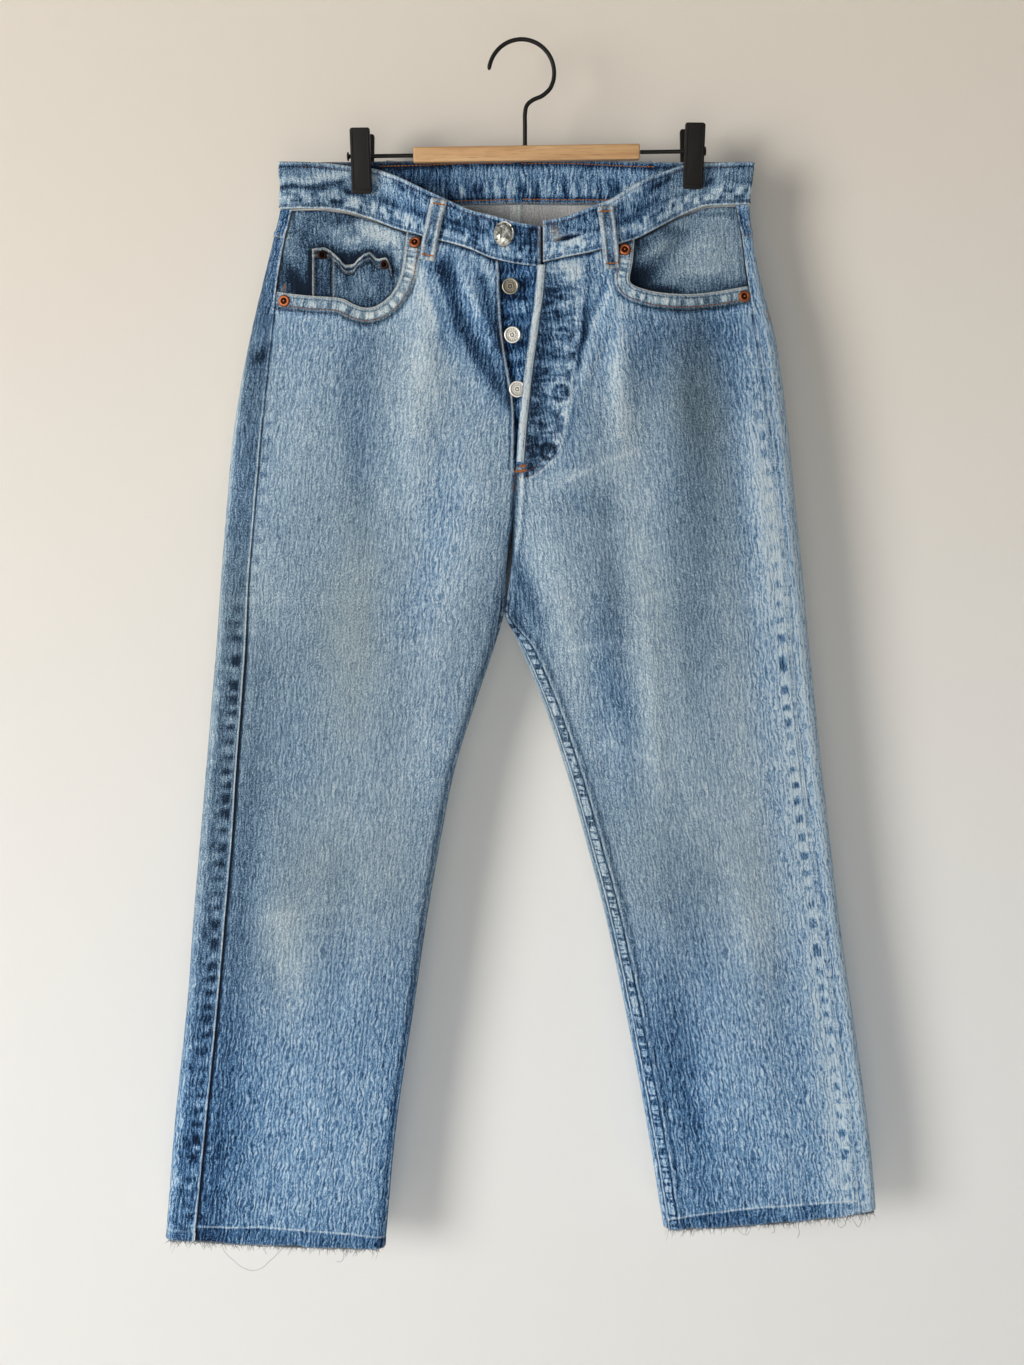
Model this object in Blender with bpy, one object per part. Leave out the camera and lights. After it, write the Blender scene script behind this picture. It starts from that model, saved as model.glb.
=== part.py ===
"""Straight leg jeans hung by the waistband from a wooden clip hanger.

The front faces -Y, the wearer's right is at -X and the origin is the underside of the hook's arc,
where it rests on a rail. The garment is two skins, one before and one behind, worked out from
sections at named heights. Every cloth piece is a wall between two distances off those skins.
Tables are in millimetres, everything else in metres.
"""

import math
from collections import namedtuple

import bmesh
import bpy
import numpy as np
from mathutils import Matrix, Vector
from mathutils.bvhtree import BVHTree

MM = 0.001

# Cloth
WALL = 0.0013
GAP = 0.0003
INSEAM_GAP = 0.0005
BAND_GAP = 0.0008  # under the waistband, whose foot and the panels' tops are cut at different places
SEAT = 0.0005  # standoff of a piece that lies on a faceted panel

# Garment heights below the hook
BAND_OUT = 0.0010  # the waistband's two faces, before and behind the skin
BAND_IN = 0.0016
BAND_TOP = -0.098
BAND_TOP_CENTRE = -0.151
WAIST_SEAM = {"right": -0.138, "left": -0.134}
WAIST_SEAM_CENTRE = -0.186
WAIST_SEAM_BACK = -0.131
BAND_TOP_BACK = -0.093
YOKE_SEAM_SIDE = -0.160
YOKE_SEAM_CENTRE = -0.205
CROTCH = -0.480
HEM_OUTER = {"right": -1.0565, "left": -1.0290}
HEM_INNER = {"right": -1.0650, "left": -1.0465}
HEM_BOW = {"right": 1.8, "left": 1.0}
INSEAM_TURN = {"right": -0.0070, "left": 0.0092}  # along the cloth from the inner fold, forward if positive
LEG_START = -0.345  # below it each leg takes on a roundness of its own
SPLIT_START = {"front": -0.400, "back": -0.365}  # where the body begins to part into legs

# One row for each height: the folds of the two legs, the side seams on the front, the inner folds
# (above the crotch, the centre line), how far the cloth stands before and behind, and the fold's radius
Section = namedtuple(
    "Section", "height right_fold right_seam right_inner left_inner left_seam left_fold front back nose"
)
SECTIONS = (
    Section(-90, -205.5, -193.0, -3.0, -3.0, 184.0, 197.0, 22, 14, 4.6),
    Section(-137, -205.0, -194.5, -3.0, -3.0, 182.5, 194.0, 25, 18, 5.5),
    Section(-160, -210.5, -200.0, -3.0, -3.0, 187.0, 197.0, 27, 23, 6.5),
    Section(-190, -218.5, -206.0, -3.5, -3.5, 191.0, 203.0, 29, 30, 8.0),
    Section(-240, -231.5, -212.0, -4.0, -4.0, 200.0, 217.0, 32, 41, 10.0),
    Section(-314, -247.0, -221.0, -5.0, -5.0, 212.0, 229.5, 34, 49, 12.0),
    Section(-400, -257.0, -230.0, -7.0, -7.0, 223.0, 240.0, 32, 48, 12.0),
    Section(-455, -262.5, -235.5, -12.0, -12.0, 229.0, 247.0, 29, 42, 12.0),
    Section(-480, -264.8, -237.3, -14.8, -14.8, 231.3, 249.8, 28, 39, 11.5),
    Section(-505, -267.0, -239.0, -22.0, -4.0, 233.5, 252.5, 27, 36, 11.0),
    Section(-553, -272.0, -243.5, -38.0, 16.5, 238.5, 258.5, 24, 31, 10.5),
    Section(-614, -278.5, -249.5, -57.5, 37.5, 246.5, 266.0, 22, 27, 10.0),
    Section(-684, -286.0, -255.5, -72.0, 57.5, 256.5, 275.5, 20, 24, 9.5),
    Section(-749, -293.0, -262.5, -83.5, 74.5, 266.5, 284.5, 18, 21, 9.0),
    Section(-832, -301.0, -271.5, -96.0, 92.5, 280.0, 298.0, 16, 18, 9.0),
    Section(-945, -315.0, -285.0, -113.2, 114.2, 298.0, 316.0, 15, 16, 8.5),
    Section(-1070, -327.5, -300.0, -125.5, 134.5, 312.5, 331.0, 14, 15, 8.0),
)

# How far the waistline has dropped, as a share of its drop at the centre, by the way in from the fold
Dip = namedtuple("Dip", "way seam_right seam_left top_right top_left")
DIPS = (
    Dip(0.0, 0.00, 0.00, 0.00, 0.00),
    Dip(0.2, 0.00, 0.03, 0.02, 0.02),
    Dip(0.3, 0.06, 0.18, 0.07, 0.05),
    Dip(0.4, 0.19, 0.38, 0.10, 0.19),
    Dip(0.5, 0.36, 0.58, 0.24, 0.36),
    Dip(0.6, 0.49, 0.70, 0.44, 0.62),
    Dip(0.7, 0.60, 0.81, 0.62, 0.76),
    Dip(0.8, 0.72, 0.89, 0.80, 0.91),
    Dip(0.9, 0.91, 0.98, 0.89, 0.98),
    Dip(1.0, 1.00, 1.00, 1.00, 1.00),
)

# How full the body and the legs are across, and how near a fold's tip the soft folds die away
FULLNESS = 2.2
QUIET = 0.030

# The two clips pinch the waist to its own thickness, and let go of it lower down
CLIP_X = {"right": -0.1345, "left": 0.1445}
PINCH_WIDTH = {"front": 0.060, "back": 0.045, "outward": 0.080}
Pinch = namedtuple("Pinch", "height grip")
PINCHES = (Pinch(-90, 0.895), Pinch(-125, 0.895), Pinch(-140, 0.76), Pinch(-165, 0.52), Pinch(-200, 0.3),
           Pinch(-260, 0.07), Pinch(-320, 0.0))

# The largest soft folds: from one end to the other, half width, and height, which is negative in a trough
Fold = namedtuple("Fold", "x_top z_top x_low z_low width rise")
FRONT_FOLDS = (
    Fold(-36, -196, -52, -352, 17, -5.5),
    Fold(-82, -235, -112, -430, 26, 3.5),
    Fold(76, -196, 34, -318, 13, 3.5),
    Fold(104, -236, 84, -380, 24, -5.0),
    Fold(36, -352, 118, -322, 11, 2.6),
    Fold(-72, -420, -96, -640, 30, -4.0),
    Fold(132, -420, 168, -640, 34, 3.0),
    Fold(-214, -650, -232, -900, 30, 3.0),
    Fold(190, -720, 214, -960, 26, 3.0),
)
BACK_FOLDS = (
    Fold(-60, -400, -150, -520, 24, -5.0),
    Fold(50, -400, 140, -520, 24, -5.0),
    Fold(-170, -560, -200, -820, 28, 3.5),
    Fold(160, -560, 205, -820, 28, 3.5),
)

# Fly: the free edges of the two fronts, left open, at the height of each row
FlyRow = namedtuple("FlyRow", "height right_edge left_edge")
FLY = (
    FlyRow(-180, -19.0, 13.5),
    FlyRow(-210, -18.0, 11.0),
    FlyRow(-240, -16.0, 7.0),
    FlyRow(-270, -11.5, 2.8),
    FlyRow(-300, -6.5, -0.5),
    FlyRow(-330, -6.0, -3.4),
    FlyRow(-356, -6.8, -5.0),
)
FLY_END = -0.356
FLY_CLOSE = 0.006
FLY_FOLD_WIDTH = 0.0072
FLY_FOLD_THICKNESS = 0.0026
FLY_LIFT = 0.0044  # how far the buttonhole side stands proud, and over what width it falls back
FLY_LIFT_WIDTH = 0.016
UNDERLAP_REACH = 0.026
UNDERLAP_WALL = 0.0014

# Front pocket openings, from the waist seam round to the side seam
POCKET_OPENING = {
    "right": ((-94, -140), (-96, -159), (-98, -178), (-101.5, -196), (-109, -210), (-121, -219.5),
              (-132, -221.5), (-142, -218.5), (-153, -213.5), (-176, -211.5), (-195, -209.5), (-216, -206)),
    "left": ((95, -138), (94, -165), (92.5, -183), (90, -196), (92, -202), (102, -206), (118, -209),
             (142, -210), (166, -207.5), (191, -203), (212, -200)),
}
FACING_BELOW = 0.016
FACING_WALL = 0.0011
COIN_POCKET = {"outer": -0.174, "inner": -0.1095, "wall": 0.0009}
CoinTop = namedtuple("CoinTop", "x height")
COIN_TOP = (CoinTop(-174, -171), CoinTop(-165, -170), CoinTop(-156, -177), CoinTop(-149, -184),
            CoinTop(-142, -183), CoinTop(-135, -177), CoinTop(-128, -174), CoinTop(-122, -179),
            CoinTop(-114, -179), CoinTop(-109.5, -190))

# Back pockets
BACK_POCKET = {"centre": 0.107, "top": -0.214, "width": 0.148, "foot_width": 0.126, "side": 0.128,
               "point": 0.156, "wall": 0.0012, "lean": 0.035}

# Belt loops: the middle of the top end and of the foot, and the waist seam between them
LOOP_WIDTH = 0.0130
LOOP_WALL = 0.0016
LOOP_BOW = 0.0016
Loop = namedtuple("Loop", "name face x_top z_top x_foot z_foot z_seam")
LOOPS = (
    Loop("loop_front_right", "front", -68.5, -131.5, -79.5, -182.0, -163.0),
    Loop("loop_front_left", "front", 70.0, -137.5, 76.0, -189.0, -166.0),
    Loop("loop_back_right", "back", -108.0, -96.0, -110.0, -150.0, -131.0),
    Loop("loop_back_centre", "back", -3.0, -95.0, -3.5, -150.0, -131.0),
    Loop("loop_back_left", "back", 104.0, -96.0, 106.0, -150.0, -131.0),
)

# Hardware: where each piece sits on the front
Spot = namedtuple("Spot", "name x z")
WAIST_BUTTON = Spot("button_waist", -15, -161)
FLY_BUTTONS = (Spot("fly_button_1", -9.5, -204), Spot("fly_button_2", -7.5, -244),
               Spot("fly_button_3", -3.5, -289))
RIVETS = (Spot("rivet_1", -89.5, -167), Spot("rivet_2", -201, -214.5), Spot("rivet_3", 87, -173),
          Spot("rivet_4", 189, -210.5))
COIN_RIVETS = (Spot("coin_rivet_1", -168.5, -176), Spot("coin_rivet_2", -115.5, -184.5))
# Turned profiles: radius and height above the cloth
BUTTON_PROFILE = ((0, 5.0), (3.4, 5.0), (4.6, 5.4), (6.2, 5.3), (7.0, 4.7), (7.0, 4.0), (6.2, 3.6),
                  (2.6, 3.3), (2.6, 0), (0, 0))
RIVET_PROFILE = ((0, 1.9), (1.0, 1.7), (1.5, 1.1), (2.6, 1.2), (4.2, 0.9), (4.8, 0.2), (4.6, 0), (0, 0))
CRYSTAL_PROFILE = ((0, 5.6), (3.2, 5.2), (6.0, 3.8), (7.2, 3.0), (8.1, 2.2), (8.1, 0.8), (3.0, 0.5),
                   (3.0, 0), (0, 0))
CRYSTAL_STRETCH = 1.14

# Hanger
WIRE_RADIUS = 0.0018
HOOK_ARC_RADIUS = 0.0275
HOOK_ARC_START = 172
HOOK_ARC_END = -14
STEM_X = 0.003
BAR = {"left_end": -0.0913, "right_end": 0.1000, "height": 0.0127, "depth": 0.0100, "z": -0.0914,
       "tilt": 0.0147}
ROD_RADIUS = 0.0017
ROD_OUTER = {"right": -0.1476, "left": 0.1562}
ROD_CAP = {"radius": 0.0039, "thickness": 0.0016}
JAW = {"width": 0.0168, "height": 0.0535, "thickness": 0.0040, "top": 0.0212, "foot_gap": 0.0033,
       "flare": 0.0117}
JAW_TOE_IN = math.radians(2.6)
SPRING = {"width": 0.0080, "thickness": 0.0008, "leg": 0.024}


def smooth_column(table, column):
    """A column of a table as a function of height in metres, through its rows in one smooth curve."""
    rows = sorted(table, key=lambda row: row.height)
    heights = np.array([row.height * MM for row in rows])
    values = np.array([getattr(row, column) for row in rows], float)
    slopes = np.gradient(values, heights)

    def value(z):
        z = min(max(z, heights[0]), heights[-1])
        i = min(int(np.searchsorted(heights, z, "right")) - 1, len(heights) - 2)
        step = heights[i + 1] - heights[i]
        t = (z - heights[i]) / step
        bend = t * t * (3 - 2 * t)
        start = slopes[i] * step * t * (1 - t) ** 2
        end = slopes[i + 1] * step * t * t * (t - 1)
        return float(values[i] * (1 - bend) + values[i + 1] * bend + start + end)

    return value


def tabulated(value, low=-1.09, high=-0.06, step=0.001):
    """The same function read from a fine ruler of heights, which is much quicker."""
    ruler = np.arange(low, high, step)
    marks = np.array([value(z) for z in ruler])
    return lambda z: float(np.interp(z, ruler, marks))


SHAPE = {name: tabulated(smooth_column(SECTIONS, name)) for name in Section._fields[1:]}
GRIP = tabulated(smooth_column(PINCHES, "grip"))
FLY_EDGE = {
    "right": tabulated(smooth_column(FLY, "right_edge")),
    "left": tabulated(smooth_column(FLY, "left_edge")),
}


def ease(value, start, end):
    """0 before start, 1 after end, and smooth between."""
    t = min(max((value - start) / (end - start), 0.0), 1.0)
    return t * t * (3 - 2 * t)


def outer_x(side, z):
    return SHAPE[side + "_fold"](z) * MM


def seam_x(side, z):
    return SHAPE[side + "_seam"](z) * MM


def inner_x(side, z):
    """The inner fold of a leg, or the centre line above the crotch, less half a seam's gap."""
    away = -GAP / 2 if side == "right" else GAP / 2
    line = side if z < CROTCH else "right"
    return SHAPE[line + "_inner"](z) * MM + away


def side_of(x, z):
    return "right" if x < SHAPE["right_inner"](z) * MM else "left"


def nose(distance, radius):
    """The height of a round fold at a distance in from its tip, as a share of the cloth's height."""
    way = min(max(distance / radius, 0.0), 1.0)
    return math.sqrt(max(0.0, 1 - (1 - way) ** 2))


def fold_height(folds, x, z):
    total = 0.0
    for fold in folds:
        ax, az = fold.x_top * MM, fold.z_top * MM
        dx, dz = fold.x_low * MM - ax, fold.z_low * MM - az
        along = ((x - ax) * dx + (z - az) * dz) / (dx * dx + dz * dz)
        held = min(max(along, 0.0), 1.0)
        off = math.hypot(x - ax - held * dx, z - az - held * dz) / (fold.width * MM)
        if off < 3:
            total += fold.rise * MM * math.exp(-off * off) * (0.35 + 0.65 * math.sin(math.pi * held))
    return total


def skin_height(side, face, x, z):
    """How far the cloth's outer face stands from the plane of the two folds, at X and Z."""
    fold = outer_x(side, z)
    inner = inner_x(side, z)
    radius = SHAPE["nose"](z) * MM
    middle = SHAPE["front" if face == "front" else "back"](z) * MM
    body_centre = (outer_x("right", z) + outer_x("left", z)) / 2
    body_half = (outer_x("left", z) - outer_x("right", z)) / 2
    leg_centre = (fold + inner) / 2
    leg_half = abs(fold - inner) / 2
    body = radius + (middle - radius) * (1 - min(abs((x - body_centre) / body_half), 1.0) ** FULLNESS)
    leg = radius + (middle - radius) * (1 - min(abs((x - leg_centre) / leg_half), 1.0) ** FULLNESS)
    as_leg = ease(z, LEG_START, CROTCH)
    height = (1 - as_leg) * body + as_leg * leg
    out_of_clip = (x - CLIP_X[side]) * (1 if side == "left" else -1)
    width = PINCH_WIDTH["outward" if out_of_clip > 0 else face]
    height *= 1 - GRIP(z) * math.exp(-((out_of_clip / width) ** 2))
    from_fold = abs(x - fold) if (fold - x) * (fold - inner) > 0 else 0.0
    from_inner = abs(x - inner) if (x - inner) * (fold - inner) > 0 else 0.0
    quiet = nose(from_fold, QUIET) ** 2
    if as_leg > 0:
        quiet *= 1 - as_leg * (1 - nose(from_inner, QUIET) ** 2)
    height += quiet * fold_height(FRONT_FOLDS if face == "front" else BACK_FOLDS, x, z)
    split = ease(z, SPLIT_START[face], CROTCH)
    height *= nose(from_fold, radius)
    return height * (1 - split * (1 - nose(from_inner, radius)))


def skin_point(side, face, x, z):
    height = skin_height(side, face, x, z)
    return Vector((x, -height if face == "front" else height, z))


def skin_normal(side, face, x, z):
    """Out of the cloth. Right on a fold the slope is taken a hair inside it."""
    fold, inner = outer_x(side, z), inner_x(side, z)
    hair = 0.00003
    low, high = min(fold, inner) + hair, max(fold, inner) - hair
    if z > SPLIT_START[face]:
        low, high = (low, high + 0.05) if side == "right" else (low - 0.05, high)
    near = min(max(x, low), high)
    step = 0.00002
    across = (skin_height(side, face, near + step, z) - skin_height(side, face, near - step, z)) / (2 * step)
    up = (skin_height(side, face, x, z + 0.001) - skin_height(side, face, x, z - 0.001)) / 0.002
    if abs(up) > 3:
        up = math.copysign(3, up)
    if abs(across) > 30:
        up = 0.0
    outward = -1 if face == "front" else 1
    return Vector((-across, outward, -up)).normalized()


def fold_way(arc, radius):
    """How far in from a fold's tip a point lies in X, when it lies arc along the cloth from the tip."""
    quarter = radius * math.pi / 2
    if arc < quarter:
        return radius * (1 - math.cos(arc / radius))
    return radius + arc - quarter


def dip_share(column, way):
    ways = [row.way for row in DIPS]
    return float(np.interp(way, ways, [getattr(row, column) for row in DIPS]))


def front_height(side, way, down):
    """Height of a front row at a share of the way in from the fold. Rows run from the waist seam, at 0,
    over the crotch, at 1, to the hem, at 2."""
    if down <= 1:
        at_fold = WAIST_SEAM[side] + (CROTCH - WAIST_SEAM[side]) * down
        at_centre = WAIST_SEAM_CENTRE + (CROTCH - WAIST_SEAM_CENTRE) * down
        share = dip_share("seam_" + side, way) * (1 - down) + way * down
    else:
        at_fold = CROTCH + (HEM_OUTER[side] - CROTCH) * (down - 1)
        at_centre = CROTCH + (HEM_INNER[side] - CROTCH) * (down - 1)
        share = way ** (1 + (HEM_BOW[side] - 1) * (down - 1))
    return at_fold + (at_centre - at_fold) * share


def back_height(side, way, down):
    """The same behind, where rows start at the yoke seam."""
    if down <= 1:
        at_fold = YOKE_SEAM_SIDE + (CROTCH - YOKE_SEAM_SIDE) * down
        at_centre = YOKE_SEAM_CENTRE + (CROTCH - YOKE_SEAM_CENTRE) * down
    else:
        at_fold = CROTCH + (HEM_OUTER[side] - CROTCH) * (down - 1)
        at_centre = CROTCH + (HEM_INNER[side] - CROTCH) * (down - 1)
        way = way ** (1 + (HEM_BOW[side] - 1) * (down - 1))
    return at_fold + (at_centre - at_fold) * way


def down_to(z):
    """The front row that reaches a height at the centre line."""
    return (WAIST_SEAM_CENTRE - z) / (WAIST_SEAM_CENTRE - CROTCH)


def yoke_height(side, way, down):
    """Rows of a yoke, from the waist seam, at 0, to the yoke seam, at 1."""
    top = WAIST_SEAM[side] + (WAIST_SEAM_BACK - WAIST_SEAM[side]) * way
    foot = YOKE_SEAM_SIDE + GAP + (YOKE_SEAM_CENTRE - YOKE_SEAM_SIDE) * way
    return top + (foot - top) * down


def inseam_turn(side, z):
    """How far the inseam lies from the inner fold along the cloth, forward if positive."""
    return INSEAM_TURN[side] * ease(z, CROTCH, CROTCH - 0.035)


def station(side, z, face, way):
    """(face, x) of a place that is a share of the way in from the fold."""
    fold, inner = outer_x(side, z), inner_x(side, z)
    return face, fold + (inner - fold) * way


def front_columns(side, z, count):
    """(face, way) of a front panel's columns, from the centre or inseam to the side seam."""
    fold, inner = outer_x(side, z), inner_x(side, z)
    width = abs(fold - inner)
    radius = SHAPE["nose"](z) * MM
    seam = (abs(seam_x(side, z) - fold) + GAP / 2) / width
    turn = inseam_turn(side, z) + INSEAM_GAP / 2
    in_leg = z < CROTCH + 0.0001
    start = fold_way(abs(turn), radius) / width if in_leg else 0.0
    start_face = "front" if turn >= 0 else "back"
    if z > FLY_END:
        edge = FLY_EDGE[side](z) * MM
        if side == "left":
            edge += FLY_FOLD_WIDTH + GAP
        start = max(start, abs(edge - inner) / width)
    on_tip = start if turn >= 0 else 0.0
    second = on_tip + (radius * 0.35 / width if in_leg else 0.012)
    third = max(second + 0.02, radius / width + 0.012)
    inner_columns = [(start_face, 1 - start)]
    if in_leg and turn < 0:
        inner_columns.append(("front", 1 - on_tip))
    inner_columns.append(("front", 1 - second))
    rest = count - len(inner_columns)
    for i in range(rest):
        inner_columns.append(("front", 1 - third + (seam - 1 + third) * i / (rest - 1)))
    return inner_columns


def back_columns(side, z, count):
    """(face, way) of a back panel's columns, from the side seam round the fold to the centre or inseam."""
    fold, inner = outer_x(side, z), inner_x(side, z)
    width = abs(fold - inner)
    radius = SHAPE["nose"](z) * MM
    seam = (abs(seam_x(side, z) - fold) - GAP / 2) / width
    turn = inseam_turn(side, z) - INSEAM_GAP / 2
    in_leg = z < CROTCH + 0.0001
    end = fold_way(abs(turn), radius) / width if in_leg else 0.0
    bend = radius * 0.45 / width
    columns = [("front", seam), ("front", min(bend, seam * 0.7)), ("front", 0.0), ("back", bend)]
    first = radius * 1.15 / width
    if in_leg and turn > 0:
        tail = [("back", 1 - radius * 0.35 / width), ("back", 1.0), ("front", 1 - end)]
    else:
        tip = end + (radius * 0.35 / width if in_leg else 0.012)
        tail = [("back", 1 - tip), ("back", 1 - end)]
    last = tail[0][1] - (radius * 0.85 / width if in_leg else 0.04)
    rest = count - len(columns) - len(tail)
    for i in range(rest):
        columns.append(("back", first + (last - first) * i / (rest - 1)))
    return columns + tail


def grid_of(side, heights, columns, downs, count, settle=3):
    """Rows of (face, x, z, side). Each place's height depends on its way in, and its way on its height, so
    the two are worked out together in a few rounds."""
    rows = []
    for down in downs:
        row = []
        for j in range(count):
            z = heights(side, 0.5, down)
            for _ in range(settle):
                face, way = columns(side, z, count)[j]
                z = heights(side, way, down)
            row.append((*station(side, z, face, way), z, side))
        rows.append(row)
    return rows


def spaced(start, end, count):
    return [start + (end - start) * i / (count - 1) for i in range(count)]


def front_lift(side, face, x, z):
    """The buttonhole side stands proud along the open fly, over the buttons."""
    if side != "left" or face != "front" or z < FLY_END - 0.02:
        return 0.0
    edge = FLY_EDGE["left"](z) * MM
    fade = ease(z, FLY_END - 0.015, FLY_END + 0.05)
    return FLY_LIFT * math.exp(-(((x - edge) / FLY_LIFT_WIDTH) ** 2)) * fade


def offset_point(place, out):
    face, x, z, side = place
    normal = skin_normal(side, face, x, z)
    return skin_point(side, face, x, z) + normal * out


def new_material(name, colour, roughness, metallic=0.0):
    material = bpy.data.materials.new(name)
    material.use_nodes = True
    shader = material.node_tree.nodes["Principled BSDF"]
    shader.inputs["Base Color"].default_value = (*colour, 1.0)
    shader.inputs["Roughness"].default_value = roughness
    shader.inputs["Metallic"].default_value = metallic
    material.diffuse_color = (*colour, 1.0)
    return material


def add_object(name, bm, material, smooth=True):
    mesh = bpy.data.meshes.new(name)
    bm.to_mesh(mesh)
    bm.free()
    mesh.materials.append(material)
    if smooth:
        mesh.shade_smooth()
        mesh.set_sharp_from_angle(angle=math.radians(40))
    obj = bpy.data.objects.new(name, mesh)
    parts.objects.link(obj)
    return obj


def wall(name, outer, inner, material):
    """A closed wall between two grids of points, each a list of rows, with their squares split alike."""
    bm = bmesh.new()
    rows, columns = len(outer), len(outer[0])
    front = [[bm.verts.new(point) for point in row] for row in outer]
    back = [[bm.verts.new(point) for point in row] for row in inner]
    for i in range(rows - 1):
        for j in range(columns - 1):
            a, b, c, d = front[i][j], front[i][j + 1], front[i + 1][j + 1], front[i + 1][j]
            bm.faces.new((a, b, c))
            bm.faces.new((a, c, d))
            a, b, c, d = back[i][j], back[i][j + 1], back[i + 1][j + 1], back[i + 1][j]
            bm.faces.new((a, c, b))
            bm.faces.new((a, d, c))
    edge = [(0, j) for j in range(columns)] + [(i, columns - 1) for i in range(1, rows)]
    edge += [(rows - 1, j) for j in range(columns - 2, -1, -1)] + [(i, 0) for i in range(rows - 2, 0, -1)]
    for (i, j), (k, m) in zip(edge, edge[1:] + edge[:1]):
        bm.faces.new((front[i][j], back[i][j], back[k][m], front[k][m]))
    bmesh.ops.recalc_face_normals(bm, faces=bm.faces)
    return add_object(name, bm, material)


def cloth_wall(name, grid, out, inward, material, lift=None):
    """A wall on the skins between two distances off them."""
    outer, inner = [], []
    for row in grid:
        raised = [0.0 if lift is None else lift(place[3], place[0], place[1], place[2]) for place in row]
        outer.append([offset_point(place, out + up) for place, up in zip(row, raised)])
        inner.append([offset_point(place, inward + up) for place, up in zip(row, raised)])
    return wall(name, outer, inner, material)


def lattice_tree(grids):
    """The faceted outer faces of some panels, for what lies on them."""
    points, triangles = [], []
    for grid in grids:
        base, width = len(points), len(grid[0])
        points += [offset_point(place, 0.0) for row in grid for place in row]
        for i in range(len(grid) - 1):
            for j in range(width - 1):
                a = base + i * width + j
                triangles += [(a, a + 1, a + width + 1), (a, a + width + 1, a + width)]
    return BVHTree.FromPolygons(points, triangles, all_triangles=True)


def on_facets(tree, face, x, z, out):
    """A point at a distance off the faceted skin, seen straight from the front or the back."""
    outward = -1 if face == "front" else 1
    hit = tree.ray_cast(Vector((x, outward, z)), Vector((0, -outward, 0)))[0]
    side = side_of(x, z)
    if hit is None:
        hit = skin_point(side, face, x, z)
    return hit + skin_normal(side, face, x, z) * out


def patch(name, tree, face, rows, out, inward, material):
    """A wall on the facets, over rows of (x, z). out and inward are distances, or functions of (x, z)."""
    top = out if callable(out) else lambda x, z: out
    foot = inward if callable(inward) else lambda x, z: inward
    outer = [[on_facets(tree, face, x, z, top(x, z)) for x, z in row] for row in rows]
    inner = [[on_facets(tree, face, x, z, foot(x, z)) for x, z in row] for row in rows]
    return wall(name, outer, inner, material)


def pocket_line(side, x):
    """Height of a front pocket's opening below x, away from its steep end by the waist."""
    outline = POCKET_OPENING[side][4 if side == "right" else 5:]
    xs = [point[0] * MM for point in outline]
    zs = [point[1] * MM for point in outline]
    if side == "right":
        xs, zs = xs[::-1], zs[::-1]
    return float(np.interp(x, xs, zs))


def cutter_for_pocket(side):
    """A block with the outline of the cloth that is cut away at a front pocket."""
    outline = [(x * MM, z * MM) for x, z in POCKET_OPENING[side]]
    start, end = outline[0], outline[-1]
    outline += [(end[0], -0.10), (start[0], -0.10)]
    bm = bmesh.new()
    verts = [bm.verts.new((x, -0.09, z)) for x, z in outline]
    face = bm.faces.new(verts)
    extruded = bmesh.ops.extrude_face_region(bm, geom=[face])
    moved = [item for item in extruded["geom"] if isinstance(item, bmesh.types.BMVert)]
    bmesh.ops.translate(bm, verts=moved, vec=(0, 0.12, 0))
    bmesh.ops.recalc_face_normals(bm, faces=bm.faces)
    mesh = bpy.data.meshes.new("cut_pocket_" + side)
    bm.to_mesh(mesh)
    bm.free()
    obj = bpy.data.objects.new("cut_pocket_" + side, mesh)
    obj.hide_render = True
    obj.display_type = "WIRE"
    cutters.objects.link(obj)
    return obj


def cut(obj, cutter):
    modifier = obj.modifiers.new("cut", "BOOLEAN")
    modifier.operation = "DIFFERENCE"
    modifier.object = cutter


def make_panels(materials):
    """The four leg panels. Returns the facets of the front and of the back for the pieces on them."""
    torso = sorted(spaced(0.0, 1.0, 11) + [down_to(FLY_END), down_to(FLY_END + FLY_CLOSE)])
    legs = spaced(1.0, 2.0, 14)[1:]
    downs = torso + legs
    trees = {}
    fronts, backs = [], []
    for side in ("right", "left"):
        grid = grid_of(side, front_height, front_columns, downs, 12)
        panel = cloth_wall("front_" + side, grid, 0.0, -WALL, materials["denim"], front_lift)
        cut(panel, cutter_for_pocket(side))
        whole = [[("front", inner_x(side, row[0][2]), row[0][2], side), *row] for row in grid[: len(torso)]]
        whole += [[row[0], *row] for row in grid[len(torso):]]
        fronts.append(whole)
        grid = grid_of(side, back_height, back_columns, spaced(0.0, 1.0, 11) + legs, 16)
        cloth_wall("back_" + side, grid, 0.0, -WALL, materials["denim"])
        backs.append(grid)
        grid = grid_of(side, yoke_height, back_columns, spaced(0.0, 1.0, 3), 16)
        cloth_wall("yoke_" + side, grid, 0.0, -WALL, materials["denim"])
        backs.append(grid)
    trees["front"] = lattice_tree(fronts)
    trees["back"] = lattice_tree(backs)
    return trees


def band_edge(side, face, way, top):
    """Height of the waistband's top or foot at a share of the way in from the fold."""
    if top:
        centre = BAND_TOP_CENTRE if face == "front" else BAND_TOP_BACK
        share = dip_share("top_" + side, way) if face == "front" else ease(way, 0.3, 0.85)
        return BAND_TOP + (centre - BAND_TOP) * share
    if face == "front":
        share = dip_share("seam_" + side, way)
        return WAIST_SEAM[side] + (WAIST_SEAM_CENTRE - WAIST_SEAM[side]) * share + BAND_GAP
    return WAIST_SEAM[side] + (WAIST_SEAM_BACK - WAIST_SEAM[side]) * way + BAND_GAP


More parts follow.
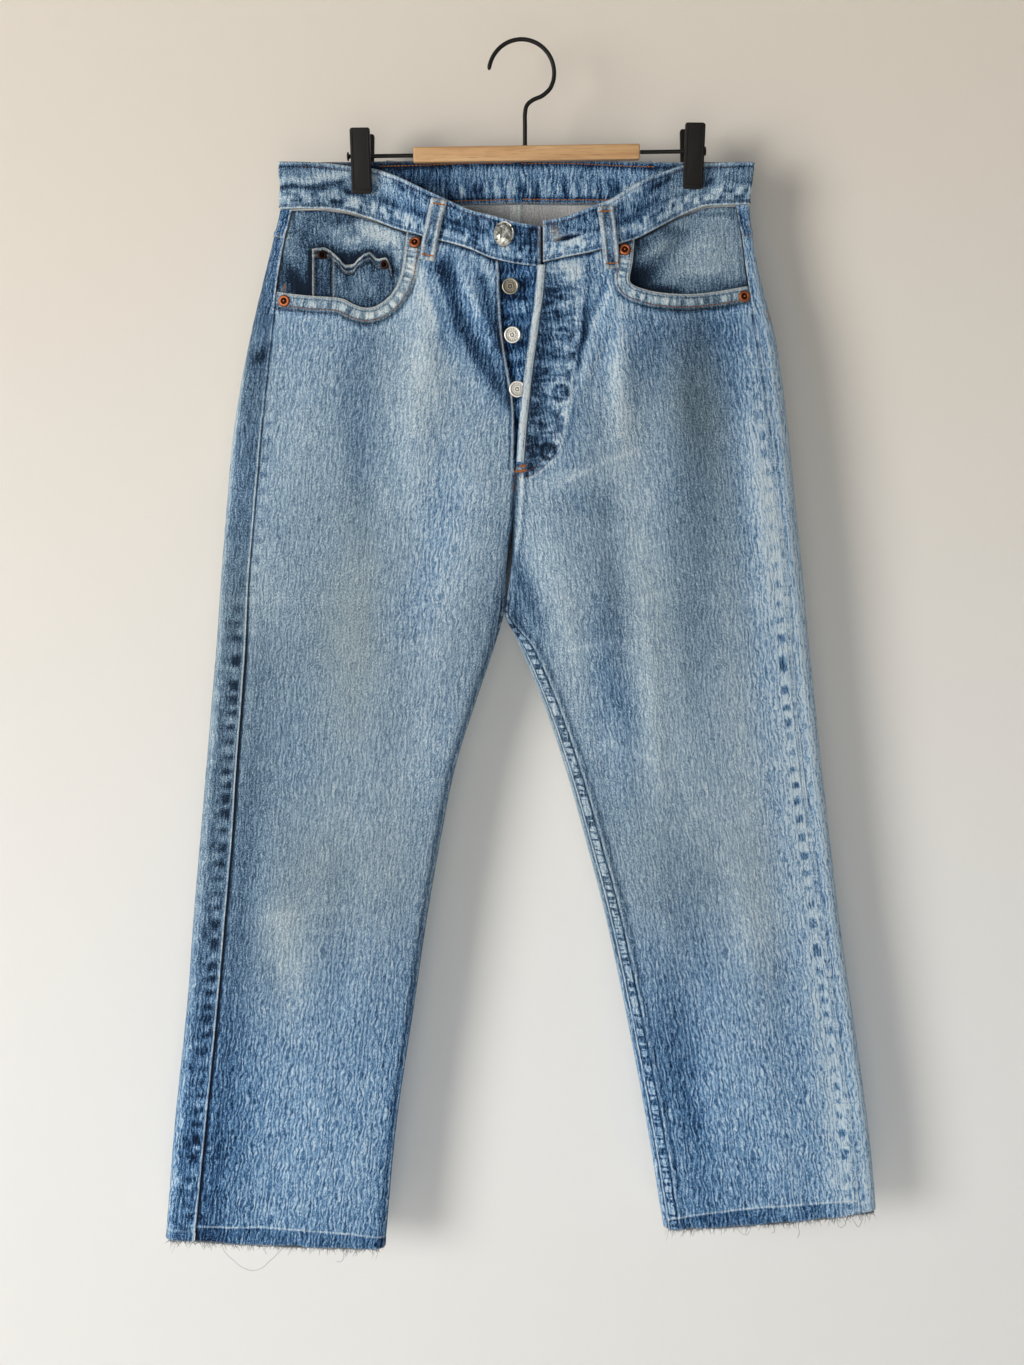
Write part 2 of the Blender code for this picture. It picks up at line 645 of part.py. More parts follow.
def make_waistband(material):
    """One band from the button end, right of the centre, round the back to the buttonhole end."""
    def half(side, front_end):
        width = abs(outer_x(side, -0.12) - inner_x(side, -0.12))
        end = 1 - (front_end - inner_x(side, -0.12)) * (1 if side == "left" else -1) / width
        bends = [0.0008, 0.004, 0.011, 0.020]
        front = [("front", way) for way in spaced(end, 0.045, 15)]
        front += [("front", way) for way in reversed(bends)] + [("front", 0.0)]
        back = [("back", way) for way in bends] + [("back", way) for way in spaced(0.045, 1.0, 13)]
        return [(side, face, way) for face, way in front + back]

    path = half("right", 0.0130)[:-1] + half("left", 0.0190)[::-1]
    rows = []
    for i in range(4):
        row = []
        for side, face, way in path:
            top, foot = band_edge(side, face, way, True), band_edge(side, face, way, False)
            z = foot + (top - foot) * i / 3
            row.append((*station(side, z, face, way), z, side))
        rows.append(row)
    return cloth_wall("waistband", rows, BAND_OUT, -BAND_IN, material)


def make_fly(trees, materials):
    """The button stand under the open fly, and the thick folded edge of the buttonhole side over it."""
    def under(x, z):
        edge = FLY_EDGE["right"](z) * MM
        return -(WALL + SEAT) - UNDERLAP_WALL * ease(x, edge - 0.004, edge + 0.004)

    heights = spaced(WAIST_SEAM_CENTRE - 0.0012, FLY_END - 0.004, 17)
    rows = []
    for z in heights:
        edge = FLY_EDGE["right"](z) * MM
        rows.append([(x, z) for x in spaced(edge - 0.009, edge + UNDERLAP_REACH, 8)])
    patch("fly_underlap", trees["front"], "front", rows, under, lambda x, z: under(x, z) - UNDERLAP_WALL,
          materials["dark_denim"])

    def roll(side_out):
        rows = []
        for z in spaced(WAIST_SEAM_CENTRE - 0.0006, FLY_END + FLY_CLOSE + 0.0003, 15):
            edge = FLY_EDGE["left"](z) * MM
            row = []
            for x in spaced(edge, edge + FLY_FOLD_WIDTH, 6):
                middle = edge + FLY_FOLD_WIDTH / 2
                crown = math.sqrt(max(0.0, 1 - (abs(x - middle) / (FLY_FOLD_WIDTH / 2 + 0.0004)) ** 2))
                half = FLY_FOLD_THICKNESS / 2 * (0.35 + 0.65 * crown)
                proud = 0.0006 * ease(z, FLY_END, FLY_END + 0.06) - 0.0001
                centre = front_lift("left", "front", x, z) + proud
                row.append(on_facets(trees["front"], "front", x, z, centre + side_out * half))
            rows.append(row)
        return rows

    wall("fly_fold", roll(1), roll(-1), materials["worn_edge"])


def make_facings(trees, materials):
    """The denim that shows inside the front pockets, and the coin pocket on the wearer's right one."""
    deep = -(WALL + SEAT)
    for side in ("right", "left"):
        inward_end = (POCKET_OPENING[side][1][0] + (8 if side == "right" else -8)) * MM
        rows = []
        for i in range(9):
            row = []
            for j in range(13):
                share = j / 12
                x = seam_x(side, -0.138) + (inward_end - seam_x(side, -0.138)) * share
                for _ in range(3):
                    way = abs(x - outer_x(side, -0.15)) / abs(inner_x(side, -0.15) - outer_x(side, -0.15))
                    top = front_height(side, way, 0.0) - GAP
                    foot = pocket_line(side, x) - FACING_BELOW
                    z = top + (foot - top) * i / 8
                    at_seam = seam_x(side, z) + (GAP + 0.0002) * (1 if side == "right" else -1)
                    x = at_seam + (inward_end - at_seam) * share
                row.append((x, z))
            rows.append(row)
        patch("facing_" + side, trees["front"], "front", rows, deep, deep - FACING_WALL, materials["denim"])
    tops = ([row.x * MM for row in COIN_TOP], [row.height * MM for row in COIN_TOP])
    rows = []
    for i in range(5):
        row = []
        for x in spaced(COIN_POCKET["outer"], COIN_POCKET["inner"], 19):
            top = float(np.interp(x, *tops))
            foot = pocket_line("right", x) + 0.0008
            row.append((x, top + (foot - top) * i / 4))
        rows.append(row)
    lie = deep + GAP
    patch("coin_pocket", trees["front"], "front", rows, lie + COIN_POCKET["wall"], lie, materials["denim"])


def make_back_pockets(trees, material):
    for side in ("right", "left"):
        outward = -1 if side == "right" else 1
        rows = []
        for i in range(10):
            row = []
            for j in range(9):
                across = j / 8 * 2 - 1
                foot = BACK_POCKET["side"] + (BACK_POCKET["point"] - BACK_POCKET["side"]) * (1 - abs(across))
                down = foot * i / 9
                narrow = min(down / BACK_POCKET["side"], 1.0)
                width = BACK_POCKET["width"] + (BACK_POCKET["foot_width"] - BACK_POCKET["width"]) * narrow
                local_x, local_z = across * width / 2, -down
                lean = BACK_POCKET["lean"] * outward
                x = BACK_POCKET["centre"] * outward + local_x - local_z * lean
                row.append((x, BACK_POCKET["top"] + local_z + local_x * lean))
            rows.append(row)
        patch("pocket_" + side, trees["back"], "back", rows, SEAT + BACK_POCKET["wall"], SEAT, material)


def make_loop(loop, trees, material):
    """A belt loop: tacked at both ends and bowed a little between them."""
    top, foot = Vector((loop.x_top, 0, loop.z_top)) * MM, Vector((loop.x_foot, 0, loop.z_foot)) * MM
    along = foot - top
    across = Vector((-along.z, 0, along.x)).normalized()
    seam = loop.z_seam * MM
    outer, inner = [], []
    for i in range(9):
        share = i / 8
        centre = top + along * share
        on_band = ease(centre.z, seam - 0.011, seam - 0.001)
        under = SEAT + 0.0012 * on_band + LOOP_BOW * math.sin(math.pi * share) ** 2
        line_out, line_in = [], []
        for step in (-0.5, -0.17, 0.17, 0.5):
            at = centre + across * LOOP_WIDTH * step
            crown = 0.0005 if abs(step) < 0.5 else 0.0
            line_out.append(on_facets(trees[loop.face], loop.face, at.x, at.z, under + LOOP_WALL + crown))
            line_in.append(on_facets(trees[loop.face], loop.face, at.x, at.z, under))
        outer.append(line_out)
        inner.append(line_in)
    wall(loop.name, outer, inner, material)


def turned(name, profile, material, steps=16, stretch=1.0):
    """A turned piece about its own Z, from (radius, height) down its outer side. Steps go round it."""
    bm = bmesh.new()
    verts = [bm.verts.new((radius * MM, 0, height * MM)) for radius, height in profile]
    edges = [bm.edges.new(pair) for pair in zip(verts, verts[1:])]
    bmesh.ops.spin(bm, geom=verts + edges, cent=(0, 0, 0), axis=(0, 0, 1), angle=2 * math.pi, steps=steps,
                   use_merge=True)
    bmesh.ops.remove_doubles(bm, verts=bm.verts, dist=0.00001)
    bmesh.ops.recalc_face_normals(bm, faces=bm.faces)
    bmesh.ops.scale(bm, vec=(1, stretch, 1), verts=bm.verts)
    return add_object(name, bm, material)


def seat_on_front(obj, tree, x, z, out, radius):
    """Turns a piece's Z to the cloth's normal, with its foot just clear of the highest facet under it."""
    side = side_of(x, z)
    normal = skin_normal(side, "front", x, z)
    sideways = Vector((1, 0, 0)) - normal * normal.x
    sideways.normalize()
    upward = normal.cross(sideways)
    turn = Matrix((sideways, upward, normal)).transposed()
    centre = on_facets(tree, "front", x, z, 0.0)
    rise = 0.0
    for k in range(12):
        at = centre + (sideways * math.cos(k * math.pi / 6) + upward * math.sin(k * math.pi / 6)) * radius
        rim = on_facets(tree, "front", at.x, at.z, 0.0)
        rise = max(rise, (rim - centre).dot(normal))
    obj.matrix_world = Matrix.Translation(centre + normal * (rise + out)) @ turn.to_4x4()


def make_hardware(trees, materials):
    tree = trees["front"]
    piece = turned(WAIST_BUTTON.name, CRYSTAL_PROFILE, materials["silver"], 18, CRYSTAL_STRETCH)
    seat_on_front(piece, tree, WAIST_BUTTON.x * MM, WAIST_BUTTON.z * MM, BAND_OUT + SEAT, 0.0030)
    for spot in FLY_BUTTONS:
        piece = turned(spot.name, BUTTON_PROFILE, materials["silver"])
        seat_on_front(piece, tree, spot.x * MM, spot.z * MM, -(WALL + UNDERLAP_WALL), 0.0026)
    for spot in RIVETS:
        piece = turned(spot.name, RIVET_PROFILE, materials["copper"], 12)
        seat_on_front(piece, tree, spot.x * MM, spot.z * MM, GAP, 0.0046)
    on_coin = -(WALL + SEAT) + GAP + COIN_POCKET["wall"]
    for spot in COIN_RIVETS:
        small = [(radius * 0.8, height * 0.7) for radius, height in RIVET_PROFILE]
        piece = turned(spot.name, small, materials["dark_copper"], 10)
        seat_on_front(piece, tree, spot.x * MM, spot.z * MM, on_coin + GAP, 0.0037)


def wire(name, points, radius, material, sides=2):
    """A round wire along points, made a mesh with its caps joined."""
    curve = bpy.data.curves.new(name, "CURVE")
    curve.dimensions = "3D"
    curve.bevel_depth = radius
    curve.bevel_resolution = sides
    curve.use_fill_caps = True
    spline = curve.splines.new("POLY")
    spline.points.add(len(points) - 1)
    for point, place in zip(spline.points, points):
        point.co = (*place, 1.0)
    guide = bpy.data.objects.new(name + "_guide", curve)
    parts.objects.link(guide)
    bpy.context.view_layer.update()
    mesh = bpy.data.meshes.new_from_object(guide.evaluated_get(bpy.context.evaluated_depsgraph_get()))
    bpy.data.objects.remove(guide)
    bm = bmesh.new()
    bm.from_mesh(mesh)
    bpy.data.meshes.remove(mesh)
    bmesh.ops.remove_doubles(bm, verts=bm.verts, dist=0.00001)
    return add_object(name, bm, material)


def smooth_route(points, between=6):
    """A Catmull-Rom curve through points."""
    ends = [points[0] * 2 - points[1], *points, points[-1] * 2 - points[-2]]
    route = []
    for a, b, c, d in zip(ends, ends[1:], ends[2:], ends[3:]):
        for k in range(between):
            t = k / between
            route.append(0.5 * (2 * b + (c - a) * t + (2 * a - 5 * b + 4 * c - d) * t * t
                                + (3 * b - a - 3 * c + d) * t ** 3))
    return [*route, points[-1]]


def on_bar(x):
    """Height of the middle of the bar and rods, which hang a little out of level."""
    return BAR["z"] + (x - (BAR["left_end"] + BAR["right_end"]) / 2) * BAR["tilt"]


def make_hanger(materials):
    centre = Vector((0, 0, WIRE_RADIUS - HOOK_ARC_RADIUS))
    steps = 16
    arc = []
    for k in range(steps + 1):
        angle = math.radians(HOOK_ARC_START + (HOOK_ARC_END - HOOK_ARC_START) * k / steps)
        arc.append(centre + HOOK_ARC_RADIUS * Vector((math.cos(angle), 0, math.sin(angle))))
    neck = [(0.0238, -0.0385), (0.0175, -0.0440), (0.0095, -0.0475), (0.0045, -0.0520), (STEM_X, -0.0590)]
    stem_foot = on_bar(STEM_X) + BAR["height"] / 2 + GAP
    bend = smooth_route([arc[-1]] + [Vector((x, 0, z)) for x, z in neck], 3)
    route = arc[:-1] + bend + [Vector((STEM_X, 0, stem_foot))]
    wire("hanger_hook", route, WIRE_RADIUS, materials["black_metal"])

    bm = bmesh.new()
    bmesh.ops.create_cube(bm, size=1.0)
    length = BAR["right_end"] - BAR["left_end"]
    bmesh.ops.scale(bm, vec=(length, BAR["depth"], BAR["height"]), verts=bm.verts)
    bmesh.ops.bevel(bm, geom=bm.edges[:], offset=0.0012, segments=2, profile=0.5, affect="EDGES")
    bar = add_object("hanger_bar", bm, materials["wood"])
    middle = (BAR["left_end"] + BAR["right_end"]) / 2
    bar.location = (middle, 0, BAR["z"])
    bar.rotation_euler = (0, -math.atan(BAR["tilt"]), 0)

    for side in ("right", "left"):
        outward = -1 if side == "right" else 1
        start = (BAR["left_end"] if side == "right" else BAR["right_end"]) + outward * GAP * 1.5
        length = abs(ROD_OUTER[side] - start) / MM
        radius, cap_radius, cap_wall = ROD_RADIUS / MM, ROD_CAP["radius"] / MM, ROD_CAP["thickness"] / MM
        rim = cap_radius - 0.7
        profile = ((0, length), (rim, length), (cap_radius, length - cap_wall / 2), (rim, length - cap_wall),
                   (radius, length - cap_wall), (radius, 0), (0, 0))
        rod = turned("hanger_rod_" + side, profile, materials["black_metal"], 14)
        slope = Vector((outward, 0, outward * BAR["tilt"])).normalized()
        turn = slope.to_track_quat("Z", "Y").to_matrix().to_4x4()
        rod.matrix_world = Matrix.Translation((start, 0, on_bar(start))) @ turn


def make_clip(side, materials):
    """Two jaws that grip the waistband below the rod, and the flat spring that wraps the rod between them."""
    centre_x = CLIP_X[side]
    pivot_z = on_bar(centre_x)
    outward = -1 if side == "right" else 1
    toe = Matrix.Rotation(outward * JAW_TOE_IN, 4, "Z")
    home = Matrix.Translation((centre_x, 0, pivot_z))
    foot = JAW["height"] - JAW["top"]
    for face in ("front", "back"):
        facing = -1 if face == "front" else 1
        bm = bmesh.new()
        bmesh.ops.create_cube(bm, size=1.0)
        bmesh.ops.scale(bm, vec=(JAW["width"], JAW["thickness"], JAW["height"]), verts=bm.verts)
        upright = [edge for edge in bm.edges if abs(edge.verts[0].co.y - edge.verts[1].co.y) > 0.001]
        bmesh.ops.bevel(bm, geom=upright, offset=0.0022, segments=3, profile=0.5, affect="EDGES")
        bmesh.ops.recalc_face_normals(bm, faces=bm.faces)
        jaw = add_object(f"clip_{side}_{face}_jaw", bm, materials["black_plastic"])
        lean = math.atan(JAW["flare"] / JAW["height"])
        middle_y = JAW["foot_gap"] + JAW["thickness"] / 2 + JAW["flare"] / 2
        upright_by = Matrix.Translation((0, facing * middle_y, JAW["top"] - JAW["height"] / 2))
        jaw.matrix_world = home @ toe @ upright_by @ Matrix.Rotation(-facing * lean, 4, "X")

    rod_wrap = ROD_RADIUS + GAP + SPRING["thickness"] / 2
    slope = JAW["flare"] / JAW["height"]

    def beside_jaw(down):
        return JAW["foot_gap"] + slope * (foot - down) - GAP - SPRING["thickness"] / 2 - 0.0002

    leg = [(beside_jaw(down), -down) for down in (SPRING["leg"], 0.012, 0.005)]
    leg.append((beside_jaw(0.005) * 0.72, -0.0020))
    turns = [math.radians(angle) for angle in (75, 50, 25, 0)]
    wrap = [(rod_wrap * math.sin(turn), rod_wrap * math.cos(turn)) for turn in turns]
    right_half = leg + wrap
    line = right_half + [(-y, z) for y, z in right_half[-2::-1]]
    bm = bmesh.new()
    sides = []
    for k, (y, z) in enumerate(line):
        before, after = line[max(k - 1, 0)], line[min(k + 1, len(line) - 1)]
        tangent = Vector((0, after[0] - before[0], after[1] - before[1])).normalized()
        normal = Vector((0, tangent.z, -tangent.y)) * SPRING["thickness"] / 2
        at = Vector((0, y, z))
        ring = []
        for x, n in ((-0.5, 1), (0.5, 1), (0.5, -1), (-0.5, -1)):
            ring.append(bm.verts.new(at + normal * n + Vector((x * SPRING["width"], 0, 0))))
        sides.append(ring)
    for ring, following in zip(sides, sides[1:]):
        for k in range(4):
            bm.faces.new((ring[k], ring[(k + 1) % 4], following[(k + 1) % 4], following[k]))
    bm.faces.new(sides[0])
    bm.faces.new(sides[-1])
    bmesh.ops.recalc_face_normals(bm, faces=bm.faces)
    spring = add_object(f"clip_{side}_spring", bm, materials["steel"])
    spring.matrix_world = home


def make_materials():
    return {
        "denim": new_material("denim", (0.30, 0.44, 0.62), 0.9),
        "dark_denim": new_material("dark_denim", (0.16, 0.27, 0.45), 0.9),
        "worn_edge": new_material("worn_edge", (0.66, 0.66, 0.62), 0.95),
        "silver": new_material("silver", (0.62, 0.61, 0.58), 0.32, 1.0),
        "copper": new_material("copper", (0.62, 0.30, 0.14), 0.4, 1.0),
        "dark_copper": new_material("dark_copper", (0.10, 0.07, 0.06), 0.5, 1.0),
        "wood": new_material("wood", (0.66, 0.45, 0.26), 0.55),
        "black_metal": new_material("black_metal", (0.015, 0.014, 0.013), 0.45, 0.6),
        "black_plastic": new_material("black_plastic", (0.018, 0.016, 0.014), 0.6),
        "steel": new_material("steel", (0.55, 0.54, 0.52), 0.35, 1.0),
    }


for old in list(bpy.data.objects):
    bpy.data.objects.remove(old, do_unlink=True)

parts = bpy.data.collections.new("jeans_on_hanger")
cutters = bpy.data.collections.new("cutters")
bpy.context.scene.collection.children.link(parts)
bpy.context.scene.collection.children.link(cutters)

finishes = make_materials()
facets = make_panels(finishes)
make_waistband(finishes["denim"])
make_fly(facets, finishes)
make_facings(facets, finishes)
make_back_pockets(facets, finishes["denim"])
for belt_loop in LOOPS:
    make_loop(belt_loop, facets, finishes["denim"])
make_hardware(facets, finishes)
make_hanger(finishes)
for wearer_side in ("right", "left"):
    make_clip(wearer_side, finishes)
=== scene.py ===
import math

import bmesh
import bpy
import numpy as np
from mathutils import Matrix, Vector
from mathutils.bvhtree import BVHTree


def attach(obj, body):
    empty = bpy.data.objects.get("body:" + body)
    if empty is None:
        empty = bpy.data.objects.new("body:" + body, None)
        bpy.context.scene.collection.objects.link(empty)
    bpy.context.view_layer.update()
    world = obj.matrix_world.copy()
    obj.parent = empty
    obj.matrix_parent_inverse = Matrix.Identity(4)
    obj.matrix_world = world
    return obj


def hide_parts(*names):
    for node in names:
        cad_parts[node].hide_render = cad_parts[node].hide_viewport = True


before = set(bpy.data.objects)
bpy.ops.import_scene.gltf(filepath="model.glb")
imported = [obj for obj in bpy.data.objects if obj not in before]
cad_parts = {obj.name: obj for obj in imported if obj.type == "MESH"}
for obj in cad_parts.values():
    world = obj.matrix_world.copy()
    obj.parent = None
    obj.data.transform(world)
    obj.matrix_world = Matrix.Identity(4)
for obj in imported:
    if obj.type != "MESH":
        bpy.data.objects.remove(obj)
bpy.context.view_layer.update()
scene = bpy.context.scene
mm = 0.001


def ease(value, start, end):
    t = np.clip((np.asarray(value, float) - start) / (end - start), 0.0, 1.0)
    return t * t * (3 - 2 * t)


def bell(value, width):
    return np.exp(-(np.asarray(value) / width) ** 2)


def stripe(distance, at, width):
    # a soft line, in millimetres
    return bell(distance - at * mm, width * mm)


def past(distance, start, end):
    # eases from 0 to 1 between two distances in millimetres
    return ease(distance, start * mm, end * mm)


def hashed(ix, iy, seed):
    n = np.sin(ix * 12.9898 + iy * 78.233 + seed * 37.719) * 43758.5453
    return n - np.floor(n)


def lumps(x, y, size, seed=0.0, tall=1.0):
    # soft value noise from -1 to 1, in lumps of size by size * tall
    gx, gy = np.asarray(x) / size + 400.0, np.asarray(y) / (size * tall) + 400.0
    ix, iy = np.floor(gx), np.floor(gy)
    fx, fy = gx - ix, gy - iy
    fx, fy = fx * fx * (3 - 2 * fx), fy * fy * (3 - 2 * fy)
    low = hashed(ix, iy, seed) * (1 - fx) + hashed(ix + 1, iy, seed) * fx
    high = hashed(ix, iy + 1, seed) * (1 - fx) + hashed(ix + 1, iy + 1, seed) * fx
    return (low * (1 - fy) + high * fy) * 2 - 1


def runAlong(line):
    # how far along the line each of its points lies
    return np.concatenate([[0], np.cumsum(np.linalg.norm(np.diff(line, axis=0), axis=1))])


def curveThrough(points, step=0.001):
    # a smooth line through points, evenly spaced
    p = np.array(points, float)
    ends = np.vstack([2 * p[0] - p[1], p, 2 * p[-1] - p[-2]])
    line = []
    t = np.linspace(0, 1, 12, endpoint=False)[:, None]
    for a, b, c, d in zip(ends, ends[1:], ends[2:], ends[3:]):
        line.append(0.5 * (2 * b + (c - a) * t + (2 * a - 5 * b + 4 * c - d) * t * t
                           + (3 * b - a - 3 * c + d) * t ** 3))
    line = np.vstack(line + [p[-1:]])
    run = runAlong(line)
    marks = np.linspace(0, run[-1], max(int(run[-1] / step), 2) + 1)
    return np.stack([np.interp(marks, run, line[:, k]) for k in range(p.shape[1])], axis=1)


def alongCurve(x, z, line):
    # distance to a line of (x, z) and how far along it the nearest point lies
    flat = np.stack([x.ravel(), z.ravel()], axis=1)
    low, high = line.min(0) - 0.03, line.max(0) + 0.03
    near = np.all((flat > low) & (flat < high), axis=1)
    far = np.full(len(flat), 0.1)
    run = np.zeros(len(flat))
    gaps = np.linalg.norm(flat[near][:, None, :] - line[None], axis=2)
    steps = runAlong(line)
    best = gaps.argmin(1) if len(gaps) else np.zeros(0, int)
    far[near] = gaps.min(1) if len(gaps) else 0.1
    run[near] = steps[best]
    return far.reshape(x.shape), run.reshape(x.shape)


def offsetLine(line, by):
    tangent = np.gradient(line, axis=0)
    tangent /= np.linalg.norm(tangent, axis=1, keepdims=True)
    return line + np.stack([-tangent[:, 1], tangent[:, 0]], axis=1) * by


def insideOutline(x, z, outline):
    inside = np.zeros(x.shape, bool)
    for (ax, az), (bx, bz) in zip(outline, np.roll(outline, -1, axis=0)):
        crosses = (az > z) != (bz > z)
        at = ax + (z - az) * (bx - ax) / (bz - az + 1e-12)
        inside ^= crosses & (x < at)
    return inside


gap = 0.0003
inseamGap = 0.0005
panelThick = 0.0013
patchThick = 0.0005
bandThick = 0.0026
flyFoldWide = 0.0072
loopWide = 0.0134
crotch = -0.480
flyEnd = -0.356
waistSeam = {"right": -0.138, "left": -0.134}
waistSeamCentre = -0.186
waistSeamBack = -0.131
bandTop = {"side": -0.098, "front": -0.151, "back": -0.093}
yokeSeam = {"side": -0.160, "centre": -0.205}
hemOuter = {"right": -1.0565, "left": -1.0290}
hemInner = {"right": -1.0650, "left": -1.0465}
hemBow = {"right": 1.8, "left": 1.0}
inseamTurn = {"right": -0.0070, "left": 0.0092}
splitStart = {"front": -0.400, "back": -0.365}
clipX = {"right": -0.1345, "left": 0.1445}
outwardX = {"right": -1, "left": 1}

# millimetres, one row for each height
sections = {
    "height": (-90, -137, -160, -190, -240, -314, -400, -455, -480, -505, -553, -614, -684, -749, -832,
               -945, -1070),
    "rightFold": (-205.5, -205, -210.5, -218.5, -231.5, -247, -257, -262.5, -264.8, -267, -272, -278.5,
                  -286, -293, -301, -315, -327.5),
    "rightSeam": (-193, -194.5, -200, -206, -212, -221, -230, -235.5, -237.3, -239, -243.5, -249.5, -255.5,
                  -262.5, -271.5, -285, -300),
    "rightInner": (-3, -3, -3, -3.5, -4, -5, -7, -12, -14.8, -22, -38, -57.5, -72, -83.5, -96, -113.2,
                   -125.5),
    "leftInner": (-3, -3, -3, -3.5, -4, -5, -7, -12, -14.8, -4, 16.5, 37.5, 57.5, 74.5, 92.5, 114.2, 134.5),
    "leftSeam": (184, 182.5, 187, 191, 200, 212, 223, 229, 231.3, 233.5, 238.5, 246.5, 256.5, 266.5, 280,
                 298, 312.5),
    "leftFold": (197, 194, 197, 203, 217, 229.5, 240, 247, 249.8, 252.5, 258.5, 266, 275.5, 284.5, 298, 316,
                 331),
    "front": (22, 25, 27, 29, 32, 34, 32, 29, 28, 27, 24, 22, 20, 18, 16, 15, 14),
    "back": (14, 18, 23, 30, 41, 49, 48, 42, 39, 36, 31, 27, 24, 21, 18, 16, 15),
    "nose": (4.6, 5.5, 6.5, 8, 10, 12, 12, 12, 11.5, 11, 10.5, 10, 9.5, 9, 9, 8.5, 8),
}
pinches = {
    "height": (-90, -125, -140, -165, -200, -260, -320),
    "grip": (0.895, 0.895, 0.76, 0.52, 0.3, 0.07, 0),
}
pinchWidth = {"front": 0.060, "back": 0.045, "outward": 0.080}
flyRows = {
    "height": (-180, -210, -240, -270, -300, -330, -356),
    "right": (-19, -18, -16, -11.5, -6.5, -6, -6.8),
    "left": (13.5, 11, 7, 2.8, -0.5, -3.4, -5),
}
dips = {
    "way": np.linspace(0.1, 1, 10),
    "seamright": (0, 0, 0.06, 0.19, 0.36, 0.49, 0.60, 0.72, 0.91, 1),
    "seamleft": (0.015, 0.03, 0.18, 0.38, 0.58, 0.70, 0.81, 0.89, 0.98, 1),
    "topright": (0.01, 0.02, 0.07, 0.10, 0.24, 0.44, 0.62, 0.80, 0.89, 1),
    "topleft": (0.01, 0.02, 0.05, 0.19, 0.36, 0.62, 0.76, 0.91, 0.98, 1),
}

# folds: from one end to the other, half width and height, negative in a trough
bigFolds = {
    "front": (
        (-62, -192, -24, -278, 9, -5.0), (-52, -190, -36, -230, 4.5, 2.2), (-36, -196, -20, -248, 4, -2.0),
        (-82, -215, -96, -400, 17, 4.5), (84, -215, 84, -350, 11, 4.0), (112, -230, 112, -360, 13, -3.0),
        (76, -196, 50, -290, 5, 1.6), (104, -236, 84, -380, 24, -5.0), (36, -352, 118, -322, 11, 2.6),
        (-72, -420, -96, -640, 30, -4.0), (132, -420, 168, -640, 34, 3.0),
        (-214, -650, -232, -900, 30, 3.0), (190, -720, 214, -960, 26, 3.0),
    ),
    "back": (
        (-60, -400, -150, -520, 24, -5.0), (50, -400, 140, -520, 24, -5.0),
        (-170, -560, -200, -820, 28, 3.5), (160, -560, 205, -820, 28, 3.5),
    ),
}
smallFolds = {
    "front": (
        (-62, -190, -52, -262, 6, 1.6), (-24, -200, -30, -300, 5, 1.2), (-96, -190, -62, -330, 7, 1.1),
        (86, -192, 43, -312, 4, 1.5), (70, -200, 60, -262, 5, -1.2), (16, -372, 70, -350, 6, 1.3),
        (24, -386, 84, -372, 6, -1.2), (12, -398, 58, -398, 6, 1.1), (-18, -378, -70, -352, 7, 1.2),
        (-22, -396, -78, -384, 6, -1.0), (-26, -416, -66, -416, 6, 0.9), (-150, -250, -128, -420, 11, -1.8),
        (-176, -246, -196, -400, 12, 1.2), (150, -250, 158, -420, 15, -1.8),
        (196, -290, 214, -470, 10, 1.6), (74, -380, 92, -560, 9, -1.8), (104, -420, 124, -690, 8, 1.7),
        (140, -420, 156, -600, 9, -1.2), (24, -420, 62, -580, 10, 1.3), (56, -520, 96, -760, 9, -1.2),
        (118, -640, 166, -840, 12, -1.6), (136, -800, 168, -1040, 12, -1.8),
        (180, -640, 202, -800, 10, 1.2), (30, -512, 100, -502, 7, 1.0), (60, -590, 130, -606, 8, 0.9),
        (-52, -500, -104, -520, 9, 0.9), (-120, -420, -150, -640, 11, -1.3),
        (-72, -640, -100, -900, 10, 1.1), (-150, -640, -176, -900, 12, -1.2),
        (-196, -750, -244, -742, 9, 0.9), (-176, -880, -226, -866, 8, -0.8),
        (-130, -900, -168, -1050, 10, 1.0), (-200, -900, -232, -1050, 10, -1.1),
        (-256, -560, -286, -900, 8, -0.9), (212, -880, 250, -1040, 11, 0.9),
        (240, -560, 286, -960, 9, -0.8),
    ),
    "back": (
        (-30, -330, -150, -372, 10, 1.6), (20, -330, 150, -368, 10, 1.6), (-24, -372, -130, -440, 9, -1.5),
        (16, -372, 128, -436, 9, -1.5), (-60, -490, -170, -540, 10, 1.4), (70, -500, 180, -546, 10, 1.3),
        (-90, -640, -230, -660, 12, 1.5), (84, -650, 230, -672, 12, -1.5),
        (-100, -690, -236, -704, 10, -1.3), (96, -700, 240, -716, 10, 1.4),
        (-110, -740, -250, -742, 9, 1.0), (110, -760, 262, -764, 9, -1.0),
        (-200, -420, -224, -620, 12, -1.3), (196, -430, 226, -640, 12, -1.3),
        (-150, -880, -262, -900, 10, 0.9), (150, -870, 280, -890, 10, 0.9),
        (-130, -960, -180, -1050, 12, -1.0), (160, -950, 214, -1040, 12, 1.0),
    ),
}

ruler = np.arange(-1.09, -0.06, 0.001)


def smoothColumn(heights, values):
    order = np.argsort(heights)
    h, v = np.array(heights, float)[order] * mm, np.array(values, float)[order]
    slopes = np.gradient(v, h)
    z = np.clip(ruler, h[0], h[-1])
    i = np.clip(np.searchsorted(h, z, "right") - 1, 0, len(h) - 2)
    step = h[i + 1] - h[i]
    t = (z - h[i]) / step
    bend = t * t * (3 - 2 * t)
    marks = (v[i] * (1 - bend) + v[i + 1] * bend + slopes[i] * step * t * (1 - t) ** 2
             + slopes[i + 1] * step * t * t * (t - 1))
    return lambda at: np.interp(at, ruler, marks)


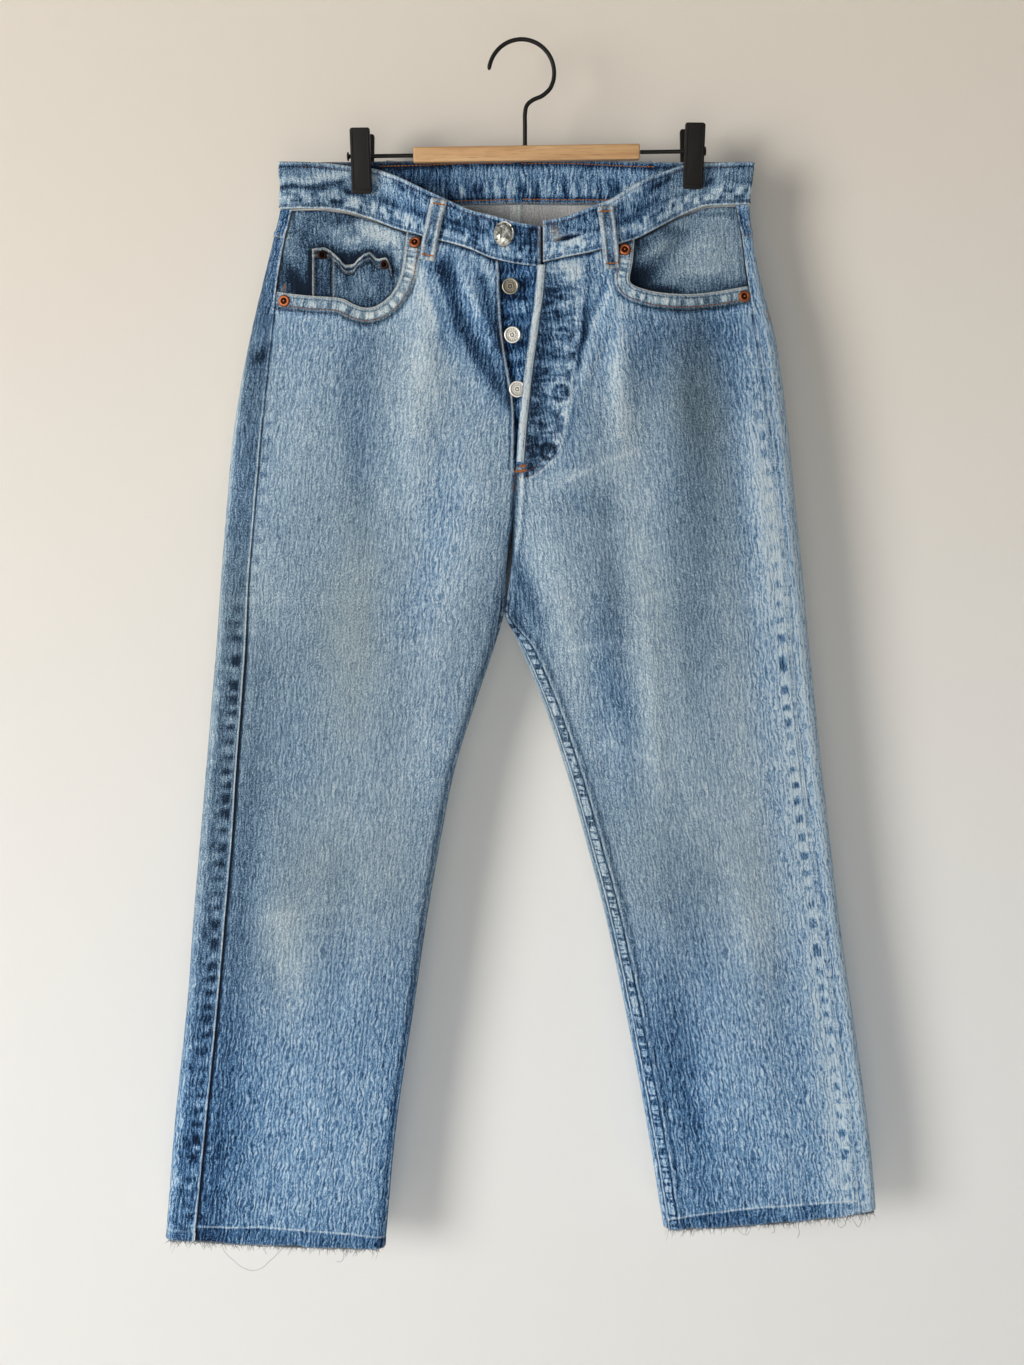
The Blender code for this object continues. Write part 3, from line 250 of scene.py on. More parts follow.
shape = {name: smoothColumn(sections["height"], column) for name, column in sections.items()
         if name != "height"}
grip = smoothColumn(pinches["height"], pinches["grip"])
flyEdge = {side: smoothColumn(flyRows["height"], flyRows[side]) for side in ("right", "left")}


def foldX(side, z):
    return shape[side + "Fold"](z) * mm


def seamX(side, z):
    return shape[side + "Seam"](z) * mm


def innerX(side, z):
    away = -gap / 2 if side == "right" else gap / 2
    own, shared = shape[side + "Inner"](z), shape["rightInner"](z)
    return np.where(np.asarray(z) < crotch, own, shared) * mm + away


def xAt(side, way, z):
    # way is 0 at the fold and 1 at the centre or inseam
    return foldX(side, z) + (innerX(side, z) - foldX(side, z)) * way


def wayAt(side, x, z):
    return np.clip(np.abs(x - foldX(side, z)) / np.abs(innerX(side, z) - foldX(side, z)), 0, 1)


def nose(distance, radius):
    way = np.clip(distance / radius, 0.0, 1.0)
    return np.sqrt(np.maximum(0.0, 1 - (1 - way) ** 2))


def foldHeight(folds, x, z):
    total = np.zeros(np.shape(x))
    for xTop, zTop, xLow, zLow, width, rise in folds:
        ax, az = xTop * mm, zTop * mm
        dx, dz = xLow * mm - ax, zLow * mm - az
        held = np.clip(((x - ax) * dx + (z - az) * dz) / (dx * dx + dz * dz), 0.0, 1.0)
        off = np.hypot(x - ax - held * dx, z - az - held * dz) / (width * mm)
        total += rise * mm * np.exp(-off * off) * (0.35 + 0.65 * np.sin(np.pi * held))
    return total


def domeBetween(x, start, end):
    # 1 halfway, 0 at both ends
    return 1 - np.clip(np.abs((2 * x - start - end) / (end - start)), 0, 1) ** 2.2


def skinHeight(side, face, x, z):
    x, z = np.broadcast_arrays(np.asarray(x, float), np.asarray(z, float))
    fold, inner = foldX(side, z), innerX(side, z)
    radius, middle = shape["nose"](z) * mm, shape[face](z) * mm
    right, left = foldX("right", z), foldX("left", z)
    asLeg = 1 - ease(z, crotch, -0.345)
    height = (radius + (middle - radius) * ((1 - asLeg) * domeBetween(x, right, left)
                                            + asLeg * domeBetween(x, fold, inner)))
    outOfClip = (x - clipX[side]) * outwardX[side]
    width = np.where(outOfClip > 0, pinchWidth["outward"], pinchWidth[face])
    height = height * (1 - grip(z) * np.exp(-((outOfClip / width) ** 2)))
    fromFold = np.where((fold - x) * (fold - inner) > 0, np.abs(x - fold), 0.0)
    fromInner = np.where((x - inner) * (fold - inner) > 0, np.abs(x - inner), 0.0)
    quiet = nose(fromFold, 0.030) ** 2 * (1 - asLeg * (1 - nose(fromInner, 0.030) ** 2))
    height += quiet * foldHeight(bigFolds[face] + smallFolds[face], x, z)
    # the cloth is never quite flat: long soft waves down it and shorter ones across
    seed = 3.1 if face == "front" else 8.7
    waves = lumps(x, z, 0.026, seed, 5.0) * 0.0008 + lumps(x + z * 0.2, z, 0.011, seed + 2, 3.0) * 0.00028
    height += quiet * waves
    split = 1 - ease(z, crotch, splitStart[face])
    height = height * nose(fromFold, radius)
    return height * (1 - split * (1 - nose(fromInner, radius)))


def skinPoints(side, front, x, z):
    # front is True where a place lies on the front skin
    y = np.where(front, -skinHeight(side, "front", x, z), skinHeight(side, "back", x, z))
    return np.stack(np.broadcast_arrays(x, y, z), axis=-1)


def foldWay(arc, radius):
    quarter = radius * math.pi / 2
    return np.where(arc < quarter, radius * (1 - np.cos(np.minimum(arc, quarter) / radius)),
                    radius + arc - quarter)


def gridNormals(points, outward):
    across = np.gradient(points, axis=1)
    down = np.gradient(points, axis=0)
    normals = np.cross(across, down)
    normals /= np.linalg.norm(normals, axis=2, keepdims=True) + 1e-12
    middle = normals[normals.shape[0] // 2, normals.shape[1] // 2]
    return normals if middle[1] * outward > 0 else -normals


def smoothShare(column):
    # the share of the waist's dip, eased so that the line has no corners
    ways = np.linspace(-0.2, 1.2, 561)
    values = np.interp(ways, np.concatenate([[0], dips["way"]]), np.concatenate([[0], dips[column]]))
    values += np.maximum(ways - 1, 0) * (dips[column][-1] - dips[column][-2]) * 10 * 0.5
    weights = np.hanning(45)
    smooth = np.convolve(values, weights / weights.sum(), mode="same")
    smooth -= np.interp(0, ways, smooth)
    return lambda way: np.interp(way, ways, smooth) / np.interp(1, ways, smooth)


dipCurves = {column: smoothShare(column) for column in ("seamright", "seamleft", "topright", "topleft")}


def panelHeight(side, way, down, top, centreTop, share):
    # down is 0 along the panel's top, 1 at the crotch and 2 at the hem, where share is bowed
    def heightFrom(start, hem):
        return np.where(down <= 1, start + (crotch - start) * down, crotch + (hem - crotch) * (down - 1))

    atFold, atCentre = heightFrom(top, hemOuter[side]), heightFrom(centreTop, hemInner[side])
    bowed = way ** (1 + (hemBow[side] - 1) * np.maximum(down - 1, 0))
    return atFold + (atCentre - atFold) * np.where(down <= 1, share, bowed)


def frontHeight(side, way, down):
    share = dipCurves["seam" + side](way) * (1 - down) + way * down
    return panelHeight(side, way, down, waistSeam[side], waistSeamCentre, share)


def backHeight(side, way, down):
    return panelHeight(side, way, down, yokeSeam["side"], yokeSeam["centre"], way)


def yokeHeight(side, way, down):
    top = waistSeam[side] + (waistSeamBack - waistSeam[side]) * way
    foot = yokeSeam["side"] + gap + (yokeSeam["centre"] - yokeSeam["side"]) * way
    return top + (foot - top) * down


def turnOf(side, z):
    return inseamTurn[side] * (1 - ease(z, crotch - 0.035, crotch))


def columnsBetween(start, end, near, far, middleCount, margin):
    # close steps at both edges, even ones between
    count = len(near) + middleCount + len(far)
    j = np.arange(count)
    middle = np.clip((j - len(near)) / (middleCount - 1), 0, 1)
    head = np.interp(j, np.arange(len(near)), near)
    tail = np.interp(count - 1 - j, np.arange(len(far)), far)
    inEnd, outEnd = start + near[-1] + margin, end - far[-1] - margin
    between = inEnd + (outEnd - inEnd) * middle
    return np.where(j < len(near), start + head, np.where(j >= count - len(far), end - tail, between))


def frontPlaces(side, downs, innerSteps, edgeSteps, middleCount):
    # rows from the waist seam to the hem, columns from the centre or inseam to the side seam
    downs = np.asarray(downs)[:, None]
    steps, near = np.asarray(edgeSteps), np.asarray(innerSteps)
    count = len(near) + len(steps) + middleCount
    down = np.repeat(downs, count, axis=1)
    z = frontHeight(side, np.full(down.shape, 0.5), down)
    inward = outwardX[side]
    for _ in range(5):
        fold, inner = foldX(side, z), innerX(side, z)
        width, radius = np.abs(fold - inner), shape["nose"](z) * mm
        split = 1 - ease(z, crotch, splitStart["front"])
        start = np.where(down >= 1, turnOf(side, z) + inseamGap / 2, 0.0)
        edge = flyEdge[side](z) * mm + (flyFoldWide + gap if side == "left" else 0.0)
        start = np.where(z > flyEnd, np.maximum(start, (edge - inner) * inward), start)
        end = np.abs(inner - seamX(side, z)) - gap / 2 + split * radius * (math.pi / 2 - 1)
        arc = columnsBetween(start, end, near, steps, middleCount, 0.002)
        distance = (1 - split) * np.abs(arc) + split * foldWay(np.abs(arc), radius)
        x = inner + inward * distance
        way = np.clip(np.abs(x - fold) / width, 0, 1)
        z = frontHeight(side, way, down)
    return {"side": side, "front": arc >= 0, "x": x, "z": z, "fromInseam": arc - start,
            "fromSeam": end - arc, "down": down}


def backPlaces(side, downs, edgeSteps, middleCount, heights):
    # columns from the side seam round the fold to the centre or inseam
    downs = np.asarray(downs)[:, None]
    steps = np.asarray(edgeSteps)
    count = 2 * len(steps) + middleCount
    down = np.repeat(downs, count, axis=1)
    z = heights(side, np.full(down.shape, 0.5), down)
    inward = outwardX[side]
    for _ in range(5):
        fold, inner = foldX(side, z), innerX(side, z)
        width, radius = np.abs(fold - inner), shape["nose"](z) * mm
        bulge = radius * (math.pi / 2 - 1)
        split = 1 - ease(z, crotch, splitStart["back"])
        start = -(np.abs(seamX(side, z) - fold) - gap / 2 + bulge)
        around = width + bulge + split * bulge
        legEnd = around + turnOf(side, z) - inseamGap / 2
        end = np.where((down >= 1) & (z < crotch + 0.002), legEnd, around)
        if heights is yokeHeight:
            end = around
        arc = columnsBetween(start, end, steps, steps, middleCount, 0.0015)
        fromTip = around - arc  # negative past the inner fold's tip, on the front
        atInner = (1 - split) * np.abs(fromTip) + split * foldWay(np.abs(fromTip), radius)
        x = np.where(arc < around - width / 2, fold - inward * foldWay(np.abs(arc), radius),
                     inner + inward * atInner)
        way = np.clip(np.abs(x - fold) / width, 0, 1)
        z = heights(side, way, down)
    return {"side": side, "front": (arc < 0) | (fromTip < 0), "x": x, "z": z, "fromInseam": end - arc,
            "fromSeam": arc - start, "down": down}


print("skins ready")

camera = bpy.data.cameras.new("camera")
camera.lens = 45.706
camera.sensor_width = 36
camera.clip_end = 50
cameraObject = bpy.data.objects.new("camera", camera)
cameraObject.location = (-0.00797, -1.513, -0.34092)
cameraObject.rotation_euler = (math.radians(82.4), 0, 0)
scene.collection.objects.link(cameraObject)
scene.camera = cameraObject
scene.view_settings.view_transform = "Standard"
scene.view_settings.look = "None"

world = bpy.data.worlds.new("studio")
scene.world = world
world.use_nodes = True
world.node_tree.nodes["Background"].inputs["Color"].default_value = (0.84, 0.90, 0.97, 1)
world.node_tree.nodes["Background"].inputs["Strength"].default_value = 0.18


def addLight(name, place, target, size, power, colour):
    light = bpy.data.lights.new(name, "AREA")
    light.shape = "DISK"
    light.size = size
    light.energy = power
    light.color = colour
    obj = bpy.data.objects.new(name, light)
    obj.location = place
    obj.rotation_euler = (Vector(target) - Vector(place)).to_track_quat("-Z", "Y").to_euler()
    scene.collection.objects.link(obj)
    return obj


addLight("windowLeft", (-3.0, -3.0, -0.25), (0.0, 0.0, -0.70), 2.0, 124, (1.0, 0.975, 0.94))
addLight("frontFill", (-0.1, -3.2, -0.9), (0.0, 0.0, -0.75), 1.8, 20, (1.0, 0.99, 0.975))
addLight("backFill", (0.8, 3.0, 0.6), (0.0, 0.0, -0.5), 2.4, 40, (1.0, 0.99, 0.98))


class Value:
    # a shader value: plain arithmetic on it makes Math nodes
    def __init__(self, tree, socket):
        self.tree, self.socket = tree, socket

    def math(self, operation, *terms):
        node = addNode(self.tree, "Math", operation=operation)
        for term, socket in zip(terms, node.inputs):
            connect(self.tree, term, socket)
        return Value(self.tree, node.outputs[0])

    def __add__(self, other):
        return self.math("ADD", self, other)

    def __radd__(self, other):
        return self.math("ADD", other, self)

    def __sub__(self, other):
        return self.math("SUBTRACT", self, other)

    def __rsub__(self, other):
        return self.math("SUBTRACT", other, self)

    def __mul__(self, other):
        return self.math("MULTIPLY", self, other)

    def __abs__(self):
        return self.math("ABSOLUTE", self)

    def clamped(self):
        self.socket.node.use_clamp = True
        return self


def connect(tree, value, socket):
    # value is a number, a tuple, or what another node gives
    if isinstance(value, Value):
        value = value.socket
    if isinstance(value, bpy.types.NodeSocket):
        tree.links.new(value, socket)
    elif isinstance(value, tuple) and len(value) < len(socket.default_value):
        socket.default_value = (*value, 1)
    else:
        socket.default_value = value


def addNode(tree, kind, sockets=None, **settings):
    node = tree.nodes.new("ShaderNode" + kind)
    for key, setting in settings.items():
        setattr(node, key, setting)
    for key, value in (sockets or {}).items():
        connect(tree, value, node.inputs[key])
    return node


def newMaterial(name):
    material = bpy.data.materials.new(name)
    material.use_nodes = True
    return material, material.node_tree, material.node_tree.nodes["Principled BSDF"]


def dress(tree, shader, sockets, bump=None):
    # bump gives its height, strength and distance
    for key, value in sockets.items():
        connect(tree, value, shader.inputs[key])
    if bump:
        node = addNode(tree, "Bump", dict(zip(("Height", "Strength", "Distance"), bump)))
        connect(tree, node.outputs[0], shader.inputs["Normal"])


def attributeOf(tree, name):
    return Value(tree, addNode(tree, "Attribute", attribute_name=name).outputs["Fac"])


def objectPlace(tree):
    return addNode(tree, "TexCoord").outputs["Object"]


def objectNoise(tree, sockets):
    return Value(tree, addNode(tree, "TexNoise", {"Vector": objectPlace(tree), **sockets}).outputs["Fac"])


def mixColour(tree, share, a, b, kind="MIX"):
    return addNode(tree, "Mix", {0: share, 6: a, 7: b}, data_type="RGBA", blend_type=kind).outputs[2]


def noiseAt(tree, vector, across, up, detail=2.0, rough=0.5, seed=0.0, lean=0.0, twist=0.0):
    # noise on the cloth's own metres, so many lumps per metre across and up, leaning by an angle
    mapping = addNode(tree, "Mapping", {"Location": (-seed, -seed * 1.7, 0),
                                        "Rotation": (0, 0, math.radians(lean)),
                                        "Scale": (1 / across, 1 / up, 1), "Vector": vector},
                      vector_type="TEXTURE")
    noise = addNode(tree, "TexNoise", {"Scale": 1, "Detail": detail, "Roughness": rough,
                                       "Distortion": twist, "Vector": mapping.outputs[0]},
                    noise_dimensions="2D")
    return Value(tree, noise.outputs["Fac"])


def srgb(r, g, b):
    return tuple(((c / 255) / 12.92 if c <= 10 else ((c / 255 + 0.055) / 1.055) ** 2.4) for c in (r, g, b))


def ramp(tree, value, stops):
    node = tree.nodes.new("ShaderNodeValToRGB")
    node.color_ramp.interpolation = "B_SPLINE" if len(stops) > 4 else "EASE"
    elements = node.color_ramp.elements
    while len(elements) < len(stops):
        elements.new(0.5)
    for element, (at, colour) in zip(elements, stops):
        element.position = at
        element.color = (*colour, 1)
    connect(tree, value, node.inputs[0])
    return node.outputs[0]


def denimGroup():
    # colour, roughness and height of washed indigo twill on cloth metres
    group = bpy.data.node_groups.new("washedDenim", "ShaderNodeTree")
    face = group.interface
    # Tint is how far the indigo has faded; on many pieces it also carries painted light and shade
    for name, kind, value in (("Cloth", "NodeSocketVector", None), ("Wear", "NodeSocketFloat", 0.6),
                              ("Grey", "NodeSocketFloat", 0.0), ("Marble", "NodeSocketFloat", 0.0),
                              ("Cream", "NodeSocketFloat", 0.0), ("Inside", "NodeSocketFloat", 0.0),
                              ("Ladder", "NodeSocketFloat", 0.0), ("Grain", "NodeSocketFloat", 1.0)):
        socket = face.new_socket(name=name, in_out="INPUT", socket_type=kind)
        if value is not None:
            socket.default_value = value
    for name, kind in (("Color", "NodeSocketColor"), ("Roughness", "NodeSocketFloat"),
                       ("Height", "NodeSocketFloat")):
        face.new_socket(name=name, in_out="OUTPUT", socket_type=kind)
    inputs = group.nodes.new("NodeGroupInput").outputs
    start = {socket.name: Value(group, socket) for socket in inputs if socket.name}
    end = group.nodes.new("NodeGroupOutput").inputs
    cloth = start["Cloth"]
    crinkle = noiseAt(group, cloth, 560, 130, 2, 0.55, 3.7, 10, 0.7)  # short creases from the wash
    crossing = noiseAt(group, cloth, 480, 125, 2, 0.55, 9.1, -20, 0.7)
    slub = noiseAt(group, cloth, 850, 70, 2, 0.5, 6.8)  # thick and thin warp yarns
    speck = noiseAt(group, cloth, 1150, 800, 1, 0.8, 1.9, 35)
    cloud = noiseAt(group, cloth, 24, 15, 3, 0.55, 7.7)
    blotch = noiseAt(group, cloth, 120, 150, 3, 0.65, 2.2, 0, 0.4)
    fineBlotch = noiseAt(group, cloth, 330, 400, 2, 0.6, 6.4)

    def swing(noise, by):
        return (noise - 0.5) * by

    def ridge(noise, by):
        # thin light lines where the noise passes its middle
        line = (1.0 - abs(noise - 0.5) * 9.0).clamped()
        return (line - 0.38) * by

    creases = ridge(crinkle, 0.22) + ridge(crossing, 0.15) + swing(crinkle, 0.20)
    # shrunken yarns stand up in short wavering lines, about four millimetres apart
    across = Value(group, addNode(group, "SeparateXYZ", {0: cloth}).outputs[0])
    waver = swing(noiseAt(group, cloth, 110, 55, 2, 0.6, 4.9), 16.0) + swing(crossing, 5.0)
    wale = (waver.math("SINE", across * 1650.0 + waver)
            * (noiseAt(group, cloth, 200, 60, 1, 0.5, 8.3) * 0.34))
    creases = (creases + wale) * (1.05 - start["Grey"] * 0.85)
    grain = (swing(slub, 0.28) + swing(speck, 1.15) + creases) * start["Grain"]
    # bars that the felled seam's stitches have pressed across it
    rung = ((noiseAt(group, cloth, 60, 300, 1, 0.4, 5.2) - 0.47) * 8.0).clamped()
    rung = (0.22 - rung) * (start["Ladder"] * 0.42)
    marble = swing(blotch, 2.2) + swing(fineBlotch, 1.3)
    wear = (start["Wear"] + grain + swing(cloud, 0.07) + rung + marble * start["Marble"]).clamped()
    blue = ramp(group, wear, ((0.0, srgb(6, 12, 28)), (0.20, srgb(20, 48, 84)), (0.40, srgb(54, 96, 142)),
                              (0.60, srgb(98, 143, 186)), (0.80, srgb(154, 188, 216)),
                              (1.0, srgb(214, 226, 230))))
    grey = ramp(group, wear, ((0.0, srgb(16, 26, 38)), (0.20, srgb(46, 64, 80)),
                              (0.40, srgb(88, 108, 120)), (0.60, srgb(130, 147, 154)),
                              (0.80, srgb(172, 184, 186)), (1.0, srgb(218, 220, 214))))
    colour = mixColour(group, start["Grey"], blue, grey)
    fluff = mixColour(group, speck, srgb(128, 136, 138), srgb(240, 238, 228))
    colour = mixColour(group, (start["Cream"] * (0.45 + fineBlotch)).clamped(), colour, fluff)
    weft = (0.5 + (swing(speck, 1.6) + swing(cloud, 1.2))).clamped()
    wrongSide = mixColour(group, weft, srgb(120, 124, 130), srgb(206, 204, 202))
    connect(group, mixColour(group, start["Inside"], colour, wrongSide), end["Color"])
    twill = addNode(group, "TexWave", {"Scale": 300, "Distortion": 1.5, "Vector": cloth},
                    bands_direction="DIAGONAL")
    lines = Value(group, twill.outputs["Fac"]) * 0.25
    connect(group, lines + (creases * 2.2 + speck * 0.6), end["Height"])
    connect(group, 0.80 + speck * 0.15, end["Roughness"])
    return group


denimNodes = denimGroup()


def denimMaterial():
    material, tree, shader = newMaterial("denim")
    looks = {name: attributeOf(tree, name.lower())
             for name in ("Wear", "Grey", "Marble", "Cream", "Inside", "Ladder")}
    place = addNode(tree, "UVMap", uv_map="cloth").outputs[0]
    cloth = tree.nodes.new("ShaderNodeGroup")
    cloth.node_tree = denimNodes
    for key, value in {"Cloth": place, "Grain": 1.0, **looks}.items():
        connect(tree, value, cloth.inputs[key])
    dress(tree, shader, {"Base Color": cloth.outputs["Color"], "Roughness": cloth.outputs["Roughness"],
                         "Specular IOR Level": 0.10, "Sheen Weight": 0.05, "Sheen Roughness": 0.5},
          (cloth.outputs["Height"], 0.6, 0.0006))
    return material


denim = denimMaterial()


def linkObject(name, mesh, *materials):
    obj = bpy.data.objects.new(name, mesh)
    scene.collection.objects.link(obj)
    for material in materials:
        mesh.materials.append(material)
    return obj


def intoMesh(bm, mesh, sharp=None):
    # faces turned outward, smooth but for edges sharper than so many degrees
    bmesh.ops.recalc_face_normals(bm, faces=bm.faces)
    bm.to_mesh(mesh)
    bm.free()
    if sharp:
        mesh.shade_smooth()
        mesh.set_sharp_from_angle(angle=math.radians(sharp))


def meshFrom(name, verts, faces, attributes=None, uv=None):
    mesh = bpy.data.meshes.new(name)
    mesh.vertices.add(len(verts))
    mesh.vertices.foreach_set("co", np.asarray(verts, np.float32).ravel())
    faces = np.asarray(faces, np.int32)
    mesh.loops.add(faces.size)
    mesh.loops.foreach_set("vertex_index", faces.ravel())
    mesh.polygons.add(len(faces))
    mesh.polygons.foreach_set("loop_start", np.arange(0, faces.size, faces.shape[1], dtype=np.int32))
    for key, values in (attributes or {}).items():
        layer = mesh.attributes.new(key, "FLOAT", "POINT")
        layer.data.foreach_set("value", np.asarray(values, np.float32).ravel())
    if uv is not None:
        layer = mesh.uv_layers.new(name="cloth")
        layer.data.foreach_set("uv", np.asarray(uv, np.float32)[faces.ravel()].ravel())
    mesh.update(calc_edges=True)
    mesh.validate()
    mesh.shade_smooth()
    return mesh


def clothWall(name, outer, normals, thick, cloth, wear, keep=None, grey=0.0, marble=0.0, cream=0.0,
              inner=None, insideFrom=1.0, innerTint=None, ladder=0.0):
    # a closed wall: the outer grid, the same grid pushed in, and a rim. keep says which squares stay
    rows, columns = outer.shape[:2]
    back = outer - normals * np.asarray(thick)[..., None] if inner is None else inner
    count = rows * columns
    index = np.arange(count).reshape(rows, columns)
    keep = np.ones((rows - 1, columns - 1), bool) if keep is None else keep
    a, b, c, d = index[:-1, :-1], index[:-1, 1:], index[1:, 1:], index[1:, :-1]
    front = np.stack([a, b, c, d], axis=-1)[keep]
    # wind outward: compare one square's own normal with the grid's
    i, j = np.argwhere(keep)[len(np.argwhere(keep)) // 2]
    turn = np.cross(outer[i, j + 1] - outer[i, j], outer[i + 1, j] - outer[i, j])
    if np.dot(turn, normals[i, j]) < 0:
        front = front[:, ::-1]
        sign = -1
    else:
        sign = 1
    behind = front[:, ::-1] + count
    padded = np.pad(keep, 1)
    rims = []
    kept, above, below, before, after = (padded[1:-1, 1:-1], padded[:-2, 1:-1], padded[2:, 1:-1],
                                         padded[1:-1, :-2], padded[1:-1, 2:])
    for edge, (p, q) in ((kept & ~above, (a, b)), (kept & ~after, (b, c)), (kept & ~below, (c, d)),
                         (kept & ~before, (d, a))):
        p, q = p[edge], q[edge]
        rim = np.stack([q, p, p + count, q + count], axis=-1)
        rims.append(rim if sign > 0 else rim[:, ::-1])
    faces = np.vstack([front, behind, *rims])
    verts = np.vstack([outer.reshape(-1, 3), back.reshape(-1, 3)])

    def full(value):
        return np.broadcast_to(np.asarray(value, float), (rows, columns)).ravel()

    looks = {"wear": wear, "grey": grey, "marble": marble, "cream": cream, "ladder": ladder}
    attributes = {key: np.concatenate([full(value), full(value)]) for key, value in looks.items()}
    if innerTint is not None:
        attributes["wear"][count:] = full(innerTint)
    attributes["inside"] = np.concatenate([np.zeros(count), np.full(count, insideFrom)])
    uv = np.stack([full(cloth[0]), full(cloth[1])], axis=1)
    used = np.unique(faces)
    lookup = np.full(2 * count, -1)
    lookup[used] = np.arange(len(used))
    mesh = meshFrom("cloth_" + name, verts[used], lookup[faces],
                    {k: v[used] for k, v in attributes.items()}, np.vstack([uv, uv])[used])
    mesh.set_sharp_from_angle(angle=math.radians(60))
    return linkObject("cloth_" + name, mesh, denim)


def raised(points, relief, outward):
    points = points + gridNormals(points, outward) * relief[..., None]
    return points, gridNormals(points, outward)


def squaresOf(good):
    # the squares whose four corners are all good
    return good[:-1, :-1] & good[1:, :-1] & good[:-1, 1:] & good[1:, 1:]


surfaces = {}
panels = {}


def treeOf(obj):
    mesh = obj.data
    co = np.empty(len(mesh.vertices) * 3, np.float32)
    mesh.vertices.foreach_get("co", co)
    return BVHTree.FromPolygons(co.reshape(-1, 3).tolist(), [tuple(p.vertices) for p in mesh.polygons])


def dropOn(tree, x, z, face="front"):
    # the point and normal that a look straight at the cloth meets
    outward = -1 if face == "front" else 1
    hit, normal, _, _ = tree.ray_cast(Vector((x, outward * 0.3, z)), Vector((0, -outward, 0)))
    if hit is None:
        return None, None
    if normal.y * outward < 0:
        normal = -normal
    return hit, normal


def finishPiece(obj, nodes=()):
    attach(obj, "root")
    if nodes:
        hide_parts(*nodes)


def keepPiece(name, obj, nodes=None):
    # a cloth piece that later pieces lie on, dressing the node of its name
    finishPiece(obj, [name] if nodes is None else nodes)
    surfaces[name] = treeOf(obj)
    panels[name] = obj


pocketOpening = {
    "right": (
        (-94, -140), (-96, -159), (-98, -178), (-101.5, -196), (-109, -210), (-121, -219.5), (-132, -221.5),
        (-142, -218.5), (-153, -213.5), (-176, -211.5), (-195, -209.5), (-216, -206),
    ),
    "left": (
        (95, -138), (94, -165), (92.5, -183), (90, -196), (92, -202), (102, -206), (118, -209), (142, -210),
        (166, -207.5), (191, -203), (212, -200),
    ),
}
pocketLine = {side: curveThrough(np.array(points) * mm) for side, points in pocketOpening.items()}
jStitch = curveThrough(np.array(((52, -172), (50, -211), (47, -250), (41, -282), (36, -314), (32, -336),
                                 (22, -351), (9, -361), (0, -364))) * mm)

# faded and darker places on the front, partly wash and partly painted light and shade: middle, half width,
# half height, lean, and how much lighter
frontMarks = (
    (-187, -281, 24, 94, 0.12, 0.02), (-135, -298, 17, 110, 0.05, -0.14), (-86, -281, 15, 120, 0.05, 0.16),
    # in the line below: a painted highlight under the rivet at -88, -187, and painted shade in the trough
    # at -42, -232 and below the right pocket at 150, -240
    (-88, -187, 7, 9, 0.00, 0.26), (-42, -232, 18, 40, -0.35, -0.13), (150, -240, 38, 30, 0.0, -0.13),
    (-222, -266, 8, 6, 0.0, -0.34), (-223, -250, 6, 5, 0.0, 0.16), (84, -272, 9, 74, 0.03, 0.24),
    (108, -262, 12, 30, 0.0, -0.12), (-57, -433, 26, 102, 0.15, 0.10), (-190, -485, 30, 144, 0.10, -0.06),
    (-139, -485, 19, 153, 0.12, 0.04), (-92, -572, 19, 162, 0.20, 0.08), (-212, -768, 14, 30, 0.00, 0.13),
    (-236, -832, 34, 51, 0.10, -0.02), (-256, -962, 30, 76, 0.15, -0.10),
    (-153, -915, 24, 136, 0.20, -0.01), (48, -331, 22, 76, 0.10, -0.05), (101, -399, 14, 128, -0.12, 0.08),
    (151, -298, 34, 94, -0.10, -0.20), (205, -357, 12, 102, -0.14, 0.12), (73, -442, 14, 76, -0.10, -0.10),
    (20, -433, 15, 60, -0.25, 0.10), (153, -433, 22, 94, -0.10, -0.08), (191, -572, 19, 144, -0.15, 0.10),
    (105, -554, 10, 76, -0.15, 0.06), (78, -537, 12, 94, -0.20, -0.10), (148, -714, 22, 102, -0.20, -0.08),
    (215, -759, 22, 42, -0.10, 0.10), (147, -915, 19, 128, -0.20, -0.20), (276, -897, 14, 162, -0.13, 0.06),
    # in the line below, the marks at 2, -452 and -6, -486 are painted shadow in the crotch
    (236, -502, 10, 187, -0.12, 0.08), (2, -452, 8, 44, -0.30, -0.28), (-6, -486, 8, 26, -0.10, -0.25),
    (36, -365, 26, 7, 1.60, 0.10), (15, -332, 7, 13, 0.0, -0.18), (60, -393, 30, 8, 1.40, -0.07),
    (-203, -803, 12, 26, 0.0, 0.10),
)
# creases drawn along a line, partly faded and partly painted: painted shade in the troughs and painted
# light on the ridges beside them. half width, strength, then the way
strokes = (
    (8.5, -0.36, (-65, -188), (-60, -208), (-55, -230), (-43, -251), (-31, -266), (-22, -281), (-13, -298)),
    (3.0, 0.22, (-54, -188), (-46, -203), (-39, -216), (-37, -225)),
    (5.2, -0.40, (-33, -198), (-28, -216), (-23, -238), (-16, -256)), (4.0, 0.22, (-27, -189), (-25, -199)),
    (3.0, 0.14, (-72, -196), (-62, -225), (-52, -248)), (5.5, -0.24, (-80, -186), (-68, -190), (-62, -196)),
    (3.0, -0.30, (53, -222), (52, -248), (47, -272)),
    (2.6, 0.24, (80, -194), (66, -226), (52, -268), (38, -314)),
    (2.4, -0.16, (72, -194), (60, -226), (47, -262)), (5.0, 0.16, (-88, -190), (-82, -214), (-74, -240)),
    (2.2, -0.16, (-78, -200), (-70, -230), (-60, -262)),
)
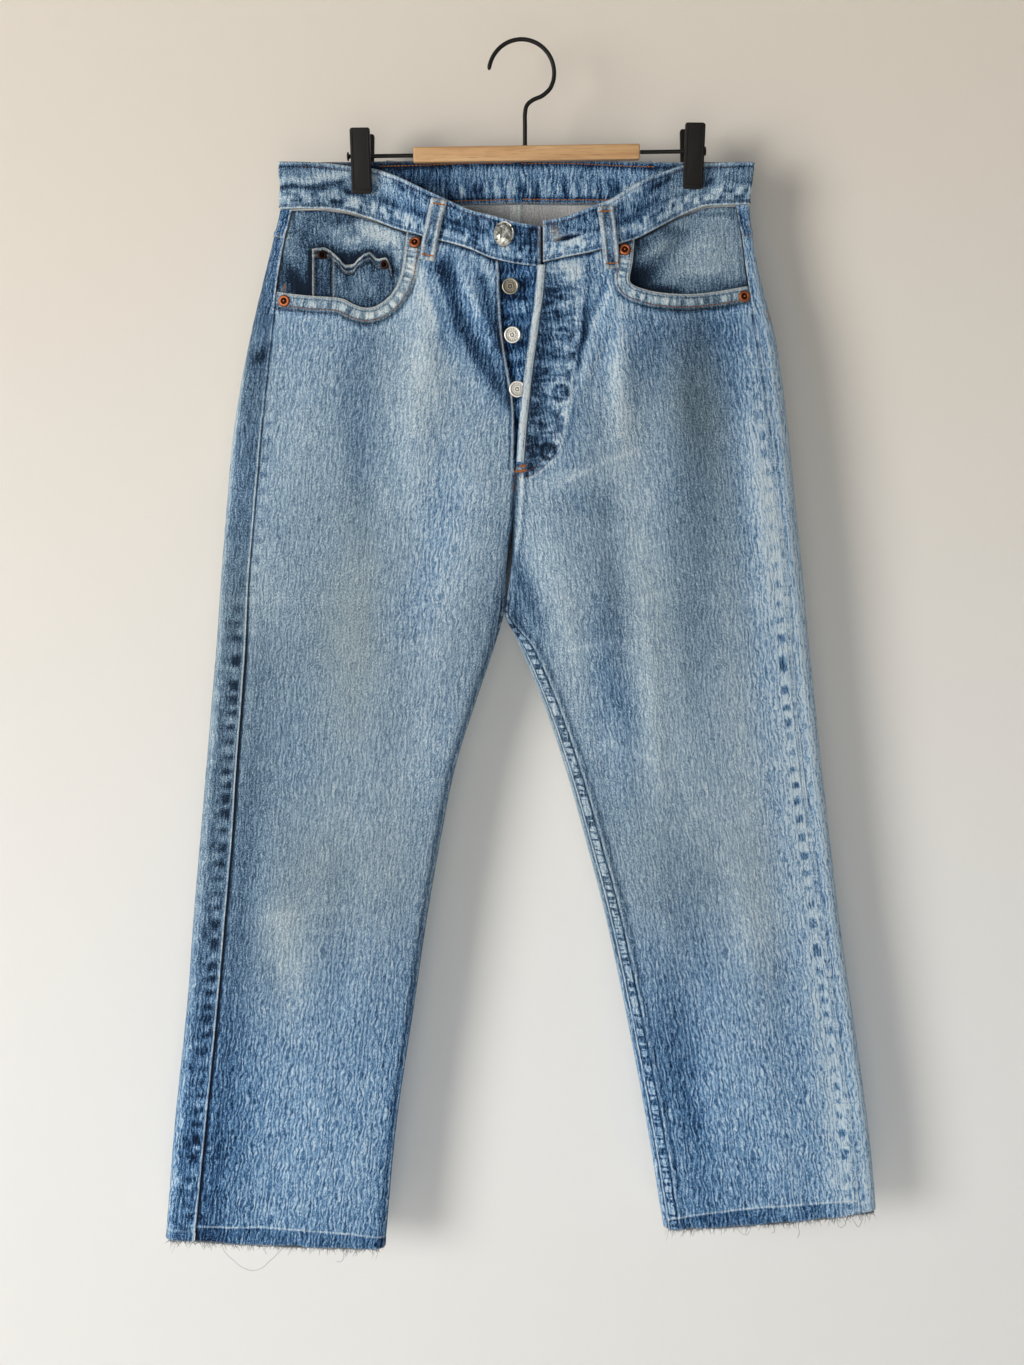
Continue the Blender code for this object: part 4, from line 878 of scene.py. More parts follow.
# thin worn creases: from, to, half width, strength
creaseLines = (
    (28, -514, 104, -500, 1.5, 0.9), (58, -590, 138, -614, 1.8, 0.7), (14, -378, 66, -352, 2.0, 1.2),
    (66, -352, 104, -338, 2.4, 0.9), (30, -350, 96, -322, 2.0, 0.5), (-66, -500, -120, -508, 1.8, 0.5),
    (-150, -742, -236, -750, 2.0, 0.6), (-140, -760, -214, -764, 1.6, 0.5),
    (150, -700, 212, -716, 1.8, 0.5), (96, -470, 150, -452, 1.8, 0.4), (-52, -236, -36, -300, 1.6, 0.8),
    (-66, -226, -58, -300, 1.6, 0.5),
)
backMarks = (
    (-120, -420, 50, 90, 0.1, 0.12), (110, -420, 50, 90, -0.1, 0.12), (-150, -640, 40, 120, 0.1, 0.08),
    (150, -660, 40, 120, -0.1, 0.08), (-200, -900, 40, 120, 0.1, -0.06), (210, -900, 40, 120, -0.1, -0.06),
    (-60, -330, 30, 50, 0, 0.10), (60, -330, 30, 50, 0, 0.10),
)


def marksAt(marks, x, z):
    total = np.zeros(np.shape(x))
    x, z = (x + 0.005 * lumps(x, z, 0.030, 6.1, 1.6) + 0.002 * lumps(x, z, 0.009, 2.1, 1.5),
            z + 0.010 * lumps(x, z, 0.035, 9.1, 1.2))
    for mx, mz, wide, tall, lean, amount in marks:
        dz = z - mz * mm
        dx = x - mx * mm - lean * dz
        total += amount * np.exp(-(dx / (wide * mm)) ** 2 - (dz / (tall * mm)) ** 2)
    return total


def strokesAt(lines, x, z):
    total = np.zeros(np.shape(x))
    x, z = x + 0.0016 * lumps(x, z, 0.008, 4.1, 1.6), z + 0.003 * lumps(x, z, 0.020, 7.3)
    for width, amount, *way in lines:
        best = np.full(np.shape(x), 9.0)
        for (ax, az), (bx, bz) in zip(way, way[1:]):
            ax, az, dx, dz = ax * mm, az * mm, (bx - ax) * mm, (bz - az) * mm
            held = np.clip(((x - ax) * dx + (z - az) * dz) / (dx * dx + dz * dz), 0.0, 1.0)
            best = np.minimum(best, np.hypot(x - ax - held * dx, z - az - held * dz))
        total += amount * bell(best, width * mm)
    return total


greyMarks = (
    (-139, -485, 40, 120, 0.1, 0.35), (-214, -775, 26, 60, 0.0, 0.22), (-75, -440, 26, 90, 0.15, -0.40),
    (150, -300, 40, 60, 0, 0.30), (-40, -245, 24, 60, -0.3, -0.30), (84, -240, 24, 60, 0, -0.35),
    (78, -540, 20, 90, -0.2, -0.25), (30, -300, 24, 80, 0, -0.30),
)


def greyAt(x, z):
    # the thighs have yellowed a little, the shins are clean blue
    band = ease(z, -0.95, -0.68) * (1 - ease(z, -0.30, -0.17) * 0.55)
    return np.clip(0.04 + 0.60 * band + 0.15 * lumps(x, z, 0.06, 4.4, 2.0) * band
                   + marksAt(greyMarks, x, z), 0, 1)


edgeSteps = (
    0, 0.0006, 0.0012, 0.0018, 0.0025, 0.0033, 0.0042, 0.0052, 0.0064, 0.0078, 0.0094, 0.0114, 0.014,
)
inseamSteps = (
    0, 0.0005, 0.0010, 0.0015, 0.0020, 0.0025, 0.0033, 0.0045, 0.0057, 0.0067, 0.0075, 0.0081, 0.0087,
    0.0093, 0.0099, 0.0106, 0.0113, 0.0120, 0.0128, 0.0138, 0.0152,
)
frontDowns = np.concatenate([np.linspace(0, 0.03, 12), np.linspace(0.03, 1, 134)[1:],
                             np.linspace(1, 1.962, 222)[1:], np.linspace(1.962, 2, 36)[1:]])
backDowns = np.concatenate([np.linspace(0, 1, 76), np.linspace(1, 1.965, 128)[1:],
                            np.linspace(1.965, 2, 14)[1:]])


def seamWork(side, d, z, onFront):
    # relief and wear beside the side seam: a worn cord on the back panel's edge, a dark groove before it
    pitch = 0.0142 if side == "right" else 0.0160
    flat = 0 * z
    beat = (np.sin(2 * np.pi * (z / pitch + 0.5 * lumps(z, flat, 0.05, 2.0)))
            + 0.35 * lumps(z, d, 0.004, 4.2))
    uneven = 0.75 + 0.35 * lumps(z, flat, 0.026, 3.7)
    frayed = 0.5 + 0.5 * lumps(z, flat, 0.009, 5.0) + 0.3 * lumps(z, flat, 0.0035, 7.0)
    squares = ease(beat, 0.0, 0.45) * uneven
    low = past(-z, 440, 540)
    if onFront:
        if side == "right":
            groove = bell(d - 0.0005, 0.0008 + 0.0012 * low)
            early = past(-z, 290, 340) * (1 - past(-z, 420, 480))
            tucks = squares * stripe(d, 6, 3.2) * early
            wear = -(0.45 + 0.20 * low) * groove - 0.22 * tucks + 0.05 * stripe(d, 6, 3) * (1 - squares)
            wear -= ((0.14 * stripe(d, 12, 17) + 0.04 * stripe(d, 30, 30)
                      + 0.08 * stripe(d, 9, 12) * past(-z, 560, 660)) * low)
            return -(0.0005 + 0.0005 * low) * groove - 0.0004 * tucks, wear, 0.0 * d
        groove = stripe(d, 1, 1)
        bars = (squares * past(d, 3.6, 4.6) * (1 - past(d, 9.6, 11.2)) * past(-z, 260, 340)
                * (0.55 + 0.45 * low))
        wear = (-0.20 * groove - 0.44 * bars
                + (0.18 * stripe(d, 5, 17) + 0.05) * past(-z, 280, 400) * (1 - past(d, 20, 50))
                + 0.09 * stripe(d, 7.2, 4) * (1 - squares) + 0.05 * stripe(d, 3, 1.2))
        return -0.0005 * groove - 0.0006 * bars, wear, 0.16 * stripe(d, 2.6, 0.8) * frayed
    starts = np.maximum(past(-z, 290, 350), 1 - past(-z, 200, 220))
    cord = stripe(d, 0.6, 0.7) * (starts if side == "right" else 1.0)
    relief = 0.0006 * cord
    if side == "left":
        return relief, 0.10 * cord - 0.12 * stripe(d, 3, 1) + 0.12 * past(d, 4, 10), 0.24 * cord * frayed
    bars = squares * past(d, 3.4, 4.6) * (1 - past(d, 10.8, 12.2)) * low
    wisps = lumps(z, d, 0.0060, 8.4, 0.7)
    strip = past(d, 2, 4) * (1 - past(d, 28, 42))
    wear = (0.14 * cord - 0.44 * bars + 0.07 * stripe(d, 7.6, 4) * (1 - squares) * low
            - strip * (0.21 - 0.04 * low) * (1 - past(d, 19, 23)))
    wear += ((0.05 + 0.09 * low) * strip * wisps - 0.18 * stripe(d, 2.2, 0.7)
             + (0.05 + 0.10 * (1 - past(-z, 330, 400))) * past(d, 20.5, 24))
    wear -= 0.12 * ease(beat, 0.2, 0.7) * stripe(d, 15.5, 2) * low
    return relief - 0.0007 * bars - 0.0002 * strip * wisps, wear, 0.46 * cord * frayed


def inseamWork(d, z, onFront):
    # the felled inseam: two worn edges with a ladder of pressed bars between them
    leg = 1 - ease(z, crotch, crotch + 0.03)
    flat = 0 * z
    frayed = 0.55 + 0.45 * lumps(z, flat, 0.011, 3.0)
    if onFront:
        cord = stripe(d, 11.3, 1.3)
        relief = (0.0006 * (1 - past(d, 12, 14)) - 0.0006 * stripe(d, 9, 1) + 0.0006 * cord
                  - 0.0002 * stripe(d, 1.8, 0.6))
        wear = (0.24 * stripe(d, 0.4, 0.6) - 0.34 * stripe(d, 1.7, 0.6) - 0.46 * stripe(d, 9, 0.9)
                + 0.10 * cord)
        wear += -0.20 * stripe(d, 14.6, 2.2) + 0.06 * stripe(d, 5.2, 3)
        return relief * leg, wear * leg, (0.85 * stripe(d, 0.4, 0.6) * frayed + 0.04 * cord) * leg
    groove = stripe(d, 1.2, 1.4) * leg
    return -0.0006 * groove, -0.35 * groove, 0.0 * d


def bothSeams(side, fromSeam, fromInseam, z, onFront):
    works = seamWork(side, fromSeam, z, onFront), inseamWork(fromInseam, z, onFront)
    return [a + b for a, b in zip(*works)]


placketEdge = np.array(((60, -172), (58.5, -211), (55.5, -250), (49.5, -282), (44.5, -314), (40, -336),
                        (31, -353), (18, -366), (2, -373))) * mm


def placketX(z):
    return np.interp(z, placketEdge[::-1, 1], placketEdge[::-1, 0])


placketInside = np.vstack([jStitch, ((-0.03, -0.364), (-0.03, -0.172))])


def frontLooks(side, x, z, fromSeam, fromInseam, toHem, fine):
    # relief, tint (fading together with painted light and shade), cream and marbling at places on a front
    # panel. fine is True on the close-meshed patches
    flat = 0 * x
    relief, wear, cream = bothSeams(side, fromSeam, fromInseam, z, True)
    # the doubled hem of the pocket opening: worn edge, needle holes, puckers and a row of brown thread
    to, run = alongCurve(x, z, pocketLine[side])
    hem = 1 - past(to, 10.4, 11.6)
    pucker = 1.1 * lumps(run, flat, 0.0020, 3.3) + lumps(run, flat, 0.0065, 8.3) * 0.25
    # painted shadow just below the doubled hem's edge
    wear += -0.40 * stripe(to, 12.8, 1.5) + 0.05 * stripe(to, 18, 4)
    if fine:
        holes = 0.5 + 0.5 * np.sin(2 * np.pi * run / 0.0024)
        between = stripe(to, 6.2, 3)
        relief += (hem * 0.0008 - 0.0012 * stripe(to, 0, 0.6) - 0.0004 * stripe(to, 2.6, 0.6)
                   + between * pucker * 0.0007)
        relief -= 0.0003 * stripe(to, 9.6, 0.6)
        wear += (0.03 * hem - 0.40 * holes * stripe(to, 2.6, 0.6) + between * pucker * 0.36
                 - 0.22 * stripe(to, 10, 1))
        wear += 0.06 * between + 0.06 * stripe(to, 0.8, 0.8)
        cream += 0.95 * stripe(to, 0.1, 1) * (0.8 + 0.2 * pucker)
    else:
        relief -= 0.0007 * (1 - past(to, 12.2, 13.8))
        wear -= 0.30 * stripe(to, 0, 4)
    relief += stripe(to, 0, 10) * 0.0016 * past(z, -250, -200)
    onPlacket = flat
    if side == "left":
        edge = flyEdge["left"](z) * mm
        fade = ease(z, flyEnd - 0.015, flyEnd + 0.05)
        relief += 0.0044 * bell(x - edge, 0.016) * fade
        to, run = alongCurve(x, z, jStitch)
        s = np.where(insideOutline(x, z, placketInside), -to, to)
        relief += 0.0007 * stripe(s, 1.6, 2.2)
        # the J ridge is worn lighter, with painted shadow beside it on the side away from the light
        wear += 0.15 * stripe(s, 1.4, 1.1) - 0.20 * stripe(s, 6, 2.6) * past(z, -345, -300)
        onPlacket = (1 - past(s, -4, 2)) * past(z, -372, -362)
        if fine:
            ladder = lumps(run, flat, 0.0034, 5.3)
            dashes = 0.5 + 0.5 * np.sin(2 * np.pi * run / 0.0030)
            wear += (0.42 * ladder * stripe(s, -2.2, 2.2) + 0.06 * stripe(s, -2.2, 2.2)
                     - 0.26 * stripe(s, -0.2, 0.6) * dashes)
            wear += (-0.24 * stripe(s, -4.8, 0.6) * dashes
                     + (0.20 * lumps(x, z, 0.0105, 2.9, 0.24) + 0.16 * lumps(x, z, 0.005, 5.9, 0.4))
                     * onPlacket)
            relief += (-0.0003 * (stripe(s, -0.2, 0.6) + stripe(s, -4.8, 0.6))
                       + 0.0004 * ladder * stripe(s, -2.2, 2.4))
            relief += 0.0003 * lumps(x, z, 0.0085, 2.9, 0.24) * onPlacket
            # buttons pressed through the placket
            for bx, bz, deep in ((36.5, -244, 0.7), (33, -292, 1.0), (22.5, -341, 1.25)):
                r = np.hypot(x - bx * mm, z - bz * mm)
                wear += (-deep * (0.26 * stripe(r, 6.2, 2) + 0.20 * stripe(r, 0, 5))
                         + deep * 0.12 * stripe(r, 9.5, 1.8))
                relief += deep * 0.0005 * stripe(r, 0, 6)
        else:
            relief -= 0.0006 * ease(placketX(z) - x, 0.0008, 0.0025) * (z > -0.371)
        fromEdge = x - edge - flyFoldWide
        wear += (-0.20 * onPlacket + onPlacket
                 * (0.14 * past(fromEdge, 10, 24) - 0.18 * stripe(fromEdge, 4, 7)))
        wear += 0.42 * onPlacket * stripe(z, -190, 11)
    else:
        closed = z > flyEnd
        wear -= (0.34 * stripe(fromInseam, 0, 0.9) + 0.34 * stripe(fromInseam, 3.6, 1.4)) * closed
        relief += 0.0005 * stripe(fromInseam, 1.6, 1.4) * closed
        cream += 0.55 * stripe(fromInseam, 1.6, 0.6) * closed
    # where the fronts close below the fly, with painted shade down the cleft between them
    below = ease(z, crotch - 0.02, crotch + 0.02) * (1 - ease(z, flyEnd - 0.006, flyEnd))
    middle = stripe(fromInseam, 0, 2.8) * below
    relief -= 0.0010 * middle
    wear += (-0.50 * middle + (0.20 * stripe(fromInseam, 5.5, 2) - 0.20 * stripe(fromInseam, 9, 1.6))
             * below * (side == "left") * past(z, -445, -415))
    # the join under the waistband is pulled into small puckers, their tops lighter and hollows darker,
    # partly fading and partly painted light and shade, with a painted shadow line under the band's edge
    way = wayAt(side, x, z)
    top = frontHeight(side, way, flat) - z
    near = stripe(top, 0, 10)
    tuck = lumps(x, flat, 0.005, 6.6) * 0.6 + lumps(x, flat, 0.011, 1.6) * 0.4
    relief += near * tuck * 0.0006 - 0.0004 * stripe(top, 0, 1.5)
    wear += near * tuck * 0.26 - 0.45 * stripe(top, 0, 2.2)
    # the cut hem: a thin pale line where thread was pulled out, then the frayed edge
    flare = stripe(toHem, 0, 12)
    relief += flare * 0.0012 * lumps(x, flat, 0.012, 9.9) - 0.0003 * stripe(toHem, 9.5, 1)
    lineAt = 0.0098 + 0.0072 * np.sin(np.pi * way) + 0.0012 * lumps(x, flat, 0.05, 5.7)
    wear += (-0.16 * (1 - ease(toHem - lineAt, -0.002, 0.0005)) - 0.05 * stripe(toHem, 0, 50)
             + 0.34 * bell(toHem - lineAt, 0.0009) * (0.7 + 0.5 * lumps(x, flat, 0.005, 6.1)))
    cream += (0.20 * stripe(toHem, 0, 1) + 0.42 * bell(toHem - lineAt, 0.0007)
              * (0.8 + 0.4 * lumps(x, flat, 0.004, 3.3)))
    # small relief turns to tint: the tops are lighter and the hollows darker, partly as fading and partly
    # as painted light and shade
    wear = (0.60 + wear + marksAt(frontMarks, x, z) + strokesAt(strokes, x, z)
            + 0.04 * lumps(x, z, 0.05, 1.2, 2.5))
    wear += 30 * foldHeight(smallFolds["front"], x, z) + 110 * foldHeight(creaseLines, x, z)
    # painted shade down the inner edge of the right lower leg, which turns away from the light
    if side == "right":
        wear -= 0.12 * stripe(fromInseam, 0, 22) * (1 - past(z, -860, -660))
    marble = (0.02 + 0.14 * onPlacket + 0.04 * past(z, -300, -200) + 0.03 * stripe(toHem, 0, 20)
              + 0.10 * near)
    return relief, wear, cream, marble


def makeFrontPanel(side):
    grid = frontPlaces(side, frontDowns, inseamSteps if side == "left" else edgeSteps, edgeSteps, 72)
    x, z, front = grid["x"], grid["z"], grid["front"]
    outline = np.vstack([pocketLine[side], [[pocketLine[side][-1][0], -0.10],
                                            [pocketLine[side][0][0], -0.10]]])
    inside = insideOutline(x, z, outline)
    outside = np.pad(~inside, 1, mode="edge")
    touching = np.zeros(inside.shape, bool)
    for i in range(3):
        for j in range(3):
            touching |= outside[i:i + inside.shape[0], j:j + inside.shape[1]]
    moved = inside & touching
    line = pocketLine[side]
    for i, j in np.argwhere(moved):
        best = np.argmin((line[:, 0] - x[i, j]) ** 2 + (line[:, 1] - z[i, j]) ** 2)
        x[i, j], z[i, j] = line[best]
    keep = squaresOf(~inside | moved)
    toHem = (2 - grid["down"]) * (crotch - hemInner[side])
    relief, wear, cream, marble = frontLooks(side, x, z, grid["fromSeam"], grid["fromInseam"], toHem, False)
    points, normals = raised(skinPoints(side, front, x, z), relief, -1)
    fromInseam = grid["fromInseam"]
    ladder = (past(fromInseam, 1.8, 2.8) * (1 - past(fromInseam, 7.4, 8.4))
              * (1 - ease(z, crotch, crotch + 0.03)) * front)
    grey = greyAt(x, z) * (1 - 0.70 * (1 - past(grid["fromSeam"], 16, 55)) * (side == "left"))
    obj = clothWall("front_" + side, points, normals, panelThick, (grid["fromSeam"], z), wear, keep, grey,
                    marble, cream, ladder=ladder)
    keepPiece("front_" + side, obj)


def makePatch(name, side, x, z, keep):
    # the same cloth meshed more closely, a hair above the panel, where sewing needs finer relief
    fromSeam = np.abs(x - seamX(side, z)) - gap / 2
    edge = flyEdge[side](z) * mm + (flyFoldWide if side == "left" else 0.0)
    fromInseam = np.where(z > flyEnd, np.abs(x - edge), np.abs(x - innerX(side, z)))
    relief, wear, cream, marble = frontLooks(side, x, z, fromSeam, fromInseam, 0 * x + 0.5, True)
    points, normals = raised(skinPoints(side, np.ones(x.shape, bool), x, z), relief + 0.00012, -1)
    grey = np.clip(greyAt(x, z) + (0.35 if "hem" in name else 0.0), 0, 1)
    obj = clothWall(name, points, normals, patchThick, (fromSeam, z), wear, keep, grey, marble, cream)
    keepPiece(name, obj, ())


def makePocketHem(side):
    line = curveThrough(pocketLine[side], 0.0008)
    across = offsetLine(line, -outwardX[side]) - line
    steps = np.concatenate([np.linspace(-0.0004, 0.0040, 12), np.linspace(0.0040, 0.0136, 18)[1:]])
    x = line[:, 0] + across[:, 0] * steps[:, None]
    z = line[:, 1] + across[:, 1] * steps[:, None]
    onPanel = z < frontHeight(side, wayAt(side, x, z), 0 * x) + 0.001
    keep = squaresOf(onPanel & (np.abs(x) < np.abs(seamX(side, z)) - 0.0006))
    makePatch("pocket_hem_" + side, side, x, z, keep)


def makePlacket():
    z = np.linspace(waistSeamCentre - 0.001, -0.3695, 200)[:, None]
    across = np.linspace(0, 1, 60)[None]
    start = (np.where(z > flyEnd, flyEdge["left"](z) * mm + 0.0074 * ease(z, flyEnd, flyEnd + 0.0065),
                      innerX("left", z)) + 0.0006)
    x = start + (placketX(z) - start) * across
    onPanel = z < frontHeight("left", wayAt("left", x, z), 0 * x) + 0.001
    makePatch("fly_placket", "left", x, np.broadcast_to(z, x.shape), squaresOf(onPanel))


def makeBackPanel(side):
    grid = backPlaces(side, backDowns, edgeSteps, 56, backHeight)
    x, z, front = grid["x"], grid["z"], grid["front"]
    relief, wear, cream = bothSeams(side, grid["fromSeam"], grid["fromInseam"], z, False)
    toHem = (2 - grid["down"]) * (crotch - hemInner[side])
    relief += stripe(toHem, 0, 12) * 0.0010 * lumps(x, z * 0, 0.012, 4.9)
    wear += -0.05 * (1 - past(toHem, 8, 12)) + 0.24 * stripe(toHem, 10, 0.9)
    cream += 0.35 * stripe(toHem, 0, 1.2) + 0.20 * stripe(toHem, 10, 0.7)
    relief += 0.0007 * stripe(grid["fromInseam"], 4, 4) * (z > crotch)
    onStrip = front & (grid["fromSeam"] < 0.05)
    # the left leg's outer strip, which faces away from the lamps, gets painted light; the strip takes the
    # front's marks with their painted light and shade, and the back's small folds get lighter tops and
    # darker hollows, partly fading and partly painted light and shade
    seen = marksAt(frontMarks, x, z) * onStrip + marksAt(backMarks, x, z) * ~front
    wear = (0.56 + onStrip * (0.16 if side == "left" else 0.0) + wear + seen
            + 0.04 * lumps(x, z, 0.05, 7.2, 2.5) + 30 * foldHeight(smallFolds["back"], x, z) * ~front)
    points, normals = raised(skinPoints(side, front, x, z), relief, 1)
    grey = greyAt(x, z) * (1 - 0.8 * onStrip * (side == "left"))
    obj = clothWall("back_" + side, points, normals, panelThick, (grid["fromSeam"], z), wear, None, grey,
                    0.03, cream)
    keepPiece("back_" + side, obj)


def makeYoke(side):
    grid = backPlaces(side, np.linspace(0, 1, 22), edgeSteps, 50, yokeHeight)
    x, z, front = grid["x"], grid["z"], grid["front"]
    relief, wear, cream = seamWork(side, grid["fromSeam"], z, False)
    toFoot = (1 - grid["down"]) * np.abs(yokeHeight(side, 0.5, 1.0) - yokeHeight(side, 0.5, 0.0))
    relief += (0.0008 * (1 - past(toFoot, 9, 11))
               - 0.0004 * (stripe(toFoot, 2, 0.8) + stripe(toFoot, 8.5, 0.8)))
    cream += 0.5 * stripe(toFoot, 0, 1.4)
    wear = 0.54 + wear + 0.12 * lumps(x, z, 0.012, 3.2) + 0.08 * stripe(toFoot, 5, 4)
    points, normals = raised(skinPoints(side, front, x, z), relief, 1)
    obj = clothWall("yoke_" + side, points, normals, panelThick, (grid["fromSeam"], z), wear, None, 0.15,
                    0.22, cream)
    keepPiece("yoke_" + side, obj)


for side in ("right", "left"):
    makeFrontPanel(side)
    makeBackPanel(side)
    makeYoke(side)
    makePocketHem(side)
makePlacket()
print("panels ready")


def bandEdges(side, front, way):
    toTop = dipCurves["top" + side](way)
    top = np.where(front, bandTop["side"] + (bandTop["front"] - bandTop["side"]) * toTop,
                   bandTop["side"] + (bandTop["back"] - bandTop["side"]) * ease(way, 0.3, 0.85))
    seam = dipCurves["seam" + side](way)
    foot = np.where(front, waistSeam[side] + (waistSeamCentre - waistSeam[side]) * seam,
                    waistSeam[side] + (waistSeamBack - waistSeam[side]) * way) + 0.0008
    return top, foot


def halfBand(side, frontEnd, share):
    # columns from the front end round the fold to the middle of the back, rows from the foot up
    inner, fold = innerX(side, -0.12), foldX(side, -0.12)
    end = 1 - (frontEnd - inner) * outwardX[side] / abs(fold - inner)
    bends = 0.045 * np.linspace(1, 0, 13) ** 1.8
    way = np.concatenate([np.linspace(end, 0.045, 150)[:-1], bends, bends[::-1][1:],
                          np.linspace(0.045, 1.0, 110)[1:]])
    front = np.concatenate([np.ones(149 + 13, bool), np.zeros(12 + 109, bool)])
    way, share = np.meshgrid(way, share)
    front = np.repeat(front[None], len(share), axis=0)
    top, foot = bandEdges(side, front, way)
    z = foot + (top - foot) * share
    x = xAt(side, way, z)
    return skinPoints(side, front, x, z), x, z, front, z - foot, top - z


# the creases the clips pull into the band
bandFolds = (
    (-205, -127, -156, -112, 3.5, 1.3), (-205, -117, -158, -104, 4, -1.0), (-204, -108, -160, -101, 3, 0.6),
    (-118, -112, -74, -142, 4, 1.0), (-122, -122, -84, -150, 4, -0.9), (-112, -106, -66, -136, 3.5, -0.6),
    (-60, -150, -24, -166, 4, 0.7), (126, -124, 100, -146, 4, 0.9), (128, -112, 92, -132, 3.5, -0.8),
    (160, -112, 192, -122, 4, 0.8), (158, -122, 190, -130, 3.5, -0.7), (60, -150, 44, -168, 4, 0.6),
    (30, -158, 52, -176, 3.5, -0.5),
)
# where those creases have faded, with painted light on their ridges and painted shade beside them
bandStrokes = (
    (3.6, 0.32, (-209, -117), (-196, -113.5), (-168, -110), (-146, -108.5)),
    (1.8, -0.30, (-209, -122), (-190, -118), (-170, -115.5), (-150, -114)),
    (3.0, -0.10, (-200, -102), (-180, -103)), (3.4, 0.18, (-128, -112), (-114, -121)),
    (2.0, -0.20, (-108, -114), (-96, -121)), (2.4, -0.20, (-96, -136), (-86, -142)),
    (2.2, -0.24, (-152, -124), (-142, -125)), (7.0, -0.20, (-62, -152), (-43, -160), (-27, -172)),
    (4.4, 0.54, (76, -136), (87, -127), (98, -118)), (2.4, -0.34, (98, -137), (114, -130)),
    (2.4, -0.34, (110, -121), (124, -113.5)), (2.2, -0.36, (148, -117), (162, -112)),
    (3.4, 0.24, (148, -124), (168, -119)), (3.6, 0.20, (106, -108), (126, -102.5)),
    (7.0, 0.24, (28, -174), (50, -166)), (2.0, -0.10, (72, -146), (84, -141)),
    (5.0, -0.28, (-168, -131), (-150, -130)), (3.0, 0.20, (-106, -143), (-90, -148)),
    (3.2, 0.20, (-128, -105), (-96, -114)), (3.0, 0.24, (50, -134), (66, -134)),
)


